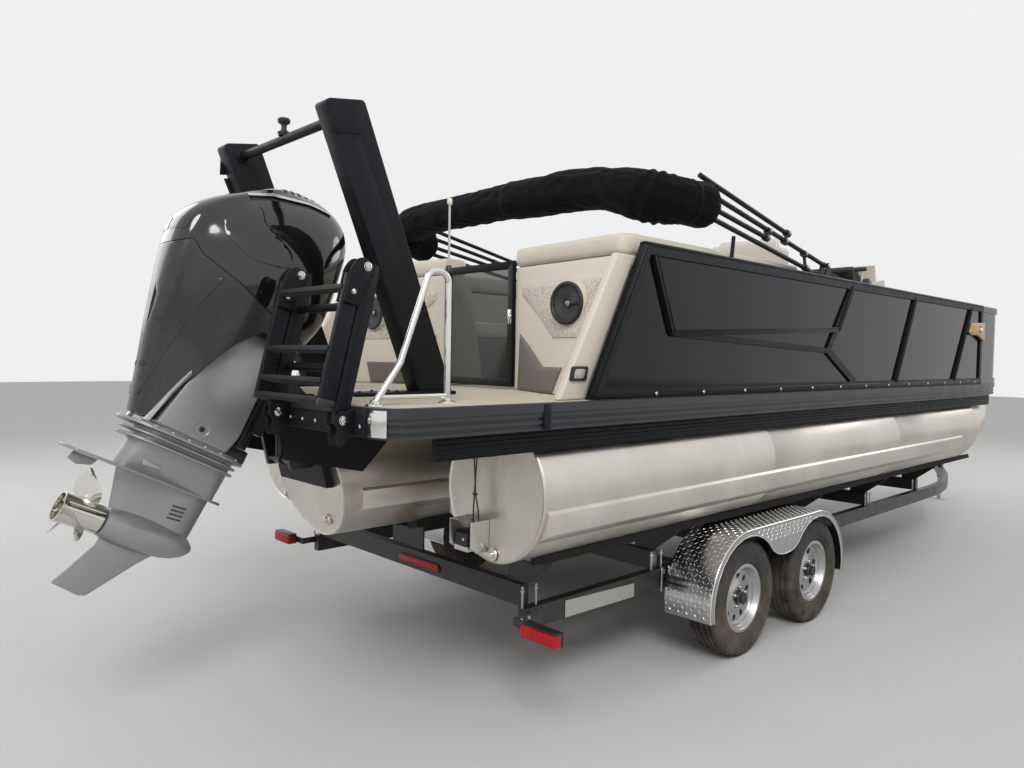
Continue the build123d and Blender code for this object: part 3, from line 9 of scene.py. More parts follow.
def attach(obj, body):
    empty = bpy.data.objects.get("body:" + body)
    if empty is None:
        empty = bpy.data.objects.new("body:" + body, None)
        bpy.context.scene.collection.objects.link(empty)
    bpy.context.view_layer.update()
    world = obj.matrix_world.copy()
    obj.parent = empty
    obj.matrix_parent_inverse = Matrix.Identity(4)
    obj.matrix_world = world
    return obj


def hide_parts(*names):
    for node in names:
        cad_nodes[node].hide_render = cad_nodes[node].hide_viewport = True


bl_info = {
    "name": "Pontoon boat dressing",
    "version": (1, 0, 0),
    "blender": (4, 5, 0),
    "location": "View3D > Sidebar > Boat",
    "description": "Finishes and fine parts for a pontoon boat on a tandem trailer",
    "category": "Object",
}

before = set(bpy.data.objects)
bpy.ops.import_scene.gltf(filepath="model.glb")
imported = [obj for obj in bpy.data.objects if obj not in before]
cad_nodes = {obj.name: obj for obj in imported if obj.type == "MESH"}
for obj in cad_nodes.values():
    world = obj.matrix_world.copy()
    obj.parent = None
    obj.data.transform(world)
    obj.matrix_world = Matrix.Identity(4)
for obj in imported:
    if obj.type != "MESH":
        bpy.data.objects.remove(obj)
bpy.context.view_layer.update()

ROOT = "boat_and_trailer"
STERN = -3.535
TILT_Y = STERN - 0.450
TILT_Z = 1.450
TILT_SIN = sin(radians(27))
TILT_COS = cos(radians(27))
SIDES = (("starboard", 1), ("port", -1))


# ---------------------------------------------------------------- sizes and colours

class BoatSizes(bpy.types.PropertyGroup):
    """Sizes a user may change."""
    log_radius: bpy.props.FloatProperty(name="Log radius", description="Outer radius of a log", default=0.317, unit="LENGTH")
    log_height: bpy.props.FloatProperty(name="Log height", description="Height of a log's axis", default=1.080, unit="LENGTH")
    log_spacing: bpy.props.FloatProperty(
        name="Log spacing", description="Distance of a side log from the centre plane", default=0.959, unit="LENGTH"
    )
    rim_bead: bpy.props.FloatProperty(
        name="Rim bead", description="Height of the weld bead round a log's cap", default=0.004, unit="LENGTH"
    )
    deck_top: bpy.props.FloatProperty(
        name="Deck height", description="Height of the deck's surface", default=1.495, unit="LENGTH"
    )
    stitch_pitch: bpy.props.FloatProperty(
        name="Stitch pitch", description="Distance between stitches", default=0.009, unit="LENGTH"
    )
    boot_radius: bpy.props.FloatProperty(
        name="Boot radius", description="Radius of the folded canopy in its boot", default=0.112, unit="LENGTH"
    )
    tread_pitch: bpy.props.FloatProperty(
        name="Tread plate pitch", description="Distance between the lozenges of the tread plate", default=0.027, unit="LENGTH"
    )
    wheel_radius: bpy.props.FloatProperty(name="Wheel radius", description="Outer radius of a tyre", default=0.328, unit="LENGTH")
    prop_pitch: bpy.props.FloatProperty(
        name="Propeller pitch", description="Advance of a blade in one turn", default=0.43, unit="LENGTH"
    )


class BoatColours(bpy.types.PropertyGroup):
    """Colours a user may change, in linear light."""
    log_metal: bpy.props.FloatVectorProperty(
        name="Logs", description="Weathered mill aluminium", subtype="COLOR", default=(0.68, 0.635, 0.57)
    )
    coat: bpy.props.FloatVectorProperty(
        name="Coated frames", description="Satin black coating", subtype="COLOR", default=(0.0085, 0.0095, 0.0120)
    )
    gloss: bpy.props.FloatVectorProperty(
        name="Gloss panels", description="Gloss black skin", subtype="COLOR", default=(0.004, 0.004, 0.005)
    )
    cream: bpy.props.FloatVectorProperty(
        name="Cream vinyl", description="Main upholstery", subtype="COLOR", default=(0.69, 0.635, 0.535)
    )
    taupe: bpy.props.FloatVectorProperty(
        name="Taupe vinyl", description="Accent upholstery", subtype="COLOR", default=(0.145, 0.118, 0.100)
    )
    deck: bpy.props.FloatVectorProperty(
        name="Deck floor", description="Woven vinyl floor", subtype="COLOR", default=(0.61, 0.55, 0.44)
    )
    canvas: bpy.props.FloatVectorProperty(
        name="Canvas", description="Boot and canopy cloth", subtype="COLOR", default=(0.0035, 0.0037, 0.0048)
    )
    silver: bpy.props.FloatVectorProperty(
        name="Engine silver", description="Metallic enamel of the lower engine", subtype="COLOR", default=(0.33, 0.33, 0.34)
    )
    lamp: bpy.props.FloatVectorProperty(name="Lamp lens", description="Red lens", subtype="COLOR", default=(0.46, 0.003, 0.008))
    gold: bpy.props.FloatVectorProperty(
        name="Gold accent", description="Corner lamp housing", subtype="COLOR", default=(0.50, 0.34, 0.13)
    )
    rubber: bpy.props.FloatVectorProperty(
        name="Tyre rubber", description="Dusty sidewall", subtype="COLOR", default=(0.028, 0.026, 0.024)
    )


def sizes():
    return bpy.context.scene.boat_sizes


def colours():
    return bpy.context.scene.boat_colours


# ---------------------------------------------------------------- finishes

def graph(name):
    """A new material with its Principled shader, and helpers to add nodes."""
    material = bpy.data.materials.new(name)
    material.use_nodes = True
    tree = material.node_tree
    shader = tree.nodes["Principled BSDF"]
    coords = tree.nodes.new("ShaderNodeTexCoord")
    return material, tree, shader, coords


def mapped(tree, source, scale, turn=(0, 0, 0)):
    """Object or UV coordinates through a scale."""
    mapping = tree.nodes.new("ShaderNodeMapping")
    mapping.inputs["Scale"].default_value = scale
    mapping.inputs["Rotation"].default_value = turn
    tree.links.new(source, mapping.inputs["Vector"])
    return mapping.outputs["Vector"]


def noise_field(tree, vector, scale, detail=4.0, rough=0.55):
    node = tree.nodes.new("ShaderNodeTexNoise")
    node.inputs["Scale"].default_value = scale
    node.inputs["Detail"].default_value = detail
    node.inputs["Roughness"].default_value = rough
    tree.links.new(vector, node.inputs["Vector"])
    return node.outputs["Fac"]


def span(tree, source, low, high, start=0.0, end=1.0):
    """A field stretched to a range."""
    node = tree.nodes.new("ShaderNodeMapRange")
    node.inputs["From Min"].default_value = start
    node.inputs["From Max"].default_value = end
    node.inputs["To Min"].default_value = low
    node.inputs["To Max"].default_value = high
    tree.links.new(source, node.inputs["Value"])
    return node.outputs["Result"]


def tint(tree, factor, dark, light):
    """Mixes two colours by a field."""
    node = tree.nodes.new("ShaderNodeMix")
    node.data_type = "RGBA"
    node.inputs[6].default_value = (*dark, 1)
    node.inputs[7].default_value = (*light, 1)
    tree.links.new(factor, node.inputs[0])
    return node.outputs[2]


def raised(tree, shader, height, strength, distance=0.001):
    """Adds a bump to a shader, over what it has."""
    node = tree.nodes.new("ShaderNodeBump")
    node.inputs["Strength"].default_value = strength
    node.inputs["Distance"].default_value = distance
    tree.links.new(height, node.inputs["Height"])
    if shader.inputs["Normal"].is_linked:
        tree.links.new(shader.inputs["Normal"].links[0].from_socket, node.inputs["Normal"])
    tree.links.new(node.outputs["Normal"], shader.inputs["Normal"])


def shade_of(colour, factor):
    return tuple(min(1.0, c * factor) for c in colour)


def plain_coat(
    name, colour, roughness, metallic=0.0, spread=0.12, grain=700.0, bump=0.12, coat=0.0, mottle=6.0, dust=0.0, shine=0.5
):
    """Paint, plastic or metal with slow colour variation, uneven gloss and a fine grain."""
    material, tree, shader, coords = graph(name)
    slow = noise_field(tree, coords.outputs["Object"], mottle)
    tree.links.new(tint(tree, slow, shade_of(colour, 1 - spread), shade_of(colour, 1 + spread)), shader.inputs["Base Color"])
    uneven = noise_field(tree, coords.outputs["Object"], mottle * 3.1, 6.0)
    tree.links.new(span(tree, uneven, roughness * 0.82, min(1.0, roughness * 1.2), 0.25, 0.75), shader.inputs["Roughness"])
    shader.inputs["Metallic"].default_value = metallic
    shader.inputs["Specular IOR Level"].default_value = shine
    if coat:
        shader.inputs["Coat Weight"].default_value = coat
        shader.inputs["Coat Roughness"].default_value = 0.04
    fine = noise_field(tree, coords.outputs["Object"], grain, 2.0)
    raised(tree, shader, fine, bump, 0.0004)
    if dust:
        low = tree.nodes.new("ShaderNodeSeparateXYZ")
        tree.links.new(coords.outputs["Object"], low.inputs["Vector"])
        near_ground = span(tree, low.outputs["Z"], dust, 0.0, 0.25, 0.62)
        patchy = span(tree, noise_field(tree, coords.outputs["Object"], 9.0, 7.0), 0.0, 1.0, 0.35, 0.7)
        share = tree.nodes.new("ShaderNodeMath")
        share.operation = "MULTIPLY"
        tree.links.new(near_ground, share.inputs[0])
        tree.links.new(patchy, share.inputs[1])
        node = tree.nodes.new("ShaderNodeMix")
        node.data_type = "RGBA"
        tree.links.new(share.outputs[0], node.inputs[0])
        tree.links.new(shader.inputs["Base Color"].links[0].from_socket, node.inputs[6])
        node.inputs[7].default_value = (0.17, 0.13, 0.095, 1)
        tree.links.new(node.outputs[2], shader.inputs["Base Color"])
    return material


def brushed_metal(name, colour, roughness, across, depth=0.25, mottle=2.2):
    """Mill or brushed aluminium: fine lines that run one way, over soft stains."""
    material, tree, shader, coords = graph(name)
    lines = noise_field(tree, mapped(tree, coords.outputs["Object"], across), 1.0, 5.0, 0.6)
    stains = noise_field(tree, coords.outputs["Object"], mottle, 6.0, 0.62)
    mixed = tree.nodes.new("ShaderNodeMath")
    mixed.operation = "MULTIPLY_ADD"
    tree.links.new(lines, mixed.inputs[0])
    mixed.inputs[1].default_value = 0.45
    tree.links.new(span(tree, stains, 0.0, 0.6, 0.3, 0.7), mixed.inputs[2])
    tree.links.new(tint(tree, mixed.outputs[0], shade_of(colour, 0.80), shade_of(colour, 1.14)), shader.inputs["Base Color"])
    tree.links.new(span(tree, stains, roughness * 0.8, roughness * 1.3, 0.3, 0.7), shader.inputs["Roughness"])
    shader.inputs["Metallic"].default_value = 1.0
    raised(tree, shader, lines, depth, 0.0006)
    return material


def leather_grain(name, colour, pattern="grain"):
    """Marine vinyl: pebble grain, faint wrinkles and, for the embossed panel, a crackle of lighter cells."""
    material, tree, shader, coords = graph(name)
    slow = noise_field(tree, coords.outputs["Object"], 3.0, 5.0)
    base = tint(tree, slow, shade_of(colour, 0.93), shade_of(colour, 1.06))
    pebble = tree.nodes.new("ShaderNodeTexVoronoi")
    pebble.inputs["Scale"].default_value = 420.0
    tree.links.new(coords.outputs["Object"], pebble.inputs["Vector"])
    if pattern == "embossed":
        cells = tree.nodes.new("ShaderNodeTexVoronoi")
        cells.feature = "DISTANCE_TO_EDGE"
        cells.inputs["Scale"].default_value = 46.0
        tree.links.new(coords.outputs["Object"], cells.inputs["Vector"])
        edge = span(tree, cells.outputs["Distance"], 1.0, 0.0, 0.0, 0.16)
        node = tree.nodes.new("ShaderNodeMix")
        node.data_type = "RGBA"
        tree.links.new(edge, node.inputs[0])
        tree.links.new(base, node.inputs[6])
        node.inputs[7].default_value = (*shade_of(colour, 0.66), 1)
        base = node.outputs[2]
        raised(tree, shader, edge, 0.5, 0.0012)
    tree.links.new(base, shader.inputs["Base Color"])
    tree.links.new(span(tree, slow, 0.42, 0.56), shader.inputs["Roughness"])
    raised(tree, shader, pebble.outputs["Distance"], 0.22, 0.0006)
    raised(tree, shader, noise_field(tree, coords.outputs["Object"], 26.0, 3.0), 0.16, 0.004)
    return material


def woven_cloth(name, colour, scale, rough=0.9, sheen=0.25, depth=0.35, shine=0.5):
    """Two crossing families of threads with slow fading."""
    material, tree, shader, coords = graph(name)
    heights = []
    for turn in ((0, 0, 0), (0, 0, pi / 2)):
        wave = tree.nodes.new("ShaderNodeTexWave")
        wave.inputs["Scale"].default_value = scale
        wave.inputs["Distortion"].default_value = 1.2
        wave.inputs["Detail"].default_value = 1.0
        tree.links.new(mapped(tree, coords.outputs["Object"], (1, 1, 1), turn), wave.inputs["Vector"])
        heights.append(wave.outputs["Fac"])
    both = tree.nodes.new("ShaderNodeMath")
    both.operation = "MULTIPLY"
    tree.links.new(heights[0], both.inputs[0])
    tree.links.new(heights[1], both.inputs[1])
    slow = noise_field(tree, coords.outputs["Object"], 7.0, 6.0)
    added = tree.nodes.new("ShaderNodeMath")
    added.operation = "MULTIPLY_ADD"
    tree.links.new(both.outputs[0], added.inputs[0])
    added.inputs[1].default_value = 0.4
    tree.links.new(span(tree, slow, 0.1, 0.6), added.inputs[2])
    tree.links.new(tint(tree, added.outputs[0], shade_of(colour, 0.78), shade_of(colour, 1.25)), shader.inputs["Base Color"])
    shader.inputs["Specular IOR Level"].default_value = shine
    shader.inputs["Roughness"].default_value = rough
    shader.inputs["Sheen Weight"].default_value = sheen
    shader.inputs["Sheen Roughness"].default_value = 0.4
    raised(tree, shader, both.outputs[0], depth, 0.0008)
    return material


def clear_sheet(name, colour, alpha, roughness=0.05):
    """Tinted glazing."""
    material, tree, shader, coords = graph(name)
    smear = noise_field(tree, coords.outputs["Object"], 5.0, 5.0)
    tree.links.new(tint(tree, smear, shade_of(colour, 0.9), shade_of(colour, 1.1)), shader.inputs["Base Color"])
    tree.links.new(span(tree, smear, roughness, roughness * 2.4, 0.35, 0.7), shader.inputs["Roughness"])
    shader.inputs["Alpha"].default_value = alpha
    return material


FINISH = {}


def mix_finishes():
    """Makes every finish of the boat once."""
    c = colours()
    FINISH.update({
        "log_aluminium": brushed_metal("log_aluminium", c.log_metal, 0.36, (3.0, 90.0, 3.0), 0.18),
        "cap_aluminium": brushed_metal("cap_aluminium", shade_of(c.log_metal, 1.05), 0.33, (30.0, 3.0, 5.0), 0.12, 3.5),
        "bare_aluminium": brushed_metal("bare_aluminium", (0.62, 0.62, 0.61), 0.30, (60.0, 60.0, 6.0), 0.12, 5.0),
        "black_coat": plain_coat("black_coat", c.coat, 0.44, spread=0.10, grain=1100.0, bump=0.22, shine=0.17),
        "rail_black": plain_coat("rail_black", (0.026, 0.029, 0.033), 0.40, spread=0.10, grain=800.0, bump=0.12, mottle=2.0),
        "gloss_black": plain_coat("gloss_black", c.gloss, 0.07, spread=0.05, grain=3.0, bump=0.06, mottle=1.5, shine=0.26),
        "cream_vinyl": leather_grain("cream_vinyl", c.cream),
        "embossed_vinyl": leather_grain("embossed_vinyl", shade_of(c.cream, 0.96), "embossed"),
        "taupe_vinyl": leather_grain("taupe_vinyl", c.taupe),
        "deck_weave": woven_cloth("deck_weave", c.deck, 170.0, 0.75, 0.05, 0.5),
        "canvas": woven_cloth("canvas", c.canvas, 420.0, 0.88, 0.06, 0.3, shine=0.12),
        "carpet": plain_coat("carpet", (0.012, 0.012, 0.013), 1.0, grain=520.0, bump=0.9, spread=0.3, mottle=30.0),
        "mill_beam": brushed_metal("mill_beam", (0.42, 0.42, 0.42), 0.42, (5.0, 40.0, 30.0), 0.12),
        "cowl_satin": plain_coat("cowl_satin", (0.022, 0.024, 0.027), 0.27, spread=0.08, grain=900.0, bump=0.10, coat=0.25),
        "cowl_gloss": plain_coat("cowl_gloss", (0.006, 0.006, 0.007), 0.10, spread=0.05, grain=4.0, bump=0.03, coat=0.8),
        "engine_silver": plain_coat(
            "engine_silver", c.silver, 0.34, metallic=0.55, spread=0.05, grain=1500.0, bump=0.10, mottle=9.0
        ),
        "edge_silver": plain_coat("edge_silver", (0.62, 0.62, 0.62), 0.22, metallic=0.7, spread=0.04, grain=1500.0, bump=0.05),
        "engine_black": plain_coat("engine_black", (0.014, 0.014, 0.015), 0.32, spread=0.1, grain=600.0, bump=0.2),
        "stainless": plain_coat(
            "stainless", (0.66, 0.63, 0.58), 0.10, metallic=1.0, spread=0.04, grain=60.0, bump=0.02, mottle=12.0
        ),
        "polished": plain_coat(
            "polished", (0.78, 0.77, 0.74), 0.16, metallic=1.0, spread=0.05, grain=300.0, bump=0.04, mottle=14.0
        ),
        "trailer_black": plain_coat("trailer_black", (0.013, 0.014, 0.016), 0.34, spread=0.12, grain=420.0, bump=0.25, dust=0.55),
        # tread_plate is darker than the other bare aluminium: painted shade on the sheet between its lozenges
        "tread_plate": plain_coat(
            "tread_plate", (0.52, 0.52, 0.52), 0.22, metallic=1.0, spread=0.08, grain=200.0, bump=0.08, mottle=11.0, dust=0.30
        ),
        "rubber": plain_coat("rubber", c.rubber, 0.78, spread=0.22, grain=380.0, bump=0.45, mottle=12.0, dust=0.75),
        "wheel_silver": plain_coat(
            "wheel_silver", (0.50, 0.50, 0.51), 0.34, metallic=0.8, spread=0.08, grain=500.0, bump=0.12, mottle=16.0, dust=0.25
        ),
        "zinc": plain_coat("zinc", (0.46, 0.46, 0.45), 0.36, metallic=1.0, spread=0.14, grain=260.0, bump=0.2, mottle=18.0),
        "lamp_red": plain_coat("lamp_red", c.lamp, 0.18, spread=0.14, grain=160.0, bump=0.25, mottle=40.0, shine=0.35),
        "black_plastic": plain_coat("black_plastic", (0.017, 0.017, 0.018), 0.46, spread=0.1, grain=1400.0, bump=0.3),
        "dark_cone": plain_coat("dark_cone", (0.05, 0.05, 0.048), 0.5, spread=0.1, grain=900.0, bump=0.4),
        "gold": plain_coat("gold", c.gold, 0.34, metallic=0.75, spread=0.06, grain=900.0, bump=0.1),
        "bare_plate": plain_coat("bare_plate", (0.50, 0.49, 0.45), 0.30, metallic=0.5, spread=0.06, grain=500.0, bump=0.08),
        "gelcoat": plain_coat("gelcoat", shade_of(c.cream, 1.04), 0.16, spread=0.03, grain=30.0, bump=0.02, coat=0.5),
        "smoked_glass": clear_sheet("smoked_glass", (0.030, 0.034, 0.030), 0.58),
        "dark_screen": plain_coat("dark_screen", (0.012, 0.016, 0.018), 0.08, spread=0.1, grain=5.0, bump=0.01, coat=0.5),
    })


# Finish of each CAD node that stays in view
NODE_FINISH = {
    "sounder_leads": "black_plastic",
    "axles": "trailer_black", "bimini_bows": "black_coat", "bimini_brackets": "black_coat",
    "bow_fence_port": "gloss_black", "bow_fence_starboard": "gloss_black", "bow_gate": "black_coat",
    "bunks": "carpet", "clamp_bracket": "engine_black", "coupler": "zinc", "cross_beams": "mill_beam",
    "cross_members": "trailer_black", "deck": "deck_weave", "fence_frame_port": "black_coat",
    "fence_frame_starboard": "black_coat", "fence_panels": "gloss_black", "grab_hoop": "polished",
    "helm_console": "gelcoat", "helm_wheel": "black_plastic", "jack_leg": "zinc", "jack_tube": "trailer_black",
    "ladder_bracket": "black_coat", "ladder_inner": "black_coat", "ladder_outer": "black_coat",
    "rub_rail": "rail_black", "seat_pedestal": "polished", "side_gate": "black_coat", "skirts": "black_coat",
    "stern_gate": "black_coat", "swivel_bracket": "engine_black", "tilt_cylinder": "engine_black",
    "tilt_rod": "stainless", "tow_arch": "black_coat", "trailer_lamps": "lamp_red", "trailer_rails": "trailer_black",
    "transom_pod": "black_coat", "well_plates": "black_coat", "winch_stand": "trailer_black",
    "log_starboard": "log_aluminium", "log_port": "log_aluminium", "log_centre": "log_aluminium",
    "engine_cowl": "cowl_gloss", "engine_midsection": "engine_silver", "propeller": "stainless",
    "fender_port": "tread_plate", "fender_starboard": "tread_plate", "bimini_boot": "canvas",
    "stern_lounger_port": "cream_vinyl", "stern_lounger_starboard": "cream_vinyl",
    "bow_lounge_port": "cream_vinyl", "bow_lounge_starboard": "cream_vinyl", "helm_seat": "cream_vinyl",
    "rim_front_port": "wheel_silver", "rim_front_starboard": "wheel_silver",
    "rim_rear_port": "wheel_silver", "rim_rear_starboard": "wheel_silver",
    "tyre_front_port": "rubber", "tyre_front_starboard": "rubber",
    "tyre_rear_port": "rubber", "tyre_rear_starboard": "rubber",
}


# ---------------------------------------------------------------- building blocks

def engine_point(u, v, x=0.0):
    """A point of the engine from its own forward and up distances, in metres, with x to starboard."""
    return Vector((x, TILT_Y + u * TILT_COS + v * TILT_SIN, TILT_Z - u * TILT_SIN + v * TILT_COS))


def tidy(obj, smooth_angle=35.0):
    """Merges doubles, points the faces outwards and shades smooth up to an angle."""
    bm = bmesh.new()
    bm.from_mesh(obj.data)
    bmesh.ops.remove_doubles(bm, verts=bm.verts, dist=1e-5)
    bmesh.ops.recalc_face_normals(bm, faces=bm.faces)
    bm.to_mesh(obj.data)
    bm.free()
    obj.data.shade_smooth()
    obj.data.set_sharp_from_angle(angle=radians(smooth_angle))
    return obj


def new_piece(name, verts, faces, finish):
    mesh = bpy.data.meshes.new(name)
    mesh.from_pydata([tuple(v) for v in verts], [], faces)
    obj = bpy.data.objects.new(name, mesh)
    bpy.context.scene.collection.objects.link(obj)
    mesh.materials.append(FINISH[finish])
    return obj


def settle(obj):
    """Applies every modifier of a piece."""
    bpy.context.view_layer.update()
    evaluated = obj.evaluated_get(bpy.context.evaluated_depsgraph_get())
    mesh = bpy.data.meshes.new_from_object(evaluated)
    obj.modifiers.clear()
    old = obj.data
    obj.data = mesh
    bpy.data.meshes.remove(old)
    return obj


def rounded(obj, width, segments=2, angle=35.0):
    """Bevels the sharp edges of a piece."""
    modifier = obj.modifiers.new("edges", "BEVEL")
    modifier.width = width
    modifier.segments = segments
    modifier.limit_method = "ANGLE"
    modifier.angle_limit = radians(angle)
    modifier.harden_normals = False
    settle(obj)
    return tidy(obj)


def fasten(obj, body, replaces=()):
    """Rides a piece on its body."""
    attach(obj, body)
    if replaces:
        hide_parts(*replaces)
    return obj


def joined(name, parts):
    """Joins pieces into one mesh, each part keeping its finish."""
    mesh = bpy.data.meshes.new(name)
    bm = bmesh.new()
    finishes = []
    for part in parts:
        start = len(bm.faces)
        bm.from_mesh(part.data)
        bm.faces.ensure_lookup_table()
        local = []
        for material in part.data.materials:
            if material not in finishes:
                finishes.append(material)
            local.append(finishes.index(material))
        for face in bm.faces[start:]:
            face.material_index = local[face.material_index] if local else 0
    bm.to_mesh(mesh)
    bm.free()
    for material in finishes:
        mesh.materials.append(material)
    for part in parts:
        bpy.data.objects.remove(part)
    obj = bpy.data.objects.new(name, mesh)
    bpy.context.scene.collection.objects.link(obj)
    mesh.set_sharp_from_angle(angle=radians(35))
    return obj


def prism(name, outline, place, low, high, finish, bevel=0.0, segments=2):
    """A flat outline of 2-D points, raised between two levels, placed by a function of (a, b, level)."""
    count = len(outline)
    verts = [place(a, b, low) for a, b in outline] + [place(a, b, high) for a, b in outline]
    faces = [tuple(range(count))[::-1], tuple(range(count, 2 * count))]
    faces += [(i, (i + 1) % count, count + (i + 1) % count, count + i) for i in range(count)]
    obj = tidy(new_piece(name, verts, faces, finish))
    return rounded(obj, bevel, segments) if bevel else obj


def block(name, low, high, finish, bevel=0.0, segments=2):
    """A box between two corners."""
    outline = ((low[0], low[1]), (high[0], low[1]), (high[0], high[1]), (low[0], high[1]))
    return prism(name, outline, lambda a, b, c: Vector((a, b, c)), low[2], high[2], finish, bevel, segments)


def skin(name, rings, finish, close=True, capped=True, smooth_angle=35.0):
    """A surface through rings of equal point counts."""
    count = len(rings[0])
    verts = [p for ring in rings for p in ring]
    faces = []
    last = count if close else count - 1
    for k in range(len(rings) - 1):
        for i in range(last):
            j = (i + 1) % count
            faces.append((k * count + i, k * count + j, (k + 1) * count + j, (k + 1) * count + i))
    if capped and close:
        faces.append(tuple(range(count))[::-1])
        faces.append(tuple(range((len(rings) - 1) * count, len(rings) * count)))
    return tidy(new_piece(name, verts, faces, finish), smooth_angle)


def frame_along(points):
    """Directions and a steady pair of cross vectors at each point of a route."""
    result = []
    side = None
    for k, p in enumerate(points):
        a = points[max(0, k - 1)]
        b = points[min(len(points) - 1, k + 1)]
        run = (b - a).normalized()
        if side is None:
            guide = Vector((0, 0, 1)) if abs(run.z) < 0.9 else Vector((1, 0, 0))
            side = run.cross(guide).normalized()
        side = (side - run * side.dot(run)).normalized()
        result.append((p, run, side, run.cross(side)))
    return result


def rod(name, points, radius, finish, sides=16):
    """A round bar along a route, with a radius or one radius for each point."""
    points = [Vector(p) for p in points]
    radii = radius if isinstance(radius, (list, tuple)) else [radius] * len(points)
    rings = []
    for (p, _, side, up), r in zip(frame_along(points), radii):
        rings.append([p + side * r * cos(2 * pi * k / sides) + up * r * sin(2 * pi * k / sides) for k in range(sides)])
    return skin(name, rings, finish)


def turned(name, profile, origin, axis, finish, sides=48, capped=False):
    """A shape turned about an axis: profile of (distance along the axis, radius)."""
    axis = Vector(axis).normalized()
    guide = Vector((0, 0, 1)) if abs(axis.z) < 0.9 else Vector((1, 0, 0))
    side = axis.cross(guide).normalized()
    up = axis.cross(side)
    origin = Vector(origin)
    rings = []
    for along, r in profile:
        r = max(r, 1e-5)
        rings.append([
            origin + axis * along + side * r * cos(2 * pi * k / sides) + up * r * sin(2 * pi * k / sides)
            for k in range(sides)
        ])
    return skin(name, rings, finish, capped=capped)


def blended(points, steps):
    """A smooth line through points, by Catmull-Rom spans."""
    points = [Vector(p) for p in points]
    padded = [points[0] * 2 - points[1], *points, points[-1] * 2 - points[-2]]
    line = []
    for k in range(1, len(padded) - 2):
        a, b, c, d = padded[k - 1:k + 3]
        for s in range(steps):
            t = s / steps
            line.append(0.5 * ((2 * b) + (c - a) * t + (2 * a - 5 * b + 4 * c - d) * t * t + (3 * b - a - 3 * c + d) * t ** 3))
    line.append(points[-1])
    return line


def scatter_tree(shape_finish):
    """Geometry Nodes: puts a shape on each point, turned by the point's own directions."""
    tree = bpy.data.node_groups.new("fastener_rows", "GeometryNodeTree")
    tree.interface.new_socket("Geometry", in_out="INPUT", socket_type="NodeSocketGeometry")
    tree.interface.new_socket("Shape", in_out="INPUT", socket_type="NodeSocketObject")
    tree.interface.new_socket("Size", in_out="INPUT", socket_type="NodeSocketFloat")
    tree.interface.new_socket("Geometry", in_out="OUTPUT", socket_type="NodeSocketGeometry")
    nodes, links = tree.nodes, tree.links
    enter = nodes.new("NodeGroupInput")
    leave = nodes.new("NodeGroupOutput")
    info = nodes.new("GeometryNodeObjectInfo")
    links.new(enter.outputs["Shape"], info.inputs["Object"])
    up = nodes.new("GeometryNodeInputNamedAttribute")
    up.data_type = "FLOAT_VECTOR"
    up.inputs["Name"].default_value = "up_way"
    along = nodes.new("GeometryNodeInputNamedAttribute")
    along.data_type = "FLOAT_VECTOR"
    along.inputs["Name"].default_value = "along_way"
    stand = nodes.new("FunctionNodeAxesToRotation")
    stand.primary_axis = "Z"
    stand.secondary_axis = "X"
    links.new(up.outputs["Attribute"], stand.inputs["Primary Axis"])
    links.new(along.outputs["Attribute"], stand.inputs["Secondary Axis"])
    place = nodes.new("GeometryNodeInstanceOnPoints")
    links.new(enter.outputs["Geometry"], place.inputs["Points"])
    links.new(info.outputs["Geometry"], place.inputs["Instance"])
    links.new(stand.outputs["Rotation"], place.inputs["Rotation"])
    links.new(enter.outputs["Size"], place.inputs["Scale"])
    real = nodes.new("GeometryNodeRealizeInstances")
    links.new(place.outputs["Instances"], real.inputs["Geometry"])
    paint = nodes.new("GeometryNodeSetMaterial")
    paint.inputs["Material"].default_value = FINISH[shape_finish]
    links.new(real.outputs["Geometry"], paint.inputs["Geometry"])
    links.new(paint.outputs["Geometry"], leave.inputs["Geometry"])
    return tree


def scatter(name, spots, shape, finish, body, size=1.0):
    """Puts a small shape at many spots: each spot is (point, up, along)."""
    mesh = bpy.data.meshes.new(name)
    mesh.from_pydata([tuple(p) for p, _, _ in spots], [], [])
    for key, index in (("up_way", 1), ("along_way", 2)):
        attribute = mesh.attributes.new(key, "FLOAT_VECTOR", "POINT")
        attribute.data.foreach_set("vector", [c for spot in spots for c in Vector(spot[index])])
    obj = bpy.data.objects.new(name, mesh)
    bpy.context.scene.collection.objects.link(obj)
    modifier = obj.modifiers.new("rows", "NODES")
    modifier.node_group = scatter_tree(finish)
    for item in modifier.node_group.interface.items_tree:
        if item.in_out == "INPUT" and item.name == "Shape":
            modifier[item.identifier] = shape
        if item.in_out == "INPUT" and item.name == "Size":
            modifier[item.identifier] = size
    settle(obj)
    bpy.data.objects.remove(shape)
    for key in ("up_way", "along_way"):
        found = obj.data.attributes.get(key)
        if found:
            obj.data.attributes.remove(found)
    obj.data.shade_smooth()
    obj.data.set_sharp_from_angle(angle=radians(35))
    return fasten(obj, body)


def bolt_head(radius, height, sides=6):
    """A bolt head on a washer, standing on z = 0."""
    washer = turned(
        "washer", ((0, 0), (0, radius * 1.5), (height * 0.25, radius * 1.5), (height * 0.25, 0)), (0, 0, 0), (0, 0, 1), "zinc", 16
    )
    head = turned(
        "head", ((0, 0), (height * 0.2, radius), (height * 0.85, radius), (height, radius * 0.82), (height, 0)), (0, 0, 0),
        (0, 0, 1), "zinc", sides
    )
    return joined("bolt", [washer, head])


def at(x, y, z):
    """A point from starboard distance, distance ahead of the side logs' caps, and height."""
    return Vector((x, STERN + y, z))


def combine(obj, other, operation):
    """Boolean of two closed pieces; the second is used up."""
    modifier = obj.modifiers.new("cut", "BOOLEAN")
    modifier.operation = operation
    modifier.object = other
    modifier.solver = "EXACT"
    settle(obj)
    bpy.data.objects.remove(other)
    return obj


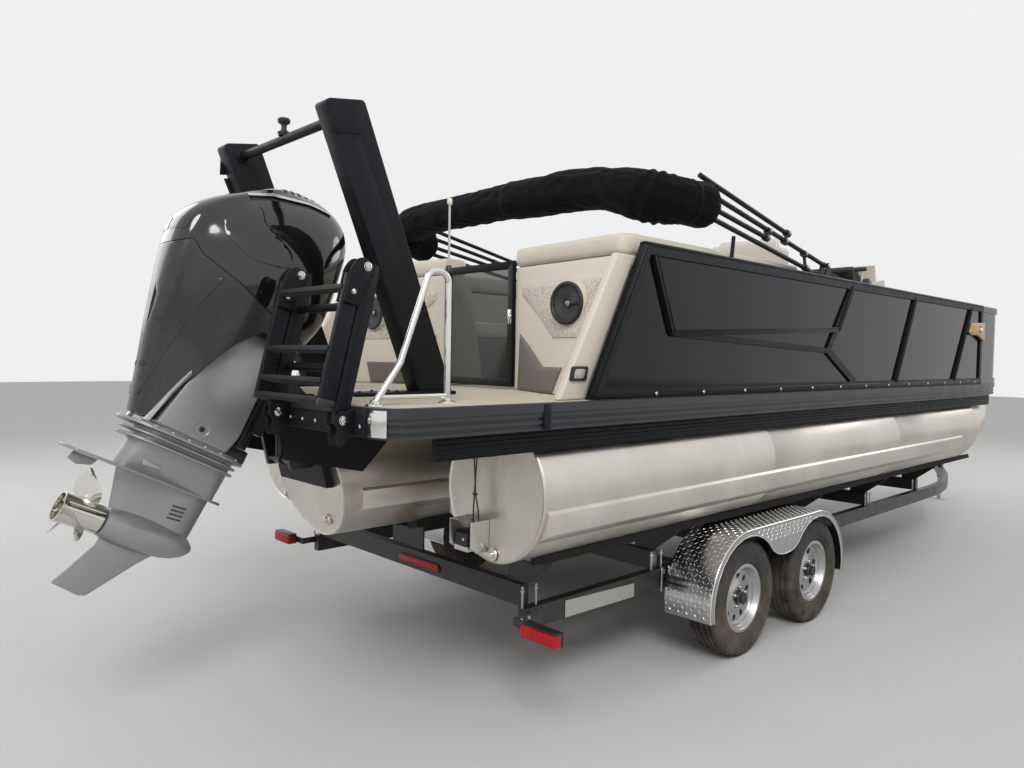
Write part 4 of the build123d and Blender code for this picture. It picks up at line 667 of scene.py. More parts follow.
def ring_rod(name, points, radius, finish, sides=10):
    """A round bar along a closed route."""
    count = len(points)
    rings = []
    side = None
    for k in range(count):
        run = (points[(k + 1) % count] - points[k - 1]).normalized()
        if side is None:
            guide = Vector((0, 0, 1)) if abs(run.z) < 0.9 else Vector((1, 0, 0))
            side = run.cross(guide).normalized()
        side = (side - run * side.dot(run)).normalized()
        up = run.cross(side)
        rings.append([points[k] + side * radius * cos(2 * pi * i / sides) + up * radius * sin(2 * pi * i / sides) for i in range(sides)])
    verts = [p for ring in rings for p in ring]
    faces = []
    for k in range(count):
        m = (k + 1) % count
        for i in range(sides):
            j = (i + 1) % sides
            faces.append((k * sides + i, k * sides + j, m * sides + j, m * sides + i))
    return tidy(new_piece(name, verts, faces, finish), 60)


def stepped(outline, step):
    """A closed outline with points at most a step apart."""
    points = []
    count = len(outline)
    for k in range(count):
        a = Vector(outline[k]).to_2d() if len(outline[k]) > 2 else Vector(outline[k])
        b = Vector(outline[(k + 1) % count])
        parts = max(1, int((b - a).length / step + 0.5))
        points += [a + (b - a) * (i / parts) for i in range(parts)]
    return points


def softened(outline, radius, steps=5):
    """Rounds the corners of a closed outline."""
    points = []
    count = len(outline)
    for k in range(count):
        before, here, after = (Vector(outline[(k + d) % count]) for d in (-1, 0, 1))
        reach = min(radius, (before - here).length * 0.45, (after - here).length * 0.45)
        a = here + (before - here).normalized() * reach
        b = here + (after - here).normalized() * reach
        for i in range(steps + 1):
            t = i / steps
            points.append(a * (1 - t) ** 2 + here * 2 * t * (1 - t) + b * t ** 2)
    return points


def pad(name, outline, place, thick, crown, finish, roll=0.014, rings=7, step=0.022, back=0.006):
    """A padded panel: a rounded edge, then a crown over its outline; place takes (a, b, lift)."""
    loop = stepped(outline, step)
    centre = sum(loop, Vector((0, 0))) / len(loop)
    layers = [[place(p.x, p.y, -back) for p in loop]]
    for j in range(4):
        turn = j / 3 * pi / 2
        layer = []
        for p in loop:
            way = centre - p
            q = p + way.normalized() * min(roll * (1 - cos(turn)), way.length * 0.5)
            layer.append(place(q.x, q.y, thick * sin(turn)))
        layers.append(layer)
    for k in range(1, rings + 1):
        share = 1 - k / rings
        layer = []
        for p in loop:
            way = centre - p
            start = p + way.normalized() * min(roll, way.length * 0.5)
            q = centre + (start - centre) * max(share, 0.004)
            layer.append(place(q.x, q.y, thick + crown * (1 - share ** 2.4)))
        layers.append(layer)
    return skin(name, layers, finish, smooth_angle=60)


def slab(name, low, high, finish, edge=0.04, segments=4):
    """A rounded block of foam, before it is swollen."""
    obj = block(name, low, high, finish)
    return rounded(obj, edge, segments)


def plump(obj, voxel, pressure, cap, extra=1):
    """Swells a closed pad by cloth pressure, limits how far it moves, then smooths it."""
    remesh = obj.modifiers.new("even", "REMESH")
    remesh.mode = "VOXEL"
    remesh.voxel_size = voxel
    settle(obj)
    rest = [v.co.copy() for v in obj.data.vertices]
    cloth = obj.modifiers.new("swell", "CLOTH")
    cloth.settings.quality = 4
    cloth.settings.use_pressure = True
    cloth.settings.uniform_pressure_force = pressure
    cloth.settings.effector_weights.gravity = 0
    cloth.settings.mass = 0.3
    cloth.point_cache.frame_start = 1
    cloth.point_cache.frame_end = 20
    scene = bpy.context.scene
    for k in range(1, 21):
        scene.frame_set(k)
    settle(obj)
    scene.frame_set(1)
    for vert, start in zip(obj.data.vertices, rest):
        move = vert.co - start
        if move.length > cap:
            vert.co = start + move * (cap / move.length)
    if extra:
        smooth = obj.modifiers.new("smooth", "SUBSURF")
        smooth.levels = extra
        smooth.render_levels = extra
        settle(obj)
    obj.data.shade_smooth()
    return obj


# ---------------------------------------------------------------- logs

NOSE = (
    (0.0, 1.0, 0.0), (0.28, 0.90, 0.15), (0.55, 0.74, 0.38), (0.75, 0.57, 0.60), (0.9, 0.4, 0.8), (0.97, 0.27, 0.93),
    (1.0, 0.16, 1.0)
)


def log_skin(name, x, aft, rake):
    """The tube and the cap of one log, welded together."""
    s = sizes()
    r, high, bead = s.log_radius, s.log_height, s.rim_bead
    sides = 120
    start = 5.9

    def ring(y, radius, rise=0.0):
        points = []
        for k in range(sides):
            turn = 2 * pi * k / sides
            dz = radius * sin(turn)
            points.append(at(x + radius * cos(turn), y - (rake * dz if y < aft + 0.4 else 0), high + rise + dz))
        return points

    cap = skin(name + "_cap", [
        ring(aft + 0.0035, 1e-4), ring(aft + 0.003, r * 0.5), ring(aft + 0.002, r - 0.020), ring(aft + 0.0005, r - 0.012),
        ring(aft - bead * 0.4, r - 0.0075), ring(aft - bead, r - 0.0035), ring(aft - bead * 0.4, r + 0.0005), ring(aft + 0.004, r + 0.0008), ring(aft + 0.006, r - 0.004),
    ], "cap_aluminium", capped=False)
    stations = [(aft + 0.005, r - 0.004), (aft + 0.009, r)]
    for weld in (1.96, 3.93, 5.88):
        stations += [(weld - 0.005, r), (weld - 0.002, r + 0.0016), (weld + 0.002, r + 0.0016), (weld + 0.005, r)]
    rings = [ring(y, radius) for y, radius in stations]
    for k in range(1, 25):
        t = k / 24
        j = max(i for i in range(len(NOSE) - 1) if NOSE[i][0] <= t)
        a, b = NOSE[j], NOSE[min(j + 1, len(NOSE) - 1)]
        u = (t - a[0]) / max(b[0] - a[0], 1e-6)
        rings.append(ring(start + 0.98 * t, r * (a[1] + (b[1] - a[1]) * u), 0.205 * (a[2] + (b[2] - a[2]) * u)))
    rings.append(ring(start + 0.986, 1e-4, 0.205))
    body = skin(name + "_body", rings, "log_aluminium", capped=False)
    return [cap, body]


def strake(name, x, turn, aft):
    """A lifting strake: a folded strip welded along the side of a log."""
    r, high = sizes().log_radius, sizes().log_height
    face = (
        (0.925 * r, -0.026), (r * 1.034, -0.052), (r * 1.037, -0.057), (r * 1.037, -0.138), (r * 1.030, -0.145),
        (0.80 * r, -0.60 * r),
    )
    strip = prism(
        name, [(x + turn * a, high + b) for a, b in face], lambda a, b, c: Vector((a, c, b)), STERN + aft + 0.015, STERN + 5.41,
        "log_aluminium", 0.0022
    )
    weld = rod(
        name + "_weld", [at(x + turn * (0.918 * r), y, high - 0.022) for y in (aft + 0.02, 2.7, 5.40)], 0.0045, "log_aluminium",
        10
    )
    return [strip, weld]


class BOAT_OT_logs(bpy.types.Operator):
    """Three welded aluminium logs with caps, strakes and brackets"""
    bl_idname = "boat.logs"
    bl_label = "Logs"

    def execute(self, context):
        s = sizes()
        for name, x, aft, rake in (
            ("starboard", s.log_spacing, 0.0, 0.0), ("port", -s.log_spacing, 0.0, 0.0), ("centre", 0.0, -0.389, 0.258)
        ):
            parts = log_skin("log_" + name, x, aft, rake)
            for turn in (1, -1):
                parts += strake("strake", x, turn, aft + (0.1 if name == "centre" else 0))
            top = s.log_height + s.log_radius - 0.012
            start = aft + (0.14 if name == "centre" else 0.06)
            parts.append(block("riser", at(x - 0.075, start, top), at(x + 0.075, 5.9, 1.405), "mill_beam", 0.004))
            for turn in (1, -1):
                parts.append(rod(
                    "riser_weld", [at(x + turn * 0.079, y, s.log_height + 0.308) for y in (start, 3, 5.9)], 0.004,
                    "log_aluminium", 8
                ))
            plug_y = aft - 0.258 * (0.857 - 1.08) if name == "centre" else 0.0
            plug_at = at(x + 0.10 if name == "centre" else x, plug_y, 0.857 if name == "centre" else 0.80)
            parts.append(turned(
                "drain_plug",
                (
                    (-0.002, 0.0), (-0.002, 0.030), (-0.008, 0.030), (-0.012, 0.026), (-0.012, 0.016), (-0.024, 0.015),
                    (-0.026, 0.012), (-0.026, 0.0)
                ),
                plug_at, (0, 1, 0), "cap_aluminium", 24
            ))
            log = joined("log_skin_" + name, parts)
            fasten(log, ROOT, ("log_" + name,))
        return {"FINISHED"}


# ---------------------------------------------------------------- arch, hoop, deck edge

def side_plate(name, outline, low, high, finish, bevel=0.004, segments=2):
    """A plate in the plane of the boat's side: outline of (y from the caps, z) between two x."""
    return prism(name, outline, lambda a, b, c: at(c, a, b), low, high, finish, bevel, segments)


class BOAT_OT_arch(bpy.types.Operator):
    """Tow arch: two raked box legs on foot plates, cross tube and tow knob"""
    bl_idname = "boat.arch"
    bl_label = "Tow arch"

    def execute(self, context):
        parts = []
        top = sizes().deck_top
        for side, sign in SIDES:
            low, high = sorted((sign * 0.454, sign * 0.565))
            leg = (
                (-0.120, top + 0.012), (0.077, top + 0.012), (-0.432, 2.779), (-0.445, 2.790), (-0.612, 2.760), (-0.625, 2.744)
            )
            parts.append(side_plate("leg", leg, low, high, "black_coat", 0.014, 3))
            # Recessed panel down the outer face, and the seam of the head casting
            outer = sign * 0.565
            near, far = sorted((outer - sign * 0.002, outer + sign * 0.0035))
            panel = ((-0.112, top + 0.03), (0.018, top + 0.03), (-0.462, 2.62), (-0.585, 2.60))
            parts.append(side_plate("leg_panel", panel, near, far, "black_coat", 0.0025, 2))
            parts.append(side_plate(
                "leg_head", ((-0.606, 2.615), (-0.455, 2.637), (-0.442, 2.768), (-0.600, 2.742)), near, far, "black_coat", 0.003,
                2
            ))
            x_low, x_high = sorted((sign * 0.443, sign * 0.577))
            parts.append(block("foot", at(x_low, -0.47, top), at(x_high, 0.09, top + 0.018), "black_coat", 0.006, 2))
        parts.append(rod("bar", [at(x, -0.530, 2.705) for x in (-0.464, 0, 0.464)], 0.022, "black_coat", 28))
        for side, sign in SIDES:
            parts.append(turned(
                "bar_flange", ((0, 0.0), (0, 0.036), (0.006, 0.036), (0.009, 0.026), (0.03, 0.0235)),
                at(sign * 0.453, -0.530, 2.705), (-sign, 0, 0), "black_coat", 32
            ))
        knob = (
            (0.018, 0.0), (0.018, 0.026), (0.030, 0.030), (0.036, 0.030), (0.044, 0.015), (0.058, 0.0125), (0.072, 0.015),
            (0.080, 0.027), (0.086, 0.030), (0.097, 0.030), (0.102, 0.024), (0.104, 0.0)
        )
        parts.append(turned("knob", knob, at(0, -0.530, 2.705), (0, 0, 1), "black_plastic", 36))
        fasten(joined("tow_arch_skin", parts), ROOT, ("tow_arch",))
        spots = []
        for side, sign in SIDES:
            for y in (-0.44, -0.33, -0.24, 0.065):
                for x in ((0.51,) if y > -0.2 else (0.475, 0.545)):
                    spots.append((at(sign * x, y, top + 0.018), (0, 0, 1), (1, 0, 0)))
        scatter("arch_bolts", spots, bolt_head(0.008, 0.007), "black_coat", ROOT)
        return {"FINISHED"}


class BOAT_OT_deck_trim(bpy.types.Operator):
    """Ribbed skirts, stainless corner, seams of the rub rail, the grab hoop's fittings and the stern light"""
    bl_idname = "boat.deck_trim"
    bl_label = "Deck edge"

    def execute(self, context):
        top = sizes().deck_top
        for side, sign in SIDES:
            face = 1.242 * sign
            outline = [(1.214 * sign, 1.290), (face, 1.290)]
            ribs = 5
            pitch = 0.094 / ribs
            for k in range(ribs):
                z = 1.290 + k * pitch
                outline += [
                    (face, z + pitch * 0.18), (face - 0.006 * sign, z + pitch * 0.34), (face - 0.006 * sign, z + pitch * 0.80),
                    (face, z + pitch * 0.94)
                ]
            outline += [(face, 1.384), (1.214 * sign, 1.384)]
            parts = []
            for start, stop in ((-0.55, 2.098), (2.102, 4.698), (4.702, 6.35)):
                parts.append(prism(
                    "skirt", outline, lambda a, b, c: Vector((a, c, b)), STERN + start, STERN + stop, "black_coat"
                ))
            fasten(joined("skirt_ribbed_" + side, parts), ROOT)
            # Joint of the rub rail, with its cover strip
            cover = block(
                "rail_joint", at(1.288 if sign > 0 else -1.2925, -0.032, 1.386), at(1.2925 if sign > 0 else -1.288, 0.010, 1.493),
                "black_coat", 0.0015
            )
            fasten(cover, ROOT)
        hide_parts("skirts")
        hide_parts("skirts")
        # Polished corner of the swim deck, beside the ladder
        corner = []
        for x, y in ((1.150, -0.7935), (1.190, -0.7935), (1.212, -0.7905), (1.232, -0.7835), (1.246, -0.7745)):
            corner.append([at(x, y, 1.392), at(x, y, 1.488), at(x, y + 0.003, 1.488), at(x, y + 0.003, 1.392)])
        fasten(rounded(skin("corner_plate", corner, "polished"), 0.001, 2), ROOT)
        hoop_parts = []
        for y in (-0.718, -0.377):
            hoop_parts.append(turned(
                "flange", ((0, 0), (0, 0.035), (0.004, 0.0345), (0.009, 0.020), (0.014, 0.0150), (0.020, 0.0145)),
                at(1.085, y, top + 0.0005), (0, 0, 1), "polished", 32
            ))
        fasten(joined("hoop_flanges", hoop_parts), ROOT)
        pole_top = 2.280
        light = [
            rod("staff", [at(1.085, -0.377, 2.018), at(1.085, -0.377, pole_top)], 0.0045, "bare_plate", 12),
            turned(
                "socket", ((0, 0), (0, 0.013), (0.016, 0.012), (0.022, 0.008), (0.022, 0.0045)), at(1.085, -0.377, 2.018),
                (0, 0, 1), "black_plastic", 20
            ),
            turned(
                "lamp", ((0, 0), (0, 0.008), (0.004, 0.0105), (0.020, 0.0105), (0.024, 0.008), (0.026, 0)),
                at(1.085, -0.377, pole_top - 0.002), (0, 0, 1), "gelcoat", 20
            ),
        ]
        fasten(joined("stern_light", light), ROOT)
        spots = []
        for y in (-0.718, -0.377):
            for k in range(3):
                turn = 2 * pi * k / 3 + 0.5
                spots.append((at(1.085 + 0.026 * cos(turn), y + 0.026 * sin(turn), top + 0.005), (0, 0, 1), (1, 0, 0)))
        scatter("hoop_screws", spots, bolt_head(0.0035, 0.002, 12), "polished", ROOT)
        # Screws of the skirts, in a row under the rub rail
        spots = [(at(sign * 1.2355, -0.45 + 0.4 * k, 1.337), (sign, 0, 0), (0, 1, 0)) for side, sign in SIDES for k in range(17)]
        scatter("skirt_screws", spots, bolt_head(0.004, 0.0025, 12), "black_coat", ROOT)
        return {"FINISHED"}


# ---------------------------------------------------------------- engine

# Level sections of the cowl: height, aft end, front end, half width, in the engine's own frame
COWL_LEVELS = (
    (-0.372, -0.690, -0.330, 0.118), (-0.180, -0.745, -0.270, 0.138), (0.0, -0.800, -0.210, 0.166),
    (0.175, -0.846, -0.150, 0.226), (0.340, -0.886, -0.112, 0.274), (0.480, -0.897, -0.122, 0.282),
    (0.600, -0.834, -0.134, 0.264), (0.720, -0.716, -0.152, 0.226), (0.820, -0.604, -0.200, 0.168),
    (0.874, -0.500, -0.280, 0.104), (0.895, -0.440, -0.350, 0.034),
)
COWL_PLAN = ((0, 0), (0.035, 0.42), (0.13, 0.55), (0.26, 0.71), (0.45, 0.92), (0.64, 1), (0.82, 0.95), (0.95, 0.7), (1, 0))


def smooth_row(rows, t):
    """Catmull-Rom value of rows of equal length at a place t counted in rows."""
    k = min(int(t), len(rows) - 2)
    u = t - k
    a, b, c, d = (rows[max(0, min(len(rows) - 1, k + j))] for j in (-1, 0, 1, 2))
    return [
        0.5 * ((2 * q) + (r - p) * u + (2 * p - 5 * q + 4 * r - w) * u * u + (3 * q - p - 3 * r + w) * u ** 3) for p, q, r,
        w in zip(a, b, c, d)
    ]


def cowl_ring(level, grow=0.0):
    """One level section of the cowl as points, from the aft end round by starboard."""
    height, aft, front, half = level
    steps = 6
    right = []
    last = len(COWL_PLAN) - 1
    for k in range(last * steps):
        reach, share = smooth_row(COWL_PLAN, k / steps)
        if k < steps:
            share = 0.42 * sqrt(k / steps) ** 1.15
        elif k >= (last - 1) * steps:
            share = 0.7 * sqrt(max(0.0, 1 - (k - (last - 1) * steps) / steps))
        right.append((max(share, 0.0) * (half + grow), aft - grow + reach * (front - aft + 2 * grow)))
    right.append((0.0, front + grow))
    left = [(-x, u) for x, u in reversed(right[1:-1])]
    return [engine_point(u, height, x) for x, u in right + left]


def cowl_solid(name, finish, grow=0.0, low=0.0, high=10.0, levels=56):
    """The closed form of the cowl between two places counted in level rows."""
    top = len(COWL_LEVELS) - 1
    high = min(high, top)
    rings = []
    for k in range(levels + 1):
        t = low + (high - low) * k / levels
        rings.append(cowl_ring(smooth_row(COWL_LEVELS, t), grow))
    return skin(name, rings, finish, smooth_angle=50)


def engine_prism(name, outline, low, high, finish, bevel=0.0):
    """A side outline of the engine (forward, up), raised across it."""
    return prism(name, outline, lambda a, b, c: engine_point(a, b, c), low, high, finish, bevel)


# Place of the swivel bracket under the cowl, left open
COWL_MOUTH = (
    (-0.612, -0.400), (-0.612, -0.372), (-0.568, -0.180), (-0.470, 0.062), (-0.402, 0.160), (-0.332, 0.175), (0.0, 0.175),
    (0.0, -0.400)
)
# Seam between the satin lower cowl and the gloss upper cowl
COWL_SEAM = (
    (-1.0, 0.300), (-0.917, 0.311), (-0.825, 0.384), (-0.765, 0.340), (-0.600, 0.300), (-0.461, 0.254), (-0.30, 0.215),
    (0.10, 0.190)
)


class BOAT_OT_cowl(bpy.types.Operator):
    """Engine cowl in two skins with seam, side panels, vents and crown grille"""
    bl_idname = "boat.cowl"
    bl_label = "Engine cowl"

    def execute(self, context):
        parts = []
        below = [(a, b - 0.0022) for a, b in COWL_SEAM]
        above = [(a, b + 0.0022) for a, b in COWL_SEAM]
        lower = cowl_solid("lower", "cowl_satin")
        combine(lower, engine_prism("cut", below + [(0.10, 1.2), (-1.0, 1.2)], -0.5, 0.5, "cowl_satin"), "DIFFERENCE")
        combine(lower, engine_prism("mouth", COWL_MOUTH, -0.5, 0.5, "engine_black"), "DIFFERENCE")
        upper = cowl_solid("upper", "cowl_gloss")
        combine(upper, engine_prism("cut", above + [(0.10, -0.6), (-1.0, -0.6)], -0.5, 0.5, "cowl_gloss"), "DIFFERENCE")
        core = cowl_solid("core", "engine_black", grow=-0.009)
        combine(core, engine_prism("mouth", COWL_MOUTH, -0.5, 0.5, "engine_black"), "DIFFERENCE")

        # Side panel of the upper cowl, raised over its own groove
        panel = (
            (-0.727, 0.641), (-0.666, 0.675), (-0.625, 0.655), (-0.603, 0.592), (-0.468, 0.530), (-0.436, 0.469), (-0.470, 0.440),
            (-0.60, 0.41), (-0.735, 0.46), (-0.775, 0.56)
        )
        groove = softened([Vector(p) for p in panel], 0.03)
        for sign in (1, -1):
            low, high = sorted((sign * 0.05, sign * 0.5))
            ring = cowl_solid("ring", "cowl_gloss", grow=0.0035)
            tool = engine_prism("tool", [tuple(p) for p in groove], low, high, "cowl_gloss")
            combine(ring, tool, "INTERSECT")
            parts.append(rounded(ring, 0.002, 2, 60))
            # Air intake with a bright strip under the crown
            strip = (
                (-0.700, 0.700), (-0.600, 0.765), (-0.445, 0.822), (-0.330, 0.842), (-0.328, 0.852), (-0.445, 0.836),
                (-0.605, 0.780), (-0.703, 0.713)
            )
            bright = cowl_solid("bright", "edge_silver", grow=0.003)
            combine(bright, engine_prism("tool", strip, low, high, "edge_silver"), "INTERSECT")
            parts.append(bright)
            slot_line = (
                (-0.690, 0.674), (-0.600, 0.738), (-0.450, 0.793), (-0.335, 0.815), (-0.333, 0.838), (-0.445, 0.818),
                (-0.600, 0.761), (-0.698, 0.696)
            )
            combine(upper, engine_prism("slot", slot_line, low, high, "cowl_gloss"), "DIFFERENCE")
            # Latch recess and bare round places of the lower cowl
            latch = ((-0.886, 0.150), (-0.849, 0.178), (-0.821, 0.115), (-0.795, -0.003), (-0.835, -0.026), (-0.851, 0.089))
            combine(
                lower, engine_prism("latch", latch, sign * 0.02 if sign > 0 else -0.5, 0.5 if sign > 0 else -0.02, "cowl_satin"),
                "DIFFERENCE"
            )
            rib = ((-0.654, 0.280), (-0.668, 0.280), (-0.700, 0.100), (-0.716, -0.324), (-0.702, -0.324), (-0.684, 0.100))
            crease = cowl_solid("crease", "cowl_satin", grow=0.004)
            combine(crease, engine_prism("tool", rib, low, high, "cowl_satin"), "INTERSECT")
            parts.append(rounded(crease, 0.0015, 2, 60))
        # Louvres across the crown
        for k in range(6):
            u = -0.56 + 0.034 * k
            top = cowl_solid("louvre", "black_plastic", grow=0.005)
            combine(
                top,
                engine_prism(
                    "tool", ((u, 0.7), (u + 0.016, 0.7), (u + 0.022, 0.95), (u + 0.006, 0.95)), -0.085, 0.085, "black_plastic"
                ),
                "INTERSECT"
            )
            parts.append(top)
        parts += [rounded(lower, 0.0012, 1, 60), rounded(upper, 0.0012, 1, 60), core]
        cowl = joined("cowl_skin", parts)
        cowl.data.set_sharp_from_angle(angle=radians(32))
        fasten(cowl, "engine", ("engine_cowl",))

        bare = []
        for u, v, r in ((-0.894, 0.430, 0.030), (-0.749, 0.288, 0.036)):
            for sign in (1, -1):
                disc = cowl_solid("disc", "cowl_gloss", grow=0.0022)
                ring = [(u + r * cos(2 * pi * k / 28), v + r * sin(2 * pi * k / 28)) for k in range(28)]
                low, high = sorted((sign * 0.01, sign * 0.5))
                combine(disc, engine_prism("tool", ring, low, high, "cowl_gloss"), "INTERSECT")
                bare.append(disc)
        screws = []
        for u, v in ((-0.797, 0.198), (-0.774, 0.017), (-0.742, -0.176), (-0.602, 0.133), (-0.712, -0.361)):
            for sign in (1, -1):
                low, high = sorted((sign * 0.02, sign * 0.5))
                screw = cowl_solid("screw", "black_plastic", grow=0.0016, levels=40)
                ring = [(u + 0.011 * cos(2 * pi * k / 14), v + 0.011 * sin(2 * pi * k / 14)) for k in range(14)]
                combine(screw, engine_prism("tool", ring, low, high, "black_plastic"), "INTERSECT")
                screws.append(screw)
        fasten(joined("cowl_details", bare + screws), "engine")
        return {"FINISHED"}


def slot_ring(level, aft, front, half, steps=9):
    """A level ring with round ends, longer than it is wide."""
    points = []
    for sign, centre in ((1, front - half), (-1, aft + half)):
        for k in range(steps + 1):
            turn = pi * k / steps
            points.append((sign * half * cos(turn), centre + sign * half * sin(turn)))
    return [engine_point(u, level, x) for x, u in points]


def plate_ring(name, level, thick, aft, front, half, finish, lip=0.004):
    """A flat flange round the leg with a soft edge."""
    rings = [
        slot_ring(level, aft + lip, front - lip, half - lip), slot_ring(level + lip * 0.5, aft, front, half),
        slot_ring(level + thick - lip * 0.5, aft, front, half), slot_ring(level + thick, aft + lip, front - lip, half - lip),
    ]
    return skin(name, rings, finish)


class BOAT_OT_leg(bpy.types.Operator):
    """Silver mid section, splash rings, plate, gearcase and skeg"""
    bl_idname = "boat.leg"
    bl_label = "Engine leg"

    def execute(self, context):
        silver = "engine_silver"
        parts = []
        # Mid section panel inside the cowl's mouth
        side = [Vector(p) for p in (
            (-0.600, -0.388), (-0.562, -0.180), (-0.468, 0.060), (-0.398, 0.154), (-0.345, 0.167), (-0.250, 0.166),
            (-0.238, 0.120), (-0.236, -0.300), (-0.262, -0.388)
        )]
        outline = [tuple(p) for p in softened(side, 0.02, 4)]
        parts.append(engine_prism("mid", outline, -0.116, 0.116, silver, 0.016))
        edge = (
            (-0.652, -0.389), (-0.612, -0.246), (-0.522, 0.028), (-0.458, 0.120), (-0.408, 0.152), (-0.400, 0.143),
            (-0.447, 0.108), (-0.508, 0.020), (-0.598, -0.250), (-0.630, -0.389)
        )
        for sign in (1, -1):
            low, high = sorted((sign * 0.100, sign * 0.124))
            parts.append(engine_prism("mid_edge", edge, low, high, "edge_silver", 0.003))
            # Bolt recess
            centre = engine_point(-0.411, -0.330, sign * 0.1155)
            parts.append(turned(
                "recess", ((0, 0.040), (0.0025, 0.040), (0.0025, 0.034), (-0.001, 0.030), (-0.001, 0)), centre, (sign, 0, 0),
                silver, 32
            ))
            parts.append(turned(
                "recess_bolt", ((-0.001, 0.0), (-0.001, 0.013), (0.006, 0.013), (0.0075, 0.011), (0.0075, 0)), centre,
                (sign, 0, 0), "engine_black", 6
            ))
        for low, high in ((0.101, 0.161), (-0.398, -0.336)):
            ring = [(-0.315, low), (-0.315, high), (-0.145, high), (-0.145, low)]
            parts.append(engine_prism("mount", ring, -0.074, 0.074, "engine_black", 0.008))
        # Exhaust housing from the splash ring to the plate
        rings = []
        for k in range(13):
            t = k / 12
            swell = sin(pi * t) * 0.006
            rings.append(slot_ring(-0.385 - 0.213 * t, -0.630 - 0.020 * t, -0.170 - 0.010 * t, 0.115 - 0.060 * t + swell))
        parts.append(skin("housing", rings, silver))
        parts.append(plate_ring("splash_upper", -0.412, 0.014, -0.720, -0.130, 0.165, silver))
        parts.append(plate_ring("splash_middle", -0.440, 0.010, -0.690, -0.150, 0.148, silver))
        parts.append(plate_ring("splash_lower", -0.470, 0.012, -0.697, -0.152, 0.140, silver))
        # Plate over the propeller
        plan = [
            (-0.055, -0.240), (-0.042, -0.175), (0.0, -0.131), (0.042, -0.175), (0.055, -0.240), (0.085, -0.380), (0.120, -0.560),
            (0.117, -0.700), (0.105, -0.820), (0.070, -0.850), (0.0, -0.864), (-0.070, -0.850), (-0.105, -0.820),
            (-0.117, -0.700), (-0.120, -0.560), (-0.085, -0.380)
        ]
        plate = prism("plate", plan, lambda a, b, c: engine_point(b, c, a), -0.604, -0.592, silver, 0.003)
        parts.append(plate)
        fin = ((-0.700, -0.606), (-0.800, -0.606), (-0.812, -0.640), (-0.770, -0.652), (-0.715, -0.635))
        parts.append(engine_prism("trim_tab", fin, -0.006, 0.006, silver, 0.003))
        # Gearcase leg
        rings = []
        for k in range(15):
            t = k / 14
            level = -0.598 - 0.230 * t
            nose = -0.190 - 0.015 * t
            tail = -0.625 + 0.069 * t
            wide = 0.042 - 0.002 * t + 0.012 * max(0.0, t - 0.6)
            loop = []
            for sign in (1, -1):
                for i in range(12):
                    s = i / 12 if sign > 0 else 1 - i / 12
                    loop.append((
                        sign * wide * min(1.0, 1.9 * sqrt(max(s, 0.0))) * (1 - s) ** 0.45 * 1.25, nose + (tail - nose) * s
                    ))
            rings.append([engine_point(u, level, x) for x, u in loop])
        parts.append(skin("strut", rings, silver, smooth_angle=50))
        bullet = (
            (0.408, 0.0), (0.404, 0.010), (0.395, 0.022), (0.370, 0.042), (0.330, 0.060), (0.280, 0.071), (0.210, 0.077),
            (0.140, 0.078), (0.070, 0.074), (0.020, 0.066), (0.0, 0.062), (-0.002, 0.058), (-0.002, 0.0)
        )
        ahead = engine_point(1, 0) - engine_point(0, 0)
        parts.append(turned("gearcase", bullet, engine_point(-0.570, -0.828), ahead, silver, 56))
        skeg = (
            (-0.300, -0.885), (-0.361, -0.953), (-0.490, -1.126), (-0.520, -1.133), (-0.637, -1.113), (-0.600, -1.030),
            (-0.551, -0.926), (-0.550, -0.880)
        )
        parts.append(engine_prism("skeg", skeg, -0.0065, 0.0065, silver, 0.004))
        for sign in (1, -1):
            # Water intake and the anode
            low, high = sorted((sign * 0.036, sign * 0.047))
            for k in range(4):
                v = -0.665 - 0.018 * k
                parts.append(engine_prism(
                    "intake", ((-0.285, v), (-0.345, v - 0.004), (-0.345, v - 0.010), (-0.285, v - 0.006)), low, high,
                    "engine_black"
                ))
            low, high = sorted((sign * 0.088, sign * 0.097))
            parts.append(engine_prism(
                "anode", ((-0.560, -0.560), (-0.480, -0.556), (-0.480, -0.532), (-0.560, -0.536)),
                sorted((sign * 0.060, sign * 0.078))[0], sorted((sign * 0.060, sign * 0.078))[1], "zinc", 0.004
            ))
        fasten(joined("leg_skin", parts), "engine", ("engine_midsection",))
        spots = []
        down = engine_point(0, 0, 0) - engine_point(0, 1, 0)
        for k in range(6):
            for sign in (1, -1):
                spots.append((engine_point(-0.60 + 0.075 * k, -0.398, sign * 0.150), -down, Vector((1, 0, 0))))
        scatter("splash_bolts", spots, bolt_head(0.007, 0.007), "stainless", "engine")
        return {"FINISHED"}


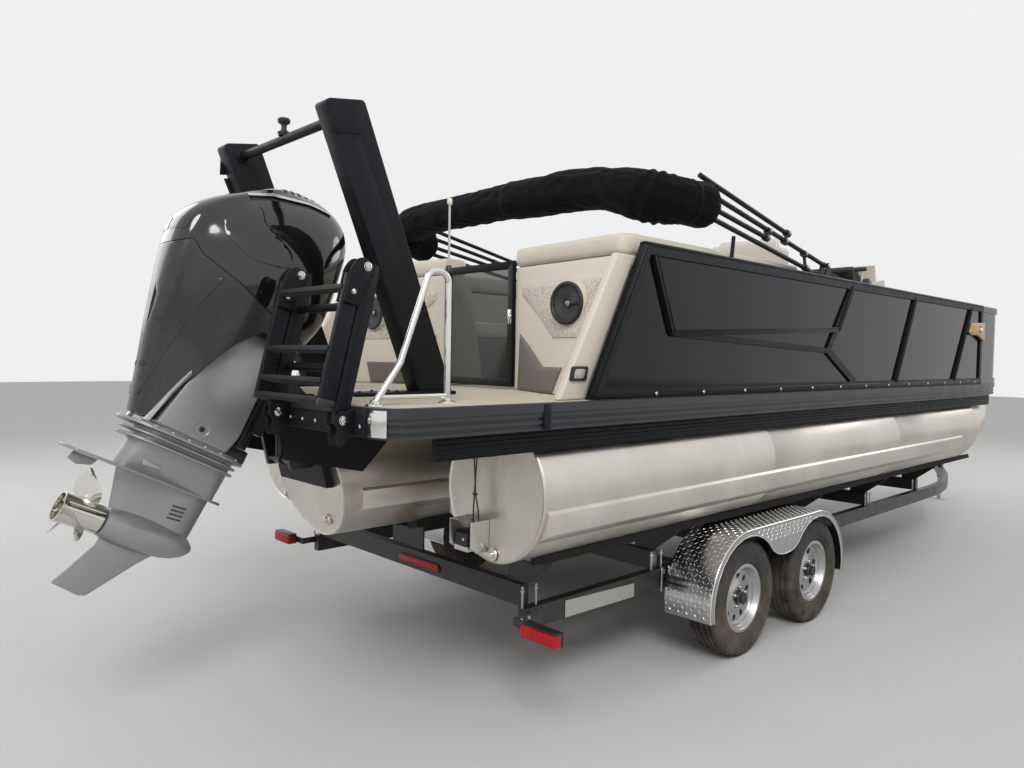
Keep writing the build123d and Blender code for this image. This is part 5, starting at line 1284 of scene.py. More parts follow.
class BOAT_OT_propeller(bpy.types.Operator):
    """Three polished blades of one constant pitch on an exhaust hub"""
    bl_idname = "boat.propeller"
    bl_label = "Propeller"

    def execute(self, context):
        shaft = (engine_point(1, 0) - engine_point(0, 0)).normalized()
        up = (engine_point(0, 1) - engine_point(0, 0)).normalized()
        centre = engine_point(-0.666, -0.828)
        parts = []
        hub = (
            (0.086, 0.046), (0.087, 0.056), (0.084, 0.0595), (0.030, 0.060), (-0.060, 0.060), (-0.078, 0.062), (-0.086, 0.0645),
            (-0.087, 0.0605), (-0.086, 0.056), (-0.060, 0.0535), (0.080, 0.0525), (0.086, 0.046)
        )
        parts.append(turned("hub", hub, centre, shaft, "stainless", 64))
        core = ((0.087, 0.0), (0.087, 0.024), (0.060, 0.026), (-0.030, 0.024), (-0.034, 0.020), (-0.034, 0.0))
        parts.append(turned("core", core, centre, shaft, "stainless", 32))
        parts.append(turned(
            "nut", ((-0.034, 0.0), (-0.034, 0.017), (-0.052, 0.017), (-0.054, 0.014), (-0.054, 0.0)), centre, shaft, "zinc", 6
        ))
        radii = [0.054 + (0.183 - 0.054) * k / 18 for k in range(19)]
        for turn in (0, 120, 240):
            arm = (Vector((1, 0, 0)) * sin(radians(turn)) + up * cos(radians(turn))).normalized()
            side = shaft.cross(arm)
            parts.append(prism(
                "web", ((-0.078, -0.004), (0.078, -0.004), (0.078, 0.004), (-0.078, 0.004)), lambda a, b, c, arm=arm,
                side=side: centre + shaft * a + side * b + arm * c, 0.023, 0.053, "stainless", 0.0015
            ))
            rings = []
            for r in radii:
                t = (r - 0.054) / (0.183 - 0.054)
                chord = 0.100 + 0.062 * sin(pi * min(1.0, t * 1.15)) - 0.055 * t
                if t > 0.75:
                    chord *= sqrt(max(0.02, 1 - ((t - 0.75) / 0.26) ** 2.2))
                twist = atan2(sizes().prop_pitch, 2 * pi * r)
                way = shaft * sin(twist) + side * cos(twist)
                face = arm.cross(way)
                thick = 0.010 * (1 - t) + 0.0022
                skew = 0.034 * t ** 1.6
                root = centre + arm * r - shaft * 0.15 * (r - 0.054) - way * skew
                loop = []
                for sign in (1, -1):
                    for i in range(11):
                        s = i / 11 if sign > 0 else 1 - i / 11
                        cup = 0.004 * max(0.0, (0.25 - s) / 0.25) ** 2
                        loop.append(root + way * chord * (s - 0.5) + face * (sign * thick * 0.5 * sin(pi * min(1.0, max(0.02, s))) ** 0.6 - 0.006 * sin(pi * s) - cup))
                rings.append(loop)
            parts.append(skin("blade", rings, "stainless", smooth_angle=60))
        fasten(joined("propeller_skin", parts), "prop", ("propeller",))
        return {"FINISHED"}


# ---------------------------------------------------------------- upholstery

LOUNGE_IN, LOUNGE_OUT = 0.316, 1.180
BACK_TOP = 2.186
ROLL_LOW, ROLL_HIGH = 2.186, 2.295


def lounge_aft(x, z):
    """Aft face of a stern lounger's back, from the stern, at a distance from the centre plane."""
    share = (x - LOUNGE_IN) / (LOUNGE_OUT - LOUNGE_IN)
    return (1 - share) * 0.727 + share * (0.355 + 0.4 * (z - sizes().deck_top))


def outline_at(obj, level, band, count):
    """The outer line of a pad at one height, as points round its centre."""
    near = [v.co for v in obj.data.vertices if abs(v.co.z - level) < band]
    low = Vector((min(p.x for p in near), min(p.y for p in near)))
    high = Vector((max(p.x for p in near), max(p.y for p in near)))
    centre, half = (low + high) / 2, (high - low) / 2
    best = {}
    for p in near:
        turn = atan2((p.y - centre.y) / half.y, (p.x - centre.x) / half.x)
        k = int((turn + pi) / (2 * pi) * count) % count
        reach = max(abs(p.x - centre.x) / half.x, abs(p.y - centre.y) / half.y)
        if k not in best or reach > best[k][0]:
            best[k] = (reach, p)
    return [Vector((best[k][1].x, best[k][1].y, level)) for k in sorted(best)]


def cushion(name, low, high, finish, body, node, edge=0.030, voxel=0.013, swell=0.014, shape=None):
    """A foam cushion swollen between its edges."""
    obj = slab(name, low, high, finish, edge)
    if shape:
        for vert in obj.data.vertices:
            vert.co = shape(vert.co)
    plump(obj, voxel, 4.0, swell, 0)
    fasten(obj, body, (node,))
    return obj


def piping(name, obj, level, body, count=90, radius=0.0035):
    """The sewn cord round a cushion at one height."""
    line = outline_at(obj, level, 0.012, count)
    centre = sum(line, Vector()) / len(line)
    line = [(line[k - 1] + line[k] * 2 + line[(k + 1) % len(line)]) / 4 for k in range(len(line))]
    line = [p + (p - centre).normalized() * radius * 0.3 for p in line]
    cord = ring_rod(name, line, radius, "cream_vinyl", 8)
    return fasten(cord, body)


def roll_ring(outer, inner, squeeze=1.0, count=28):
    """A rounded section of the headrest roll between two places on the plan."""
    middle, half = (outer + inner) / 2, (outer - inner) / 2 * squeeze
    height, rise = (ROLL_LOW + ROLL_HIGH) / 2, (ROLL_HIGH - ROLL_LOW) / 2 * squeeze
    ring = []
    for k in range(count):
        c, s = cos(2 * pi * k / count), sin(2 * pi * k / count)
        across = abs(c) ** 0.5 * (1 if c > 0 else -1)
        over = abs(s) ** 0.5 * (1 if s > 0 else -1)
        p = middle + half * across
        ring.append(at(p.x, p.y, height + rise * over))
    return ring


def headrest(sign):
    """The roll along the back and forward over the side, pinched at its seams."""
    rings = []

    def add(outer, inner, squeeze=1.0):
        rings.append(roll_ring(Vector((sign * outer[0], outer[1])), Vector((sign * inner[0], inner[1])), squeeze))

    def back(x, squeeze=1.0):
        y = lounge_aft(x, BACK_TOP) - 0.012
        add((x, y), (x, y + 0.188), squeeze)

    for x, squeeze in ((0.319, 0.80), (0.322, 0.90), (0.330, 0.97)):
        back(x, squeeze)
    seams = (0.60, 0.88)
    x = 0.35
    while x < 1.045:
        gap = min(abs(x - s) for s in seams)
        back(x, 0.955 if gap < 0.003 else 0.985 if gap < 0.009 else 1.0)
        x += 0.0058 if gap < 0.02 else 0.029
    corner_in = (1.057, lounge_aft(1.057, BACK_TOP) + 0.176)
    for k in range(10):
        turn = pi / 2 * k / 9
        reach = (0.110 * sin(turn) ** 0.55, -0.188 * cos(turn) ** 0.55)
        add((corner_in[0] + reach[0], corner_in[1] + reach[1]), corner_in, 0.965 if k in (0, 9) else 1.0)
    y = corner_in[1] + 0.012
    while y < 2.392:
        gap = abs((y - 0.86) % 0.52 - 0.26)
        add((1.167, y), (1.057, y), 0.955 if gap < 0.003 else 0.985 if gap < 0.009 else 1.0)
        y += 0.0058 if gap < 0.02 else 0.032
    for y, squeeze in ((2.392, 0.97), (2.397, 0.90), (2.400, 0.78)):
        add((1.167, y), (1.057, y), squeeze)
    return skin("headrest_roll", rings, "cream_vinyl", smooth_angle=70)


def back_shell(sign):
    """The back's upholstered body between its aft face and the seat side."""
    deck = sizes().deck_top + 0.0015
    xs = [0.318 + (1.160 - 0.318) * k / 16 for k in range(17)]
    rings = []
    for j in range(17):
        z = deck + (BACK_TOP - deck) * j / 16
        t = j / 16
        aft, fore = [], []
        for k, x in enumerate(xs):
            share = k / 16
            puff = 0.005 * sin(pi * share) * sin(pi * t)
            depth = (1 - share) * (0.33 - 0.13 * t) + share * (0.42 - 0.22 * t)
            y = lounge_aft(x, z)
            aft.append(at(sign * x, y - puff, z))
            fore.append(at(sign * x, y + depth + puff * 2, z))
        rings.append(aft + fore[::-1])
    return rounded(skin("back_shell", rings, "cream_vinyl", smooth_angle=50), 0.010, 3, 40)


EMBOSSED = ((0.385, 2.079), (1.046, 2.069), (1.010, 1.985), (0.965, 1.781), (0.736, 1.780), (0.396, 2.028))
TAUPE = ((0.381, 1.810), (0.674, 1.632), (0.879, 1.633), (0.818, 1.500), (0.374, 1.500))


def speaker_parts(sign):
    """Ring, cone, surround, dome and guard of a speaker that faces aft, in its pod."""
    spot = at(sign * 0.866, 0.588, 1.955)
    aft = (0, -1, 0)
    parts = [
        turned(
            "pod",
            ((-0.070, 0.094), (-0.070, 0.112), (0.026, 0.112), (0.032, 0.110), (0.034, 0.105), (0.034, 0.094), (-0.070, 0.094)),
            spot, aft, "cream_vinyl", 64
        ),
        turned(
            "ring",
            (
                (0.030, 0.088), (0.030, 0.110), (0.037, 0.110), (0.043, 0.106), (0.045, 0.101), (0.044, 0.094), (0.038, 0.088),
                (0.030, 0.088)
            ),
            spot, aft, "black_plastic", 64
        ),
        turned(
            "grille",
            (
                (0.000, 0.0), (0.000, 0.091), (0.033, 0.091), (0.0345, 0.088), (0.0345, 0.082), (0.032, 0.060), (0.0285, 0.034),
                (0.027, 0.024), (0.027, 0.0)
            ),
            spot, aft, "dark_cone", 64
        ),
        turned(
            "hub_ring", ((0.024, 0.016), (0.024, 0.026), (0.032, 0.0255), (0.0355, 0.022), (0.034, 0.017), (0.024, 0.016)), spot,
            aft, "black_plastic", 40
        ),
        turned(
            "dome", ((0.020, 0.0), (0.020, 0.0165), (0.030, 0.0155), (0.0345, 0.011), (0.0365, 0.005), (0.037, 0.0)), spot, aft,
            "engine_silver", 32
        ),
    ]
    for k in range(7):
        r = 0.034 + 0.0075 * k
        lift = 0.0288 + 0.0052 * k / 6
        parts.append(turned(
            "ripple", ((lift, r - 0.0012), (lift + 0.0016, r), (lift, r + 0.0012), (lift - 0.001, r), (lift, r - 0.0012)), spot,
            aft, "dark_cone", 48
        ))
    bar = ((0.022, -0.0075), (0.089, -0.0105), (0.089, 0.0105), (0.022, 0.0075))
    parts.append(prism("bar", bar, lambda a, b, c: spot + Vector((a * sign, -c, b)), 0.026, 0.0385, "black_plastic", 0.0015))
    return parts


class BOAT_OT_loungers(bpy.types.Operator):
    """Stern loungers: shells, headrest rolls, embossed and taupe panels, arms, cushions and speakers"""
    bl_idname = "boat.loungers"
    bl_label = "Stern loungers"

    def execute(self, context):
        deck = sizes().deck_top
        for side, sign in SIDES:
            node = "stern_lounger_" + side
            shell = back_shell(sign)
            shell.name = "lounger_back_" + side
            fasten(shell, ROOT, (node,))
            roll = headrest(sign)
            roll.name = "lounger_roll_" + side
            fasten(roll, ROOT, (node,))
            spread = lambda a, b, lift, sign=sign: at(sign * a, lounge_aft(a, b) - lift, b)
            emboss = pad("lounger_embossed_" + side, EMBOSSED, spread, 0.010, 0.004, "embossed_vinyl", roll=0.008, step=0.018)
            fasten(emboss, ROOT)
            taupe = pad("lounger_taupe_" + side, TAUPE, spread, 0.009, 0.004, "taupe_vinyl", roll=0.007, step=0.018)
            fasten(taupe, ROOT)
            # Stitches beside both panels and under the roll
            spots = []
            for outline, inset in ((EMBOSSED, -0.012), (TAUPE, -0.012)):
                loop = stepped(outline, sizes().stitch_pitch)
                middle = sum(loop, Vector((0, 0))) / len(loop)
                for k, p in enumerate(loop):
                    way = (loop[(k + 1) % len(loop)] - p).normalized()
                    q = p + (p - middle).normalized() * -inset
                    if q.y < 1.515 or (q - Vector((0.866, 1.955))).length < 0.118:
                        continue
                    here = spread(q.x, q.y, 0.0045)
                    ahead = spread(q.x + way.x * 0.01, q.y + way.y * 0.01, 0.0045) - here
                    spots.append((here, Vector((0, -1, 0)), ahead.normalized()))
            thread = rounded(
                block("thread", Vector((-0.0028, -0.0006, -0.0004)), Vector((0.0028, 0.0006, 0.0005)), "cream_vinyl"), 0.0003, 1
            )
            scatter("lounger_stitches_" + side, spots, thread, "cream_vinyl", ROOT)
            arm = side_plate(
                "lounger_arm_" + side, ((0.150, deck + 0.0015), (0.534, 2.178), (0.668, 2.178), (0.318, deck + 0.0015)),
                *sorted((sign * 1.1600, sign * 1.2015)), "cream_vinyl", 0.012, 4
            )
            fasten(arm, ROOT, (node,))
            parts = speaker_parts(sign)
            # Small display on the arm's foot
            lamp_place = lambda a, b, c, sign=sign: at(sign * (1.2005 + c), a, b)
            for corners, rise, finish in (
                (((0.211, 1.580), (0.318, 1.580), (0.334, 1.646), (0.226, 1.646)), 0.011, "black_plastic"),
                (((0.232, 1.592), (0.300, 1.592), (0.312, 1.634), (0.243, 1.634)), 0.0125, "bare_plate"),
            ):
                outline = [tuple(p) for p in softened([Vector(p) for p in corners], 0.012, 4)]
                parts.append(prism("lamp_box", outline, lamp_place, 0.0, rise, finish, 0.002))
            fasten(joined("lounger_speaker_" + side, parts), ROOT)
            # Seat and side back inside the fence
            low, high = sorted((sign * 0.562, sign * 1.178))
            base = rounded(
                block("lounger_base_" + side, at(low, 0.80, deck + 0.0015), at(high, 2.398, 1.806), "taupe_vinyl"), 0.010, 3
            )
            fasten(base, ROOT, (node,))
            low, high = sorted((sign * 0.556, sign * 1.075))
            seat = cushion(
                "lounger_seat_" + side, at(low, 0.86, 1.806), at(high, 2.393, 1.916), "cream_vinyl", ROOT, node,
                edge=0.035, voxel=0.015, swell=0.012
            )
            piping("lounger_seat_piping_" + side, seat, 1.900, ROOT)
            low, high = sorted((sign * 1.082, sign * 1.176))
            rest = cushion(
                "lounger_side_" + side, at(low, 0.84, 1.905), at(high, 2.393, 2.184), "cream_vinyl", ROOT, node,
                edge=0.024, voxel=0.015, swell=0.008
            )
            rest.data.shade_smooth()
        return {"FINISHED"}


class BOAT_OT_bow_lounges(bpy.types.Operator):
    """Bow lounges: base, seat cushion, side back and end back"""
    bl_idname = "boat.bow_lounges"
    bl_label = "Bow lounges"

    def execute(self, context):
        deck = sizes().deck_top
        for side, sign in SIDES:
            node = "bow_lounge_" + side
            low, high = sorted((sign * 0.600, sign * 1.158))
            base = rounded(
                block("bow_base_" + side, at(low, 4.424, deck + 0.0015), at(high, 6.326, 1.806), "taupe_vinyl"), 0.010, 3
            )
            fasten(base, ROOT, (node,))
            low, high = sorted((sign * 0.578, sign * 1.062))
            seat = cushion(
                "bow_seat_" + side, at(low, 4.424, 1.806), at(high, 6.205, 1.914), "cream_vinyl", ROOT, node,
                edge=0.035, voxel=0.015, swell=0.012
            )
            piping("bow_seat_piping_" + side, seat, 1.898, ROOT)
            low, high = sorted((sign * 1.082, sign * 1.154))
            lean = lambda p, sign=sign: Vector((
                p.x + sign * 0.004 - sign * 0.055 * max(0.0, (2.285 - p.z)) if abs(p.x) < 1.12 else p.x, p.y, p.z
            ))
            cushion(
                "bow_back_" + side, at(low, 4.426, 1.905), at(high, 6.324, 2.280), "cream_vinyl", ROOT, node,
                edge=0.026, voxel=0.015, swell=0.008, shape=lean
            )
            low, high = sorted((sign * 0.590, sign * 1.085))
            cushion(
                "bow_end_" + side, at(low, 6.218, 1.905), at(high, 6.322, 2.250), "cream_vinyl", ROOT, node,
                edge=0.030, voxel=0.012, swell=0.008
            )
            parts = []
            for k in range(4):
                y = 4.62 + 0.47 * k
                face = 0.5985 * sign
                parts.append(rounded(
                    block(
                        "hinge", at(min(face, face - 0.004 * sign), y, 1.62), at(max(face, face - 0.004 * sign), y + 0.036, 1.72),
                        "polished"
                    ),
                    0.001, 2
                ))
            fasten(joined("bow_latches_" + side, parts), ROOT)
        return {"FINISHED"}


class BOAT_OT_helm_seat(bpy.types.Operator):
    """Helm seat: cushion, back with bolsters and head panel, arms and swivel plate"""
    bl_idname = "boat.helm_seat"
    bl_label = "Helm seat"

    def execute(self, context):
        x, y, deck = 0.700, 2.850, sizes().deck_top
        node = "helm_seat"
        tray = rounded(
            block("seat_tray", at(x - 0.180, y - 0.150, deck + 0.307), at(x + 0.180, y + 0.150, deck + 0.352), "black_plastic"),
            0.014, 3
        )
        fasten(tray, "seat", (node,))
        shell = rounded(
            block("seat_shell", at(x - 0.262, y - 0.232, deck + 0.350), at(x + 0.262, y + 0.272, deck + 0.392), "gelcoat"), 0.018,
            3
        )
        fasten(shell, "seat", (node,))
        seat = cushion(
            "helm_cushion", at(x - 0.262, y - 0.228, deck + 0.390), at(x + 0.262, y + 0.270, deck + 0.468), "cream_vinyl", "seat",
            node, edge=0.030, voxel=0.008, swell=0.010
        )
        piping("helm_piping", seat, deck + 0.450, "seat", 60)
        tilt = lambda p: Vector((p.x, p.y - 0.095 * (p.z - deck - 0.476), p.z))
        back_low, back_high = y - 0.262, y - 0.150
        cushion(
            "helm_back", at(x - 0.205, back_low, deck + 0.480), at(x + 0.205, back_high, deck + 0.820), "taupe_vinyl", "seat",
            node, edge=0.030, voxel=0.008, swell=0.010, shape=tilt
        )
        cushion(
            "helm_head", at(x - 0.215, back_low, deck + 0.832), at(x + 0.215, back_high + 0.006, deck + 1.024), "cream_vinyl",
            "seat", node, edge=0.036, voxel=0.008, swell=0.010, shape=tilt
        )
        for sign in (1, -1):
            low, high = sorted((x + sign * 0.210, x + sign * 0.262))
            cushion(
                "helm_bolster_" + ("right" if sign > 0 else "left"), at(low, back_low - 0.004, deck + 0.470),
                at(high, back_high + 0.022, deck + 0.960), "cream_vinyl", "seat", node, edge=0.022, voxel=0.008,
                swell=0.006, shape=tilt
            )
            low, high = sorted((x + sign * 0.224, x + sign * 0.266))
            cushion(
                "helm_arm_" + ("right" if sign > 0 else "left"), at(low, y - 0.180, deck + 0.585),
                at(high, y + 0.210, deck + 0.625), "cream_vinyl", "seat", node, edge=0.014, voxel=0.006,
                swell=0.004
            )
        plate = [rounded(
            block(
                "back_board", at(x - 0.240, back_low - 0.016, deck + 0.470), at(x + 0.240, back_low + 0.010, deck + 0.990),
                "gelcoat"
            ),
            0.008, 3
        )]
        for vert in plate[0].data.vertices:
            vert.co = tilt(vert.co)
        for sign in (1, -1):
            plate.append(rod(
                "arm_stay",
                blended(
                    [
                        at(x + sign * 0.245, y - 0.17, deck + 0.46), at(x + sign * 0.245, y - 0.10, deck + 0.55),
                        at(x + sign * 0.245, y + 0.0, deck + 0.59)
                    ],
                    6
                ),
                0.011, "polished", 12
            ))
        fasten(joined("helm_seat_frame", plate), "seat", (node,))
        return {"FINISHED"}


# ---------------------------------------------------------------- running gear

REAR_AXLE, FRONT_AXLE, WHEEL_X = 1.669, 2.534, 1.178
FENDER_RADIUS, FENDER_IN, FENDER_OUT, FENDER_FOOT = 0.395, 0.992, 1.292, 0.268

RIM_SECTION = (
    (-0.083, 0.172), (-0.0835, 0.190), (-0.082, 0.195), (-0.079, 0.196), (-0.0755, 0.194), (-0.0745, 0.182), (-0.050, 0.1785),
    (-0.040, 0.166), (0.020, 0.160), (0.040, 0.166), (0.050, 0.1785), (0.0745, 0.182), (0.0755, 0.194), (0.079, 0.196), (0.082, 0.195),
    (0.0835, 0.190), (0.083, 0.177), (0.078, 0.1725), (0.066, 0.170), (0.058, 0.163), (0.054, 0.160), (0.040, 0.159), (0.033, 0.154),
    (0.030, 0.146), (0.031, 0.120), (0.030, 0.098), (0.034, 0.088), (0.041, 0.074), (0.044, 0.066), (0.044, 0.042), (0.038, 0.040),
    (0.038, 0.066), (0.034, 0.072), (0.026, 0.088), (0.022, 0.098), (0.023, 0.120), (0.022, 0.146), (0.026, 0.157), (0.020, 0.155),
    (-0.036, 0.160), (-0.048, 0.171), (-0.078, 0.170), (-0.083, 0.172),
)
TYRE_SIDE = (
    (0.0745, 0.183), (0.0765, 0.197), (0.083, 0.199), (0.090, 0.202), (0.0945, 0.210), (0.0955, 0.213), (0.0965, 0.2125), (0.0985, 0.222),
    (0.1005, 0.232), (0.1015, 0.2335), (0.1025, 0.233), (0.1030, 0.250), (0.1030, 0.262), (0.1038, 0.263), (0.1035, 0.2665), (0.1020, 0.268),
    (0.0985, 0.288), (0.0945, 0.303), (0.0905, 0.3105), (0.0860, 0.3160), (0.0800, 0.3205), (0.0720, 0.3238),
)
GROOVES = (0.052, 0.018, -0.018, -0.052)


def wheel_point(sign, wheel_y, along, radius, turn):
    """A point of a wheel from its outward distance, radius and angle."""
    return at(sign * (WHEEL_X + along), wheel_y + radius * cos(turn), sizes().wheel_radius + radius * sin(turn))


class BOAT_OT_wheels(bpy.types.Operator):
    """Tyres with ribs, grooves and shoulder blocks, pierced wheels, hubs, nuts and valves"""
    bl_idname = "boat.wheels"
    bl_label = "Wheels"

    def execute(self, context):
        radius = sizes().wheel_radius
        for side, sign in SIDES:
            for place, wheel_y, holes, hole in (("rear", REAR_AXLE, 10, 0.0150), ("front", FRONT_AXLE, 6, 0.0220)):
                name = f"{place}_{side}"
                hub = at(sign * WHEEL_X, wheel_y, radius)
                out = (sign, 0, 0)
                top = radius - 0.0028
                half = [*TYRE_SIDE, (0.0640, top)]
                for groove in GROOVES:
                    for a, r in ((0.0052, top), (0.0036, top - 0.008), (-0.0036, top - 0.008), (-0.0052, top)):
                        half.append((groove + a, r))
                section = half + [(-a, r) for a, r in reversed(TYRE_SIDE)]
                section += [(-0.060, 0.184), (0.060, 0.184), (0.0745, 0.183)]
                tyre = turned("tyre", section, hub, out, "rubber", 96)
                tyre.name = "tyre_skin_" + name
                fasten(tyre, "wheel_" + name, ("tyre_" + name,))
                # Shoulder and rib blocks of the tread
                spots = []
                for k in range(80):
                    for along, shift in ((0.0700, 0.0), (0.0350, 0.5), (0.0, 0.25), (-0.0350, 0.5), (-0.0700, 0.0)):
                        turn = 2 * pi * (k + shift) / 80
                        spot = wheel_point(sign, wheel_y, along, top - 0.0012, turn)
                        spots.append((
                            spot, spot - wheel_point(sign, wheel_y, along, 0, 0), (0.94, -0.34 * sin(turn), 0.34 * cos(turn))
                        ))
                lug = rounded(block("lug", Vector((-0.0115, -0.0088, 0)), Vector((0.0115, 0.0088, 0.0038)), "rubber"), 0.0008, 1)
                scatter("tread_" + name, spots, lug, "rubber", "wheel_" + name)
                rim = turned("rim", RIM_SECTION, hub, out, "wheel_silver", 96)
                for k in range(holes):
                    turn = 2 * pi * k / holes + 0.2
                    drill = [(0.122 * cos(turn) + hole * (1.25 if holes == 10 else 1.0) * cos(turn) * cos(a) - hole * sin(turn) * sin(a),
                              0.122 * sin(turn) + hole * (1.25 if holes == 10 else 1.0) * sin(turn) * cos(a) + hole * cos(turn) * sin(a)) for a in (2 * pi * j / 20 for j in range(20))]
                    low, high = sorted((sign * (WHEEL_X + 0.005), sign * (WHEEL_X + 0.060)))
                    combine(
                        rim, prism("drill", drill, lambda a, b, c: at(c, wheel_y + a, radius + b), low, high, "wheel_silver"),
                        "DIFFERENCE"
                    )
                rim.data.set_sharp_from_angle(angle=radians(35))
                parts = [
                    rim,
                    turned(
                        "hub",
                        (
                            (0.006, 0), (0.006, 0.0405), (0.044, 0.0405), (0.046, 0.039), (0.066, 0.0375), (0.068, 0.0335),
                            (0.084, 0.0325), (0.0875, 0.029), (0.088, 0)
                        ),
                        hub, out, "black_plastic", 40
                    ),
                    turned(
                        "drum",
                        (
                            (-0.068, 0.0), (-0.068, 0.128), (-0.064, 0.132), (0.004, 0.132), (0.008, 0.128), (0.012, 0.060),
                            (0.012, 0.0)
                        ),
                        hub, out, "trailer_black", 48
                    ),
                    turned(
                        "cap_ring", ((0.066, 0.030), (0.066, 0.0385), (0.070, 0.0385), (0.070, 0.030), (0.066, 0.030)), hub, out,
                        "zinc", 40
                    ),
                ]
                for k in range(5):
                    turn = 2 * pi * k / 5 + 0.3
                    spot = wheel_point(sign, wheel_y, 0.043, 0.0575, turn)
                    parts.append(turned(
                        "nut", ((0, 0), (0, 0.0125), (0.004, 0.0105), (0.017, 0.0102), (0.020, 0.0080), (0.020, 0)), spot, out,
                        "zinc", 6
                    ))
                    parts.append(turned(
                        "stud", ((0.018, 0), (0.018, 0.0055), (0.027, 0.0055), (0.028, 0.0045), (0.028, 0)), spot, out, "zinc", 12
                    ))
                valve = wheel_point(sign, wheel_y, 0.052, 0.151, 1.9)
                parts.append(rod(
                    "valve", [valve, valve + Vector((sign * 0.020, 0, 0)), valve + Vector((sign * 0.028, 0, 0))],
                    [0.0055, 0.0045, 0.0036], "rubber", 10
                ))
                wheel = joined("rim_skin_" + name, parts)
                fasten(wheel, "wheel_" + name, ("rim_" + name,))
        return {"FINISHED"}


def fender_path(radius, steps=14):
    """Side line of a fender from its rear foot to its front foot, with the outward way at each point."""
    low = sizes().wheel_radius - FENDER_FOOT
    start = pi + atan2(low, sqrt(radius * radius - low * low))
    line = []
    for k in range(steps + 1):
        turn = start + (pi / 2 - start) * k / steps
        line.append((REAR_AXLE + radius * cos(turn), sizes().wheel_radius + radius * sin(turn), cos(turn), sin(turn)))
    gap = (FRONT_AXLE - REAR_AXLE)
    for k in range(1, 12):
        line.append((REAR_AXLE + gap * k / 12, sizes().wheel_radius + radius, 0.0, 1.0))
    for k in range(steps + 1):
        turn = pi / 2 + (pi - start - pi / 2) * k / steps
        line.append((FRONT_AXLE + radius * cos(turn), sizes().wheel_radius + radius * sin(turn), cos(turn), sin(turn)))
    return line


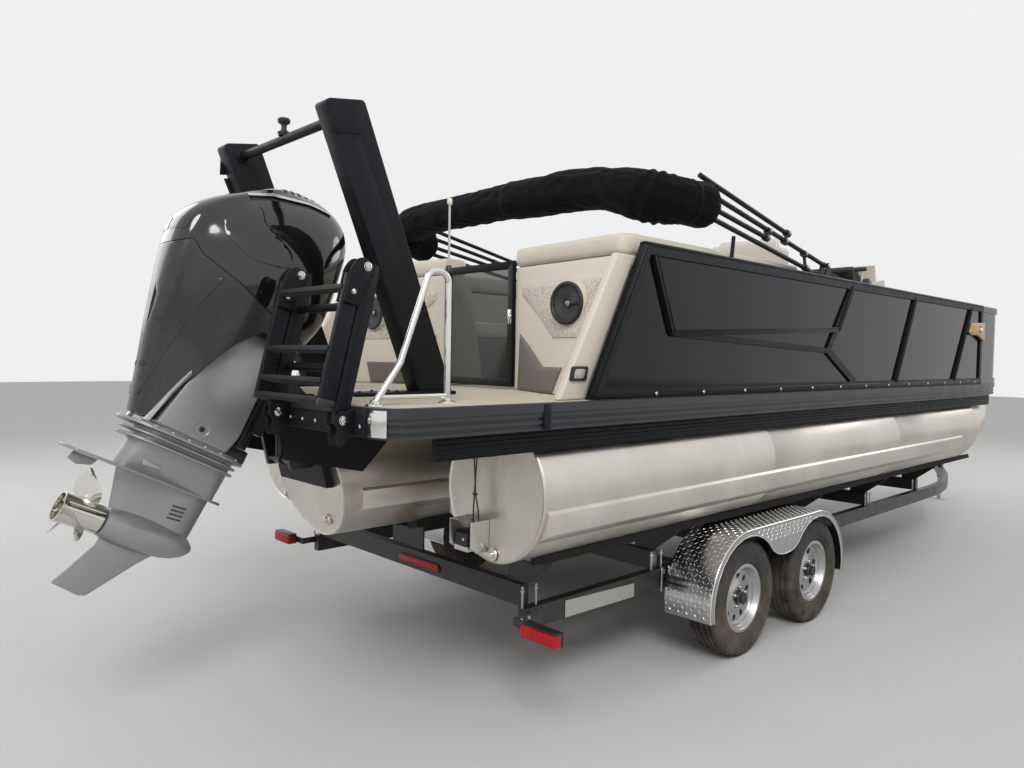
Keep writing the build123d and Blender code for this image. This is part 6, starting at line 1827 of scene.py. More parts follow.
class BOAT_OT_fenders(bpy.types.Operator):
    """Tread-plate fenders: sheet with lozenges, rolled lip, valance, bare disc and bracket arms"""
    bl_idname = "boat.fenders"
    bl_label = "Fenders"

    def execute(self, context):
        base = sizes().wheel_radius
        for side, sign in SIDES:
            line = fender_path(FENDER_RADIUS)
            rings = []
            for y, z, wy, wz in line:
                ring = []
                for x, lift in (
                    (FENDER_IN, 0.0), (1.280, 0.0), (1.2865, -0.0016), (1.2905, -0.006), (1.2905, -0.009), (1.286, -0.0055),
                    (1.280, -0.004), (FENDER_IN, -0.004)
                ):
                    ring.append(at(sign * x, y + wy * lift, z + wz * lift))
                rings.append(ring)
            sheet = skin("sheet", rings, "tread_plate", smooth_angle=40)
            # Valance with arches over the wheels and a tip between them
            outer = [(y - wy * 0.006, z - wz * 0.006) for y, z, wy, wz in line]
            arch = base + 0.034
            cut = []
            low = arch * arch - (base - FENDER_FOOT) ** 2
            start = pi + atan2(base - FENDER_FOOT, sqrt(low))
            for k in range(13):
                turn = start + (radians(40) - start) * k / 12
                cut.append((REAR_AXLE + arch * cos(turn), base + arch * sin(turn)))
            middle = (REAR_AXLE + FRONT_AXLE) / 2
            tip = [
                (middle - 0.105, 0.536), (middle - 0.055, 0.525), (middle, 0.521), (middle + 0.055, 0.525),
                (middle + 0.105, 0.536)
            ]
            mirrored = [(2 * middle - y, z) for y, z in reversed(cut)]
            inner_line = cut + tip + mirrored
            valance = side_plate("valance", outer + inner_line[::-1], *sorted((sign * 1.2875, sign * 1.2905)), "tread_plate", 0.0)
            edge = [at(sign * 1.2895, y, z) for y, z in inner_line]
            parts = [sheet, valance, rod("bead", edge, 0.0028, "polished", 8)]
            roll = [at(sign * 1.2845, y - wy * 0.0045, z - wz * 0.0045) for y, z, wy, wz in line]
            parts.append(rod("roll", roll, 0.0062, "polished", 12))
            for y, z, wy, wz in (line[0], line[-1]):
                parts.append(rod(
                    "foot", [at(sign * FENDER_IN, y - wy * 0.002, z + 0.002), at(sign * 1.284, y - wy * 0.002, z + 0.002)],
                    0.0035, "tread_plate", 8
                ))
            disc = turned(
                "disc", ((0, 0), (0, 0.019), (0.002, 0.0175), (0.0025, 0.014), (0.001, 0.012), (0.001, 0)),
                at(sign * 1.2905, middle + 0.020, 0.620), (sign, 0, 0), "zinc", 28
            )
            parts.append(disc)
            fender = joined("fender_skin_" + side, parts)
            fasten(fender, ROOT, ("fender_" + side,))
            # Lozenges over the sheet and the valance, in the brighter polished finish: a painted highlight, since they
            # are the same metal as the sheet
            pitch = sizes().tread_pitch
            spots = []
            run = [0.0]
            for k in range(1, len(line)):
                run.append(run[-1] + sqrt((line[k][0] - line[k - 1][0]) ** 2 + (line[k][1] - line[k - 1][1]) ** 2))
            rows = int(run[-1] / pitch)
            seg = 0
            for row in range(1, rows):
                s = row * pitch
                while seg < len(run) - 2 and run[seg + 1] < s:
                    seg += 1
                t = (s - run[seg]) / (run[seg + 1] - run[seg])
                y, z, wy, wz = (line[seg][i] * (1 - t) + line[seg + 1][i] * t for i in range(4))
                ahead = Vector((0, line[seg + 1][0] - line[seg][0], line[seg + 1][1] - line[seg][1])).normalized()
                for col in range(int(0.272 / pitch) + 1):
                    x = FENDER_IN + 0.010 + col * pitch
                    if x > 1.274:
                        continue
                    slant = Vector((1, 0, 0)) if (row + col) % 2 else Vector((-1, 0, 0))
                    spots.append((at(sign * x, y, z), Vector((0, wy, wz)), (ahead + slant).normalized()))
            # The lozenges' polished finish is a painted highlight over the darker tread plate
            lozenge = skin("lozenge", [
                [
                    Vector((a * 0.0115, b * 0.0036, -0.0004)) for a,
                    b in ((-1, 0), (-0.5, -1), (0.5, -1), (1, 0), (0.5, 1), (-0.5, 1))
                ],
                [
                    Vector((a * 0.0090, b * 0.0020, 0.0020)) for a,
                    b in ((-1, 0), (-0.5, -1), (0.5, -1), (1, 0), (0.5, 1), (-0.5, 1))
                ],
            ], "polished")
            for k in range(26):
                for j in range(4):
                    y = middle - 0.36 + k * pitch + (j % 2) * pitch * 0.5
                    z = 0.700 - j * pitch * 0.8
                    reach = min(sqrt((y - REAR_AXLE) ** 2 + (z - base) ** 2), sqrt((y - FRONT_AXLE) ** 2 + (z - base) ** 2))
                    if reach < arch + 0.012 or z < 0.545:
                        continue
                    slant = Vector((0, 1, 1)) if (k + j) % 2 else Vector((0, 1, -1))
                    spots.append((at(sign * 1.2905, y, z), Vector((sign, 0, 0)), slant.normalized()))
            scatter("lozenges_" + side, spots, lozenge, "polished", ROOT)
            # Folded bracket arms with U-bolts round the rail
            arms = []
            for y, way in ((1.277, 1), (2.926, -1)):
                plan = (
                    (0.979, y - 0.022), (0.979, y + 0.022), (1.105, y + 0.020 + way * 0.03), (1.190, y + way * 0.085),
                    (1.190, y + way * 0.070), (1.105, y - 0.020)
                )
                for low in (0.436, 0.471):
                    arms.append(prism(
                        "leaf", plan, lambda a, b, c, sign=sign: at(sign * a, b, c), low, low + 0.004, "trailer_black", 0.001
                    ))
                arms.append(prism(
                    "web", ((0.979, y - 0.022), (0.983, y - 0.022), (0.983, y + 0.022), (0.979, y + 0.022)), lambda a, b, c,
                    sign=sign: at(sign * a, b, c), 0.405, 0.505, "trailer_black", 0.001
                ))
                for dy in (-0.033, 0.033):
                    arms.append(rod(
                        "u_bolt", [at(sign * 0.991, y + dy, 0.392), at(sign * 0.991, y + dy, 0.524)], 0.0048, "zinc", 10
                    ))
                    for z in (0.396, 0.516):
                        arms.append(turned(
                            "nut", ((0, 0), (0, 0.0085), (0.007, 0.0085), (0.008, 0.007), (0.008, 0)),
                            at(sign * 0.991, y + dy, z - 0.004), (0, 0, 1), "zinc", 6
                        ))
            fasten(joined("fender_arms_" + side, arms), ROOT)
        return {"FINISHED"}


class BOAT_OT_trailer_fittings(bpy.types.Operator):
    """Tail lamps with housings and brackets, oval lamp, bare plate and U-bolts"""
    bl_idname = "boat.trailer_fittings"
    bl_label = "Trailer fittings"

    def execute(self, context):
        parts = []
        for low, high, sign in ((1.082, 1.291, 1), (-1.249, -1.063, -1)):
            lens = rounded(block("lens", at(low, 0.056, 0.446), at(high, 0.100, 0.501), "lamp_red"), 0.005, 3)
            parts.append(lens)
            for k in range(7):
                x = low + (high - low) * (k + 0.5) / 7
                parts.append(rod("rib", [at(x, 0.0557, 0.452), at(x, 0.0557, 0.495)], 0.0014, "lamp_red", 6))
            parts.append(rounded(
                block("housing", at(low - 0.002, 0.062, 0.499), at(high + 0.001 * sign, 0.116, 0.510), "trailer_black"), 0.003, 2
            ))
            parts.append(rounded(block("case", at(low, 0.099, 0.446), at(high, 0.115, 0.508), "black_plastic"), 0.003, 2))
            inner = 0.979 if sign > 0 else -0.979
            lows, highs = sorted((inner, low + 0.02 if sign > 0 else high - 0.02))
            parts.append(rounded(block("bracket", at(lows, 0.112, 0.456), at(highs, 0.120, 0.494), "trailer_black"), 0.002, 2))
            lows, highs = sorted((inner, inner + 0.006 * sign))
            parts.append(rounded(block("foot", at(lows, 0.115, 0.456), at(highs, 0.234, 0.494), "trailer_black"), 0.002, 2))
            for y in (0.155, 0.205):
                parts.append(turned(
                    "bolt", ((0, 0), (0, 0.009), (0.006, 0.009), (0.007, 0.007), (0.007, 0)), at(inner + 0.006 * sign, y, 0.475),
                    (sign, 0, 0), "zinc", 6
                ))

        def oval(x_low, x_high, z_low, z_high, steps=9):
            half = (z_high - z_low) / 2
            z = (z_low + z_high) / 2
            ring = [(
                x_high - half + half * cos(pi * k / steps - pi / 2), z + half * sin(pi * k / steps - pi / 2)
            ) for k in range(steps + 1)]
            return ring + [(
                x_low + half + half * cos(pi * k / steps + pi / 2), z + half * sin(pi * k / steps + pi / 2)
            ) for k in range(steps + 1)]

        across = lambda a, b, c: at(a, c, b)
        parts.append(prism("oval_rim", oval(-0.042, 0.322, 0.534, 0.580), across, 0.198, 0.2075, "black_plastic", 0.002))
        parts.append(prism("oval_lens", oval(-0.034, 0.314, 0.541, 0.573), across, 0.1945, 0.206, "lamp_red", 0.002))
        for k in range(9):
            x = -0.01 + 0.0375 * k
            parts.append(turned(
                "diode", ((0, 0), (0, 0.0065), (0.0012, 0.005), (0.0016, 0)), at(x, 0.1947, 0.557), (0, -1, 0), "lamp_red", 12
            ))
        fasten(joined("trailer_lamp_skin", parts), ROOT, ("trailer_lamps",))

        plate = [rounded(
            prism(
                "plate", ((0.465, 0.414), (1.012, 0.404), (1.012, 0.478), (0.465, 0.498)), lambda a, b, c: at(c, a, b), 0.9775,
                0.9800, "bare_plate"
            ),
            0.0008, 1
        )]
        for y, z in ((0.480, 0.456), (1.000, 0.441)):
            plate.append(turned(
                "rivet", ((0, 0), (0, 0.005), (0.0015, 0.0042), (0.002, 0)), at(0.9799, y, z), (1, 0, 0), "zinc", 14
            ))
        fasten(joined("bare_rail_plate", plate), ROOT)

        # U-bolts that clamp the cross members on the rails, with nuts on top
        bolts = []
        for side, sign in SIDES:
            for y in (0.232, 1.230, 2.980, 4.150, 5.300):
                if y > 5.0:
                    x = sign * 0.930
                else:
                    x = sign * 0.9605
                for dy in (-0.045, 0.045):
                    bolts.append(rod("u_bolt", [at(x, y + dy, 0.515), at(x, y + dy, 0.612)], 0.0055, "zinc", 10))
                    bolts.append(turned(
                        "nut", ((0, 0), (0, 0.010), (0.009, 0.010), (0.010, 0.008), (0.010, 0)), at(x, y + dy, 0.592), (0, 0, 1),
                        "zinc", 6
                    ))
                    bolts.append(turned(
                        "tip", ((0, 0), (0, 0.0055), (0.003, 0.004), (0.005, 0.0)), at(x, y + dy, 0.612), (0, 0, 1), "zinc", 10
                    ))
        fasten(joined("trailer_u_bolts", bolts), ROOT)
        return {"FINISHED"}


# ---------------------------------------------------------------- gates and fence

GATE_FRAME, GATE_THICK, GATE_HIGH = 0.040, 0.030, 0.715


def gate_parts(corner, way, width, hinge, lug, fill):
    """Four mitred bars, beads, a pane and two hinge barrels of a gate leaf that starts at its hinge corner."""
    way = Vector(way)
    normal = way.cross(Vector((0, 0, 1)))
    foot = sizes().deck_top + 0.015
    start = at(corner[0], corner[1], foot)

    def place(a, b, c):
        return start + way * a + Vector((0, 0, b)) + normal * c

    half = GATE_THICK / 2
    inner = GATE_FRAME
    w, h = width, GATE_HIGH
    parts = []
    for ring in (
        ((0, 0), (w, 0), (w - inner, inner), (inner, inner)), ((w, 0), (w, h), (w - inner, h - inner), (w - inner, inner)),
        ((w, h), (0, h), (inner, h - inner), (w - inner, h - inner)), ((0, h), (0, 0), (inner, inner), (inner, h - inner)),
    ):
        parts.append(prism("bar", ring, place, -half, half, "black_coat", 0.0025, 2))
    for level in (0.0065, -0.0065):
        loop = [
            place(a, b, level) for a,
            b in ((inner, inner), (w - inner, inner), (w - inner, h - inner), (inner, h - inner), (inner, inner))
        ]
        for k in range(4):
            parts.append(rod("bead", [loop[k], loop[k + 1]], 0.0035, "rubber", 8))
    pane = (
        (inner - 0.002, inner - 0.002), (w - inner + 0.002, inner - 0.002), (w - inner + 0.002, h - inner + 0.002),
        (inner - 0.002, h - inner + 0.002)
    )
    parts.append(prism("pane", pane, place, -0.004, 0.004, fill))
    for low in (0.090, GATE_HIGH - 0.090 - 0.070):
        origin = at(hinge[0], hinge[1], foot + low)
        parts.append(turned(
            "barrel", ((0, 0), (0, 0.0058), (0.0008, 0.0065), (0.0692, 0.0065), (0.070, 0.0058), (0.070, 0)), origin, (0, 0, 1),
            "black_coat", 24
        ))
        reach = at(lug[0], lug[1], foot + low) - origin
        side = Vector((-reach.y, reach.x, 0)).normalized() * 0.0062
        corners = [origin + side, origin - side, origin + reach - side, origin + reach + side]
        parts.append(skin(
            "lug", [[c + Vector((0, 0, 0.001)) for c in corners], [c + Vector((0, 0, 0.069)) for c in corners]], "black_coat"
        ))
    return parts, place


class BOAT_OT_gates(bpy.types.Operator):
    """Stern gate with smoked glass, side and bow gates with gloss panels, and their latches"""
    bl_idname = "boat.gates"
    bl_label = "Gates"

    def execute(self, context):
        for name, body, corner, way, width, hinge, lug, fill in (
            ("stern_gate", "gate_stern", (-0.306, 0.727), (1, 0, 0), 0.612, (-0.302, 0.752), (-0.292, 0.736), "smoked_glass"),
            ("bow_gate", "gate_bow", (-0.326, 6.920), (1, 0, 0), 0.652, (-0.328, 6.895), (-0.316, 6.911), "gloss_black"),
            ("side_gate", "gate_side", (-1.220, 3.238), (0, 1, 0), 0.734, (-1.190, 3.244), (-1.211, 3.252), "gloss_black"),
        ):
            parts, place = gate_parts(corner, way, width, hinge, lug, fill)
            far = width - GATE_FRAME / 2
            for sign in (1, -1):
                parts.append(prism(
                    "latch_plate", ((far - 0.014, 0.36), (far + 0.014, 0.36), (far + 0.014, 0.44), (far - 0.014, 0.44)), place,
                    *sorted((sign * 0.0148, sign * 0.0172)), "polished", 0.001
                ))
            knob = place(far, 0.40, 0.0165)
            outward = (place(0, 0, 1) - place(0, 0, 0)).normalized()
            parts.append(turned(
                "knob", ((0, 0), (0, 0.006), (0.004, 0.006), (0.005, 0.010), (0.008, 0.011), (0.010, 0.009), (0.010, 0)), knob,
                outward, "polished", 24
            ))
            fasten(joined(name + "_skin", parts), body, (name,))
        return {"FINISHED"}


# ---------------------------------------------------------------- canopy

BOOT_LINE = (
    (1.196, 1.268, 2.500), (1.180, 1.190, 2.502), (1.135, 1.085, 2.512), (1.030, 1.005, 2.536), (0.880, 0.985, 2.578), (0.700, 0.988, 2.620),
    (0.520, 0.992, 2.640), (0.260, 1.000, 2.644), (0.0, 1.000, 2.646), (-0.260, 1.000, 2.644), (-0.520, 0.996, 2.643), (-0.760, 0.994, 2.638),
    (-0.960, 0.994, 2.626), (-1.080, 1.012, 2.596), (-1.150, 1.070, 2.548), (-1.182, 1.160, 2.512), (-1.196, 1.268, 2.500),
)
BOW_TUBES = (
    ((1.20, 2.5854), (2.703, 2.316)), ((1.20, 2.6488), (2.168, 2.462)), ((1.20, 2.518), (1.912, 2.408)),
    ((1.20, 2.4606), (2.440, 2.272))
)


class BOAT_OT_canopy(bpy.types.Operator):
    """The folded canopy in its boot, with folds, seam and end caps, and its folded bows"""
    bl_idname = "boat.canopy"
    bl_label = "Folded canopy"

    def execute(self, context):
        line = blended([at(*p) for p in BOOT_LINE], 14)
        around = 56
        count = len(line) - 1
        radius = sizes().boot_radius
        rings, seam = [], []
        frames = frame_along(line)
        for k, (p, _, side, up) in enumerate(frames):
            if up.z < 0:
                side, up = -side, -up
            share = k / count
            reach = abs(share - 0.5) * 2
            bulk = radius * (1.02 + 0.20 * max(0.0, 1 - abs(reach - 0.62) / 0.22) + 0.07 * max(0.0, 1 - abs(reach - 0.93) / 0.12))
            if p.x < 0:
                bulk *= 0.94
            ends = min(k, count - k)
            cap = (0.35, 0.70, 0.88, 0.96, 1.0)[min(ends, 4)]
            hem = 1.035 if ends in (20, 21) else 0.985 if ends in (18, 23) else 1.0
            ring = []
            for i in range(around):
                turn = 2 * pi * i / around
                c, s = cos(turn), sin(turn)
                sag = 1.0 + (0.10 * abs(s) if s < 0 else 0.0) - (0.06 if s < -0.86 else 0.0)
                slow = noise.noise(Vector((p.x * 3.1, p.y * 3.1, 4.0 + c * 0.9 + s * 1.4)))
                crease = abs(noise.noise(Vector((p.x * 8.0 + c * 1.6, p.y * 5.0 + s * 2.6, 11.0 + s))))
                fine = abs(noise.noise(Vector((p.x * 19.0 + s * 4.0, 3.0 + c * 5.0, p.y * 13.0))))
                pleat = 0.010 * max(0.0, 1 - abs(reach - 0.66) / 0.10) * sin(k * 1.15 + turn * 2)
                swell = bulk * sag * (1 + 0.07 * slow) * hem + 0.016 * (0.25 - crease) + 0.007 * (0.2 - fine) + pleat
                ring.append(p + (side * c * 1.02 + up * s * 0.96) * swell * cap)
            rings.append(ring)
            if ends > 3:
                edge = ring[around // 2 - 3]
                seam.append(edge + (edge - p).normalized() * 0.0015)
        boot = skin("canopy_boot", rings, "canvas", smooth_angle=80)
        smooth = boot.modifiers.new("smooth", "SUBSURF")
        smooth.levels = smooth.render_levels = 1
        settle(boot)
        boot.data.shade_smooth()
        fasten(boot, "bimini", ("bimini_boot",))
        fasten(rod("boot_seam", seam, 0.0032, "canvas", 8), "bimini")

        parts = []
        for side, sign in SIDES:
            x = 1.200 * sign
            for aft, fore in BOW_TUBES:
                a, b = at(x, *aft), at(x, *fore)
                way = (b - a).normalized()
                parts.append(rod("bow", [a, b], 0.014, "black_coat", 20))
                if fore[0] < 2.7:
                    parts.append(turned(
                        "end", ((-0.006, 0), (-0.006, 0.0165), (0.030, 0.0165), (0.036, 0.0155), (0.040, 0.011), (0.041, 0)),
                        b - way * 0.012, way, "black_plastic", 24
                    ))
                else:
                    parts.append(turned(
                        "eye", ((-0.026, 0), (-0.026, 0.0175), (0.0, 0.0175), (0.010, 0.0165), (0.014, 0.010), (0.014, 0)),
                        b - way * 0.010, way, "black_plastic", 24
                    ))
            for top, foot in (
                ((2.168, 2.462), (2.140, 2.412)), ((1.912, 2.408), (1.935, 2.448)), ((2.420, 2.278), (2.400, 2.362))
            ):
                parts.append(rod("link", [at(x, *top), at(x, *foot)], 0.0105, "black_plastic", 14))
                for spot in (top, foot):
                    centre = at(x, *spot)
                    parts.append(turned(
                        "clamp", ((-0.019, 0), (-0.019, 0.0205), (-0.017, 0.022), (0.017, 0.022), (0.019, 0.0205), (0.019, 0)),
                        centre, Vector((0, 0.984, -0.176)), "black_plastic", 24
                    ))
                    parts.append(turned(
                        "clamp_bolt", ((0.016, 0), (0.016, 0.0065), (0.022, 0.006), (0.024, 0.004), (0.024, 0)), centre,
                        (sign, 0, 0), "polished", 14
                    ))
            pin = at(x, 2.703, 2.316)
            parts.append(turned(
                "pivot",
                (
                    (-0.0335, 0), (-0.0335, 0.011), (-0.0285, 0.0125), (-0.027, 0.0078), (0.027, 0.0078), (0.0285, 0.0125),
                    (0.0335, 0.011), (0.0335, 0)
                ),
                pin, (1, 0, 0), "polished", 28
            ))
        fasten(joined("canopy_bows", parts), "bimini", ("bimini_bows",))
        return {"FINISHED"}


# ---------------------------------------------------------------- boarding ladder

LADDER_RAILS = (0.545, 1.040)
LADDER_RUN = Vector((0.133, 0.550))
LADDER_LONG = LADDER_RUN.length


def ladder_at(s, n, x):
    """A point of the ladder from its place up the inner section, its place aft of it and across."""
    up = LADDER_RUN / LADDER_LONG
    return at(x, -0.840 + s * up.x - n * up.y, 1.445 + s * up.y + n * up.x)


def ladder_plate(outline, low, high, finish, bevel=0.003):
    return prism("plate", outline, ladder_at, low, high, finish, bevel, 2)


def ladder_bolt(s, n, x, way, radius=0.0145):
    """A flanged button bolt that faces outward."""
    profile = (
        (0, 0), (0, radius * 1.18), (0.0022, radius * 1.18), (0.003, radius), (0.007, radius * 0.92), (0.0095, radius * 0.6),
        (0.0095, 0.0048), (0.0065, 0.0046), (0.0065, 0)
    )
    return turned("bolt", profile, ladder_at(s, n, x), (way, 0, 0), "stainless", 28)


class BOAT_OT_ladder(bpy.types.Operator):
    """Boarding ladder: rails with castings and bolts, treads with ribs, bracket with cheeks"""
    bl_idname = "boat.ladder"
    bl_label = "Boarding ladder"

    def execute(self, context):
        long = LADDER_LONG
        gap, offset, end = 0.068, 0.034, 0.040
        inner, outer = [], []
        for x in LADDER_RAILS:
            rail = (
                (-0.018, -0.024), (0.040, -0.031), (long - 0.020, -0.031), (long + 0.022, -0.022), (long + 0.022, 0.022),
                (long - 0.020, 0.031), (0.040, 0.031), (-0.018, 0.024)
            )
            inner.append(ladder_plate(rail, x - 0.014, x + 0.014, "black_coat", 0.0045))
            for edge in (-0.0145, 0.0145):
                groove = ((0.060, -0.007), (long - 0.050, -0.007), (long - 0.050, 0.007), (0.060, 0.007))
                inner.append(ladder_plate(groove, x + edge - 0.0012, x + edge + 0.0012, "black_coat", 0.0008))
            inner.append(ladder_plate(
                (
                    (long - 0.034, 0.028), (long - 0.030, -0.004), (long + 0.012, 0.0125), (long + 0.0205, 0.028),
                    (long + 0.0205, 0.040), (long + 0.010, 0.053), (long - 0.008, 0.055), (long - 0.021, 0.044)
                ),
                x - 0.014, x + 0.014, "black_coat", 0.003
            ))
            for way in (1, -1):
                inner.append(ladder_bolt(0, 0, x + way * 0.0325, way))
                inner.append(ladder_bolt(long, offset, x + way * 0.0285, way))
            inner.append(rod("pin", [ladder_at(0, 0, x - 0.033), ladder_at(0, 0, x + 0.033)], 0.0085, "stainless", 16))
            inner.append(rod(
                "pin", [ladder_at(long, offset, x - 0.029), ladder_at(long, offset, x + 0.029)], 0.0085, "stainless", 16
            ))

            outline = ((end, gap - 0.031), (long - 0.062, gap - 0.031), (long - 0.040, gap + 0.031), (end, gap + 0.031))
            outer.append(ladder_plate(outline, x - 0.014, x + 0.014, "black_coat", 0.0045))
            foot = (
                (end - 0.003, gap - 0.0325), (end + 0.022, gap - 0.0325), (end + 0.022, gap + 0.0325), (end - 0.003, gap + 0.0325)
            )
            outer.append(ladder_plate(foot, x - 0.0155, x + 0.0155, "black_plastic", 0.005))
            head = [(long - 0.150, gap + 0.031), (long - 0.030, gap + 0.031)]
            start, middle, stop = Vector((long - 0.030, gap + 0.031)), Vector((long + 0.024, offset + 0.032)), Vector((long + 0.010, offset - 0.026))
            for k in range(1, 11):
                t = k / 10
                head.append(tuple(start * (1 - t) * (1 - 2 * t) + middle * 4 * t * (1 - t) + stop * t * (2 * t - 1)))
            head += [(long - 0.024, offset - 0.022), (long - 0.062, gap - 0.040), (long - 0.150, gap - 0.031)]
            for cheek in (x - 0.024, x + 0.024):
                outer.append(ladder_plate(head, cheek - 0.004, cheek + 0.004, "black_coat", 0.0022))
            for way in (1, -1):
                outer.append(ladder_bolt(long - 0.105, gap, x + way * 0.028, way, 0.0085))
        for s in (0.190, 0.430):
            bar = [ladder_at(s, 0, LADDER_RAILS[0] + 0.010), ladder_at(s, 0, LADDER_RAILS[1] - 0.010)]
            inner.append(rod("rung", bar, 0.016, "black_coat", 24))
            for x, way in ((LADDER_RAILS[0] + 0.014, 1), (LADDER_RAILS[1] - 0.014, -1)):
                inner.append(turned(
                    "weld", ((0, 0.012), (0, 0.0205), (0.002, 0.0195), (0.0045, 0.0165), (0.0045, 0.012), (0, 0.012)),
                    ladder_at(s, 0, x), (way, 0, 0), "black_coat", 28
                ))
        for s, depth in ((0.055, 0.034), (0.124, 0.062), (0.242, 0.034), (0.473, 0.034)):
            centre = gap + 0.034 - depth / 2
            section = [tuple(p) for p in softened(
                [Vector(p) for p in (
                    (s - 0.012, centre - depth / 2), (s + 0.012, centre - depth / 2), (s + 0.012, centre + depth / 2),
                    (s - 0.012, centre + depth / 2)
                )],
                0.007, 4
            )]
            outer.append(ladder_plate(section, LADDER_RAILS[0] + 0.008, LADDER_RAILS[1] - 0.008, "black_coat", 0.0))
            ribs = int(depth / 0.008)
            for k in range(ribs):
                n = centre - depth / 2 + 0.006 + k * (depth - 0.012) / max(1, ribs - 1)
                outer.append(rod(
                    "grip",
                    [ladder_at(s - 0.0125, n, LADDER_RAILS[0] + 0.030), ladder_at(s - 0.0125, n, LADDER_RAILS[1] - 0.030)],
                    0.0016, "rubber", 6
                ))
        fasten(joined("ladder_inner_skin", inner), "ladder_lower", ("ladder_inner",))
        fasten(joined("ladder_outer_skin", outer), "ladder_upper", ("ladder_outer",))

        parts = []
        for x in LADDER_RAILS:
            for cheek in (x - 0.027, x + 0.027):
                shape = [(-0.788, 1.386), (-0.788, 1.486), (-0.815, 1.485)]
                for k in range(11):
                    turn = radians(60 + 175 * k / 10)
                    shape.append((-0.840 + 0.036 * cos(turn), 1.445 + 0.036 * sin(turn)))
                shape += [(-0.866, 1.385), (-0.858, 1.352), (-0.838, 1.350), (-0.822, 1.372), (-0.806, 1.386)]
                parts.append(side_plate("cheek", shape, cheek - 0.005, cheek + 0.005, "black_coat", 0.003))
        back = rounded(block("back", at(0.500, -0.7985, 1.388), at(1.147, -0.790, 1.462), "black_coat"), 0.002, 2)
        parts.append(back)
        for x in (0.600, 0.700, 0.800, 0.900, 0.985, 1.115):
            parts.append(turned(
                "screw", ((0, 0), (0, 0.0085), (0.002, 0.008), (0.004, 0.005), (0.0045, 0)), at(x, -0.7985, 1.425), (0, -1, 0),
                "stainless", 18
            ))
        fasten(joined("ladder_bracket_skin", parts), ROOT, ("ladder_bracket",))
        return {"FINISHED"}


# ---------------------------------------------------------------- sounder

class BOAT_OT_sounder(bpy.types.Operator):
    """Folded sheet box on the starboard log's cap, with its transducer block and screws"""
    bl_idname = "boat.sounder"
    bl_label = "Sounder box"

    def execute(self, context):
        left, right, low, high = 0.782, 0.928, 0.806, 0.950
        top = block("top", at(left, -0.108, high - 0.003), at(right, 0.001, high), "bare_aluminium")
        hole = [
            (0.8975 + a, -0.052 + b) for a,
            b in [(0.020 + 0.013 * cos(radians(t)), 0.013 * sin(radians(t))) for t in range(-90, 91, 20)] + [(-0.020 + 0.013 * cos(radians(t)), 0.013 * sin(radians(t))) for t in range(90, 271, 20)]
        ]
        hole = [(min(a, right - 0.006), b) for a, b in hole]
        combine(top, prism("hole", hole, lambda a, b, c: at(a, b, c), high - 0.010, high + 0.010, "bare_aluminium"), "DIFFERENCE")
        parts = [rounded(top, 0.0008, 1, 50)]
        for x in (left, right - 0.003):
            flap = ((-0.108, high - 0.002), (0.001, high - 0.002), (0.001, low), (-0.070, low), (-0.108, low + 0.030))
            parts.append(side_plate("flap", flap, x, x + 0.003, "bare_aluminium", 0.0008))
        parts.append(rounded(
            block("flange", at(left - 0.014, -0.004, low), at(left + 0.002, 0.0005, high), "bare_aluminium"), 0.0008, 1
        ))
        body = rounded(block("transducer", at(0.797, -0.091, 0.832), at(0.881, 0.000, 0.892), "black_plastic"), 0.010, 4)
        parts.append(body)
        parts.append(rounded(block("foot", at(0.792, -0.090, 0.8065), at(0.887, -0.001, 0.8315), "bare_aluminium"), 0.004, 3))
        parts.append(turned(
            "screw", ((0, 0), (0, 0.0075), (0.002, 0.007), (0.0035, 0.004), (0.0035, 0)), at(0.860, -0.0912, 0.862), (0, -1, 0),
            "stainless", 18
        ))
        for z in (0.835, 0.925):
            parts.append(turned(
                "screw", ((0, 0), (0, 0.006), (0.0015, 0.0055), (0.003, 0.003), (0.003, 0)), at(left - 0.008, -0.004, z),
                (0, -1, 0), "stainless", 16
            ))
        for x in (0.880, 0.915):
            parts.append(turned(
                "gland", ((0, 0), (0, 0.007), (0.006, 0.0065), (0.008, 0.0045), (0.008, 0)), at(x, -0.052, high - 0.008),
                (0, 0, 1), "rubber", 18
            ))
        fasten(joined("sounder_box", parts), ROOT)
        return {"FINISHED"}


# ---------------------------------------------------------------- fence trim and helm

FENCE_BARS = {
    "starboard": (
        ((0.322, 1.510), (0.705, 2.225)), ((3.070, 2.200), (2.850, 1.900)), ((3.900, 1.540), (4.270, 2.195)),
        ((5.260, 1.540), (5.700, 2.195)), ((0.940, 1.815), (2.850, 1.900)), ((0.775, 2.190), (0.940, 1.815))
    ),
    "port": (((0.322, 1.510), (0.705, 2.225)), ((5.260, 1.540), (5.700, 2.195)), ((0.775, 2.190), (0.940, 1.815))),
}


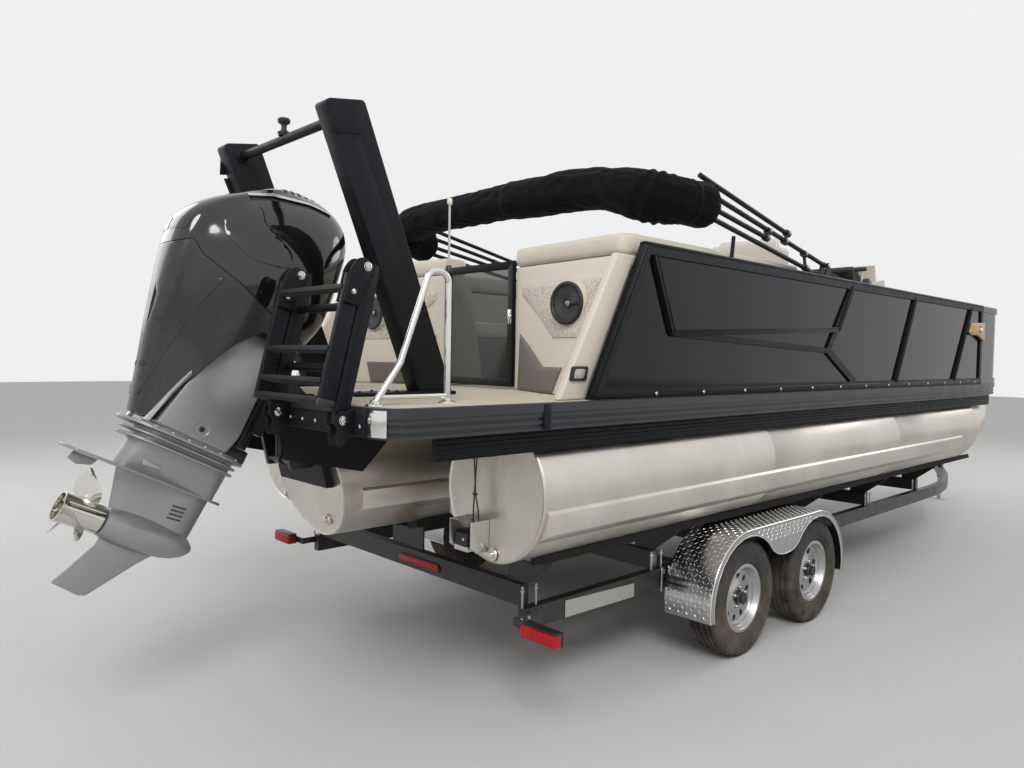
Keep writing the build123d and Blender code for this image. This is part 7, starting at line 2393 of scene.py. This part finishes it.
class BOAT_OT_fence_trim(bpy.types.Operator):
    """Rounded caps, ribs, screws and corner lamps of the fences"""
    bl_idname = "boat.fence_trim"
    bl_label = "Fence trim"

    def execute(self, context):
        screws = []
        for side, sign in SIDES:
            parts = []
            runs = ((0.700, 6.050),) if side == "starboard" else ((0.700, 3.222), (3.988, 6.050))
            for start, stop in runs:
                rings = []
                steps = (
                    (start, 0.80), (start + 0.006, 0.96), (start + 0.014, 1.0), (stop - 0.014, 1.0), (stop - 0.006, 0.96),
                    (stop, 0.80)
                )
                for y, grow in steps:
                    ring = []
                    for k in range(28):
                        turn = 2 * pi * k / 28
                        ring.append(at(
                            sign * (1.220 + 0.0245 * grow * signed_power(cos(turn), 0.75)), y,
                            2.236 + 0.0115 * grow * signed_power(sin(turn), 0.75)
                        ))
                    rings.append(ring)
                parts.append(skin("cap", rings, "black_coat", smooth_angle=50))
                parts.append(rounded(
                    block(
                        "foot", at(sign * 1.236, start - 0.36 if start < 1 else start, 1.498), at(sign * 1.2465, stop, 1.534),
                        "black_coat"
                    ),
                    0.004, 3
                ))
                for k in range(int((stop - start) / 0.42) + 1):
                    screws.append((at(sign * 1.2466, start + 0.10 + 0.42 * k, 1.516), (sign, 0, 0), (0, 0, 1)))
            for low, high in FENCE_BARS[side]:
                a, b = Vector(low), Vector(high)
                way = (b - a).normalized()
                across = Vector((-way.y, way.x))
                for shift, wide, proud in ((0.0, 0.0125, 0.0045), (0.0125, 0.0035, 0.0075), (-0.0125, 0.0035, 0.0075)):
                    outline = [tuple(p) for p in (
                        a + across * (shift - wide), b + across * (shift - wide), b + across * (shift + wide),
                        a + across * (shift + wide)
                    )]
                    parts.append(side_plate("rib", outline, sign * 1.238, sign * (1.240 + proud), "black_coat", 0.0018))
            fasten(joined("fence_trim_" + side, parts), ROOT)

            shell = ((5.600, 1.975), (5.640, 2.060), (6.040, 2.078), (6.046, 1.900), (5.830, 1.955), (5.640, 1.950))
            lens = ((5.860, 1.985), (5.872, 2.045), (5.985, 2.052), (5.990, 1.960))
            lamp = [
                side_plate("lamp_shell", shell, sign * 1.236, sign * 1.262, "gold", 0.005),
                side_plate("lamp_well", lens, sign * 1.258, sign * 1.2632, "dark_screen", 0.001)
            ]
            for y in (5.897, 5.950):
                lamp.append(turned(
                    "lamp", ((0, 0), (0, 0.0190), (0.004, 0.0185), (0.006, 0.015), (0.005, 0.008), (0.008, 0.003), (0.008, 0)),
                    at(sign * 1.262, y, 2.008), (sign, 0, 0), "polished", 28
                ))
            fasten(joined("corner_lamp_" + side, lamp), ROOT)
        shape = bolt_head(0.0065, 0.0035, 12)
        scatter("fence_screws", screws, shape, "stainless", ROOT)
        return {"FINISHED"}


def signed_power(value, power):
    return (abs(value) ** power) * (1 if value >= 0 else -1)


class BOAT_OT_helm(bpy.types.Operator):
    """Helm: hooded display, rocker switches, throttle, cup holders and wheel"""
    bl_idname = "boat.helm"
    bl_label = "Helm controls"

    def execute(self, context):
        deck, y0 = 1.495, 3.900
        hood = (
            (y0 - 0.118, deck + 0.798), (y0 - 0.150, deck + 0.915), (y0 - 0.125, deck + 0.938), (y0 - 0.020, deck + 0.900),
            (y0 + 0.050, deck + 0.832), (y0 + 0.020, deck + 0.818)
        )
        parts = [side_plate("hood", hood, 0.540, 0.940, "black_plastic", 0.010)]
        aft = Vector((0, -0.965, -0.262))
        face = at(0.740, y0 - 0.1345, deck + 0.857)
        up = Vector((0, -0.262, 0.965))
        across = Vector((1, 0, 0))
        glass = [tuple(p) for p in softened(
            [Vector(p) for p in ((-0.170, -0.045), (0.170, -0.045), (0.170, 0.045), (-0.170, 0.045))], 0.012, 4
        )]
        parts.append(prism(
            "display", glass, lambda a, b, c: face + across * a + up * b + aft * c, -0.006, 0.005, "dark_screen", 0.0015
        ))

        # The sloping dash carries the switches and the throttle
        foot, head = Vector((y0 - 0.290, deck + 0.560)), Vector((y0 - 0.120, deck + 0.800))
        run = (head - foot).normalized()
        out = Vector((-run.y, run.x))

        def dash(a, b, c):
            spot = foot + run * b + out * c
            return at(a, spot.x, spot.y)

        for x, wide in ((0.470, 0.105), (0.960, 0.045)):
            plate = [tuple(p) for p in softened(
                [Vector(p) for p in ((x - wide / 2, 0.060), (x + wide / 2, 0.060), (x + wide / 2, 0.250), (x - wide / 2, 0.250))],
                0.010, 4
            )]
            parts.append(prism("switch_plate", plate, dash, -0.002, 0.005, "black_plastic", 0.0015))
            for row in range(4):
                for column in ((-0.025, 0.025) if wide > 0.06 else (0.0,)):
                    centre = x + column
                    level = 0.082 + row * 0.046
                    rocker = (
                        (level - 0.015, 0.004), (level - 0.015, 0.008), (level, 0.0065), (level + 0.015, 0.0115),
                        (level + 0.015, 0.004)
                    )
                    parts.append(prism(
                        "rocker", rocker, lambda a, b, c: dash(c, a, b), centre - 0.010, centre + 0.010, "rubber", 0.0015
                    ))
        fasten(joined("helm_dash", parts), ROOT)

        pod = side_plate(
            "pod", ((3.690, 2.155), (3.705, 2.300), (3.745, 2.330), (3.800, 2.300), (3.790, 2.170)), 1.030, 1.078,
            "black_plastic", 0.008
        )
        lever = [
            pod,
            turned(
                "hub", ((0, 0), (0, 0.032), (0.006, 0.031), (0.012, 0.024), (0.014, 0.010), (0.014, 0)), at(1.030, 3.745, 2.265),
                (-1, 0, 0), "polished", 40
            )
        ]
        lever.append(rod(
            "lever", blended([at(1.022, 3.745, 2.265), at(1.018, 3.742, 2.330), at(1.020, 3.735, 2.385)], 6), 0.0075, "polished",
            16
        ))
        lever.append(turned(
            "grip", ((-0.045, 0), (-0.045, 0.012), (-0.038, 0.0155), (0.0, 0.017), (0.038, 0.0155), (0.045, 0.012), (0.045, 0)),
            at(1.010, 3.733, 2.398), (1, 0, 0), "rubber", 28
        ))
        fasten(joined("throttle", lever), ROOT)

        cups = []
        for x in (0.500, 0.620, 0.860, 0.980):
            cups.append(turned(
                "cup", ((-0.004, 0), (-0.004, 0.041), (0.0045, 0.041), (0.0045, 0.0345), (0.001, 0.0335), (0.001, 0.0)),
                at(x, y0 + 0.165, deck + 0.7585), Vector((0, 0.89, 0.456)), "stainless", 40
            ))
        fasten(joined("cup_rings", cups), ROOT)

        centre = at(0.740, y0 - 0.222, deck + 0.700)
        axis = Vector((0, -sin(radians(55)), cos(radians(55))))
        side = Vector((1, 0, 0))
        lift = axis.cross(side)
        rim = []
        for k in range(96):
            turn = 2 * pi * k / 96
            rim.append(centre + axis * 0.062 + (side * cos(turn) + lift * sin(turn)) * 0.175)
        wheel = [ring_rod("rim", rim, 0.0145, "rubber", 20)]
        for turn in (90, 210, 330):
            way = side * cos(radians(turn)) + lift * sin(radians(turn))
            cross = axis.cross(way)
            spoke = ((0.030, -0.026), (0.075, -0.016), (0.168, -0.013), (0.168, 0.013), (0.075, 0.016), (0.030, 0.026))
            wheel.append(prism(
                "spoke", spoke, lambda a, b, c, way=way, cross=cross: centre + way * a + cross * b + axis * c, 0.0585, 0.0655,
                "bare_plate", 0.002
            ))
        wheel.append(turned(
            "boss",
            (
                (0.008, 0.0), (0.008, 0.030), (0.052, 0.033), (0.058, 0.040), (0.068, 0.040), (0.074, 0.034), (0.0755, 0.022),
                (0.0755, 0.0)
            ),
            centre, axis, "black_plastic", 48
        ))
        fasten(joined("helm_wheel_skin", wheel), "helm", ("helm_wheel",))
        return {"FINISHED"}


PIECES = (
    BOAT_OT_logs, BOAT_OT_arch, BOAT_OT_deck_trim, BOAT_OT_cowl, BOAT_OT_leg, BOAT_OT_propeller,
    BOAT_OT_loungers, BOAT_OT_bow_lounges, BOAT_OT_helm_seat, BOAT_OT_wheels, BOAT_OT_fenders,
    BOAT_OT_trailer_fittings, BOAT_OT_gates, BOAT_OT_canopy, BOAT_OT_ladder, BOAT_OT_sounder,
    BOAT_OT_fence_trim, BOAT_OT_helm,
)


# ---------------------------------------------------------------- coats and stage

class BOAT_OT_coats(bpy.types.Operator):
    """Every finish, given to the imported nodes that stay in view"""
    bl_idname = "boat.coats"
    bl_label = "Finishes"

    def execute(self, context):
        mix_finishes()
        for name, obj in cad_nodes.items():
            material = FINISH[NODE_FINISH[name]]
            if not obj.material_slots:
                obj.data.materials.append(material)
            for slot in obj.material_slots:
                slot.material = material
        return {"FINISHED"}


class BOAT_OT_stage(bpy.types.Operator):
    """Camera, pale floor and soft light"""
    bl_idname = "boat.stage"
    bl_label = "Stage"

    def execute(self, context):
        scene = context.scene
        scene.view_settings.view_transform = "Standard"
        place, turn, pitch, roll = Vector((3.465, -5.823, 1.6875)), radians(46.40), radians(2.11), radians(0.99)
        ahead = Vector((-sin(turn) * cos(pitch), cos(turn) * cos(pitch), -sin(pitch)))
        right = Vector((cos(turn), sin(turn), 0))
        up = right.cross(ahead)
        across = right * cos(roll) + up * sin(roll)
        over = up * cos(roll) - right * sin(roll)
        data = bpy.data.cameras.new("camera")
        data.lens = 26.93
        data.sensor_width = 36.0
        camera = bpy.data.objects.new("camera", data)
        scene.collection.objects.link(camera)
        camera.matrix_world = Matrix((
            (across.x, over.x, -ahead.x, place.x), (across.y, over.y, -ahead.y, place.y),
            (across.z, over.z, -ahead.z, place.z), (0, 0, 0, 1),
        ))
        scene.camera = camera

        material, tree, shader, coords = graph("floor_finish")
        grain = noise_field(tree, coords.outputs["Object"], 1.2, 6.0)
        base = tint(tree, grain, (0.60, 0.60, 0.59), (0.66, 0.66, 0.65))
        tree.links.new(base, shader.inputs["Base Color"])
        shader.inputs["Roughness"].default_value = 0.85
        verts, faces, steps, reach = [], [], 24, 40.0
        for i in range(steps + 1):
            for j in range(steps + 1):
                verts.append((reach * (i / steps * 2 - 1), reach * (j / steps * 2 - 1), 0.0))
        for i in range(steps):
            for j in range(steps):
                a = i * (steps + 1) + j
                faces.append((a, a + steps + 1, a + steps + 2, a + 1))
        mesh = bpy.data.meshes.new("floor")
        mesh.from_pydata(verts, [], faces)
        mesh.materials.append(material)
        floor = bpy.data.objects.new("floor", mesh)
        scene.collection.objects.link(floor)

        world = bpy.data.worlds.new("studio")
        world.use_nodes = True
        scene.world = world
        nodes, links = world.node_tree.nodes, world.node_tree.links
        light = nodes["Background"]
        light.inputs["Strength"].default_value = 0.62
        where = nodes.new("ShaderNodeTexCoord")
        apart = nodes.new("ShaderNodeSeparateXYZ")
        links.new(where.outputs["Generated"], apart.inputs["Vector"])
        height = span(world.node_tree, apart.outputs["Z"], 0.0, 1.0, -0.05, 0.75)
        links.new(tint(world.node_tree, height, (0.70, 0.71, 0.72), (1.0, 1.0, 1.0)), light.inputs["Color"])
        view = nodes.new("ShaderNodeBackground")
        view.inputs["Color"].default_value = (0.86, 0.87, 0.88, 1)
        view.inputs["Strength"].default_value = 1.0
        path = nodes.new("ShaderNodeLightPath")
        choose = nodes.new("ShaderNodeMixShader")
        seen = path.outputs["Is Camera Ray"]
        for ray in ("Is Glossy Ray", "Is Transmission Ray"):
            either = nodes.new("ShaderNodeMath")
            either.operation = "MAXIMUM"
            links.new(seen, either.inputs[0])
            links.new(path.outputs[ray], either.inputs[1])
            seen = either.outputs[0]
        links.new(seen, choose.inputs["Fac"])
        links.new(light.outputs["Background"], choose.inputs[1])
        links.new(view.outputs["Background"], choose.inputs[2])
        links.new(choose.outputs["Shader"], nodes["World Output"].inputs["Surface"])

        for name, spot, aim, size, power in (
            ("key", (7.0, -9.0, 8.5), (0, 0, 1.2), 5.0, 620.0),
            ("fill", (-8.0, -6.0, 6.0), (0, 0, 1.2), 7.0, 200.0),
            ("rim", (3.0, 10.0, 7.0), (0, 0, 1.5), 6.0, 220.0),
        ):
            lamp = bpy.data.lights.new(name, "AREA")
            lamp.shape = "DISK"
            lamp.size = size
            lamp.energy = power
            holder = bpy.data.objects.new(name, lamp)
            holder.location = spot
            holder.rotation_euler = (Vector(aim) - Vector(spot)).to_track_quat("-Z", "Y").to_euler()
            scene.collection.objects.link(holder)
        return {"FINISHED"}


OPERATORS = (BOAT_OT_coats, BOAT_OT_stage) + PIECES


class BOAT_PT_panel(bpy.types.Panel):
    """Lists the boat's pieces"""
    bl_idname = "BOAT_PT_panel"
    bl_label = "Boat"
    bl_space_type = "VIEW_3D"
    bl_region_type = "UI"
    bl_category = "Boat"

    def draw(self, context):
        layout = self.layout
        for holder in (context.scene.boat_sizes, context.scene.boat_colours):
            box = layout.box()
            for key in holder.__annotations__:
                box.prop(holder, key)
        for operator in OPERATORS:
            layout.operator(operator.bl_idname)


CLASSES = (BoatSizes, BoatColours) + OPERATORS + (BOAT_PT_panel,)


def register():
    for cls in CLASSES:
        bpy.utils.register_class(cls)
    bpy.types.Scene.boat_sizes = bpy.props.PointerProperty(type=BoatSizes)
    bpy.types.Scene.boat_colours = bpy.props.PointerProperty(type=BoatColours)


def unregister():
    del bpy.types.Scene.boat_colours
    del bpy.types.Scene.boat_sizes
    for cls in reversed(CLASSES):
        bpy.utils.unregister_class(cls)


def main():
    register()
    for operator in OPERATORS:
        group, name = operator.bl_idname.split(".")
        getattr(getattr(bpy.ops, group), name)()


if __name__ == "__main__":
    main()
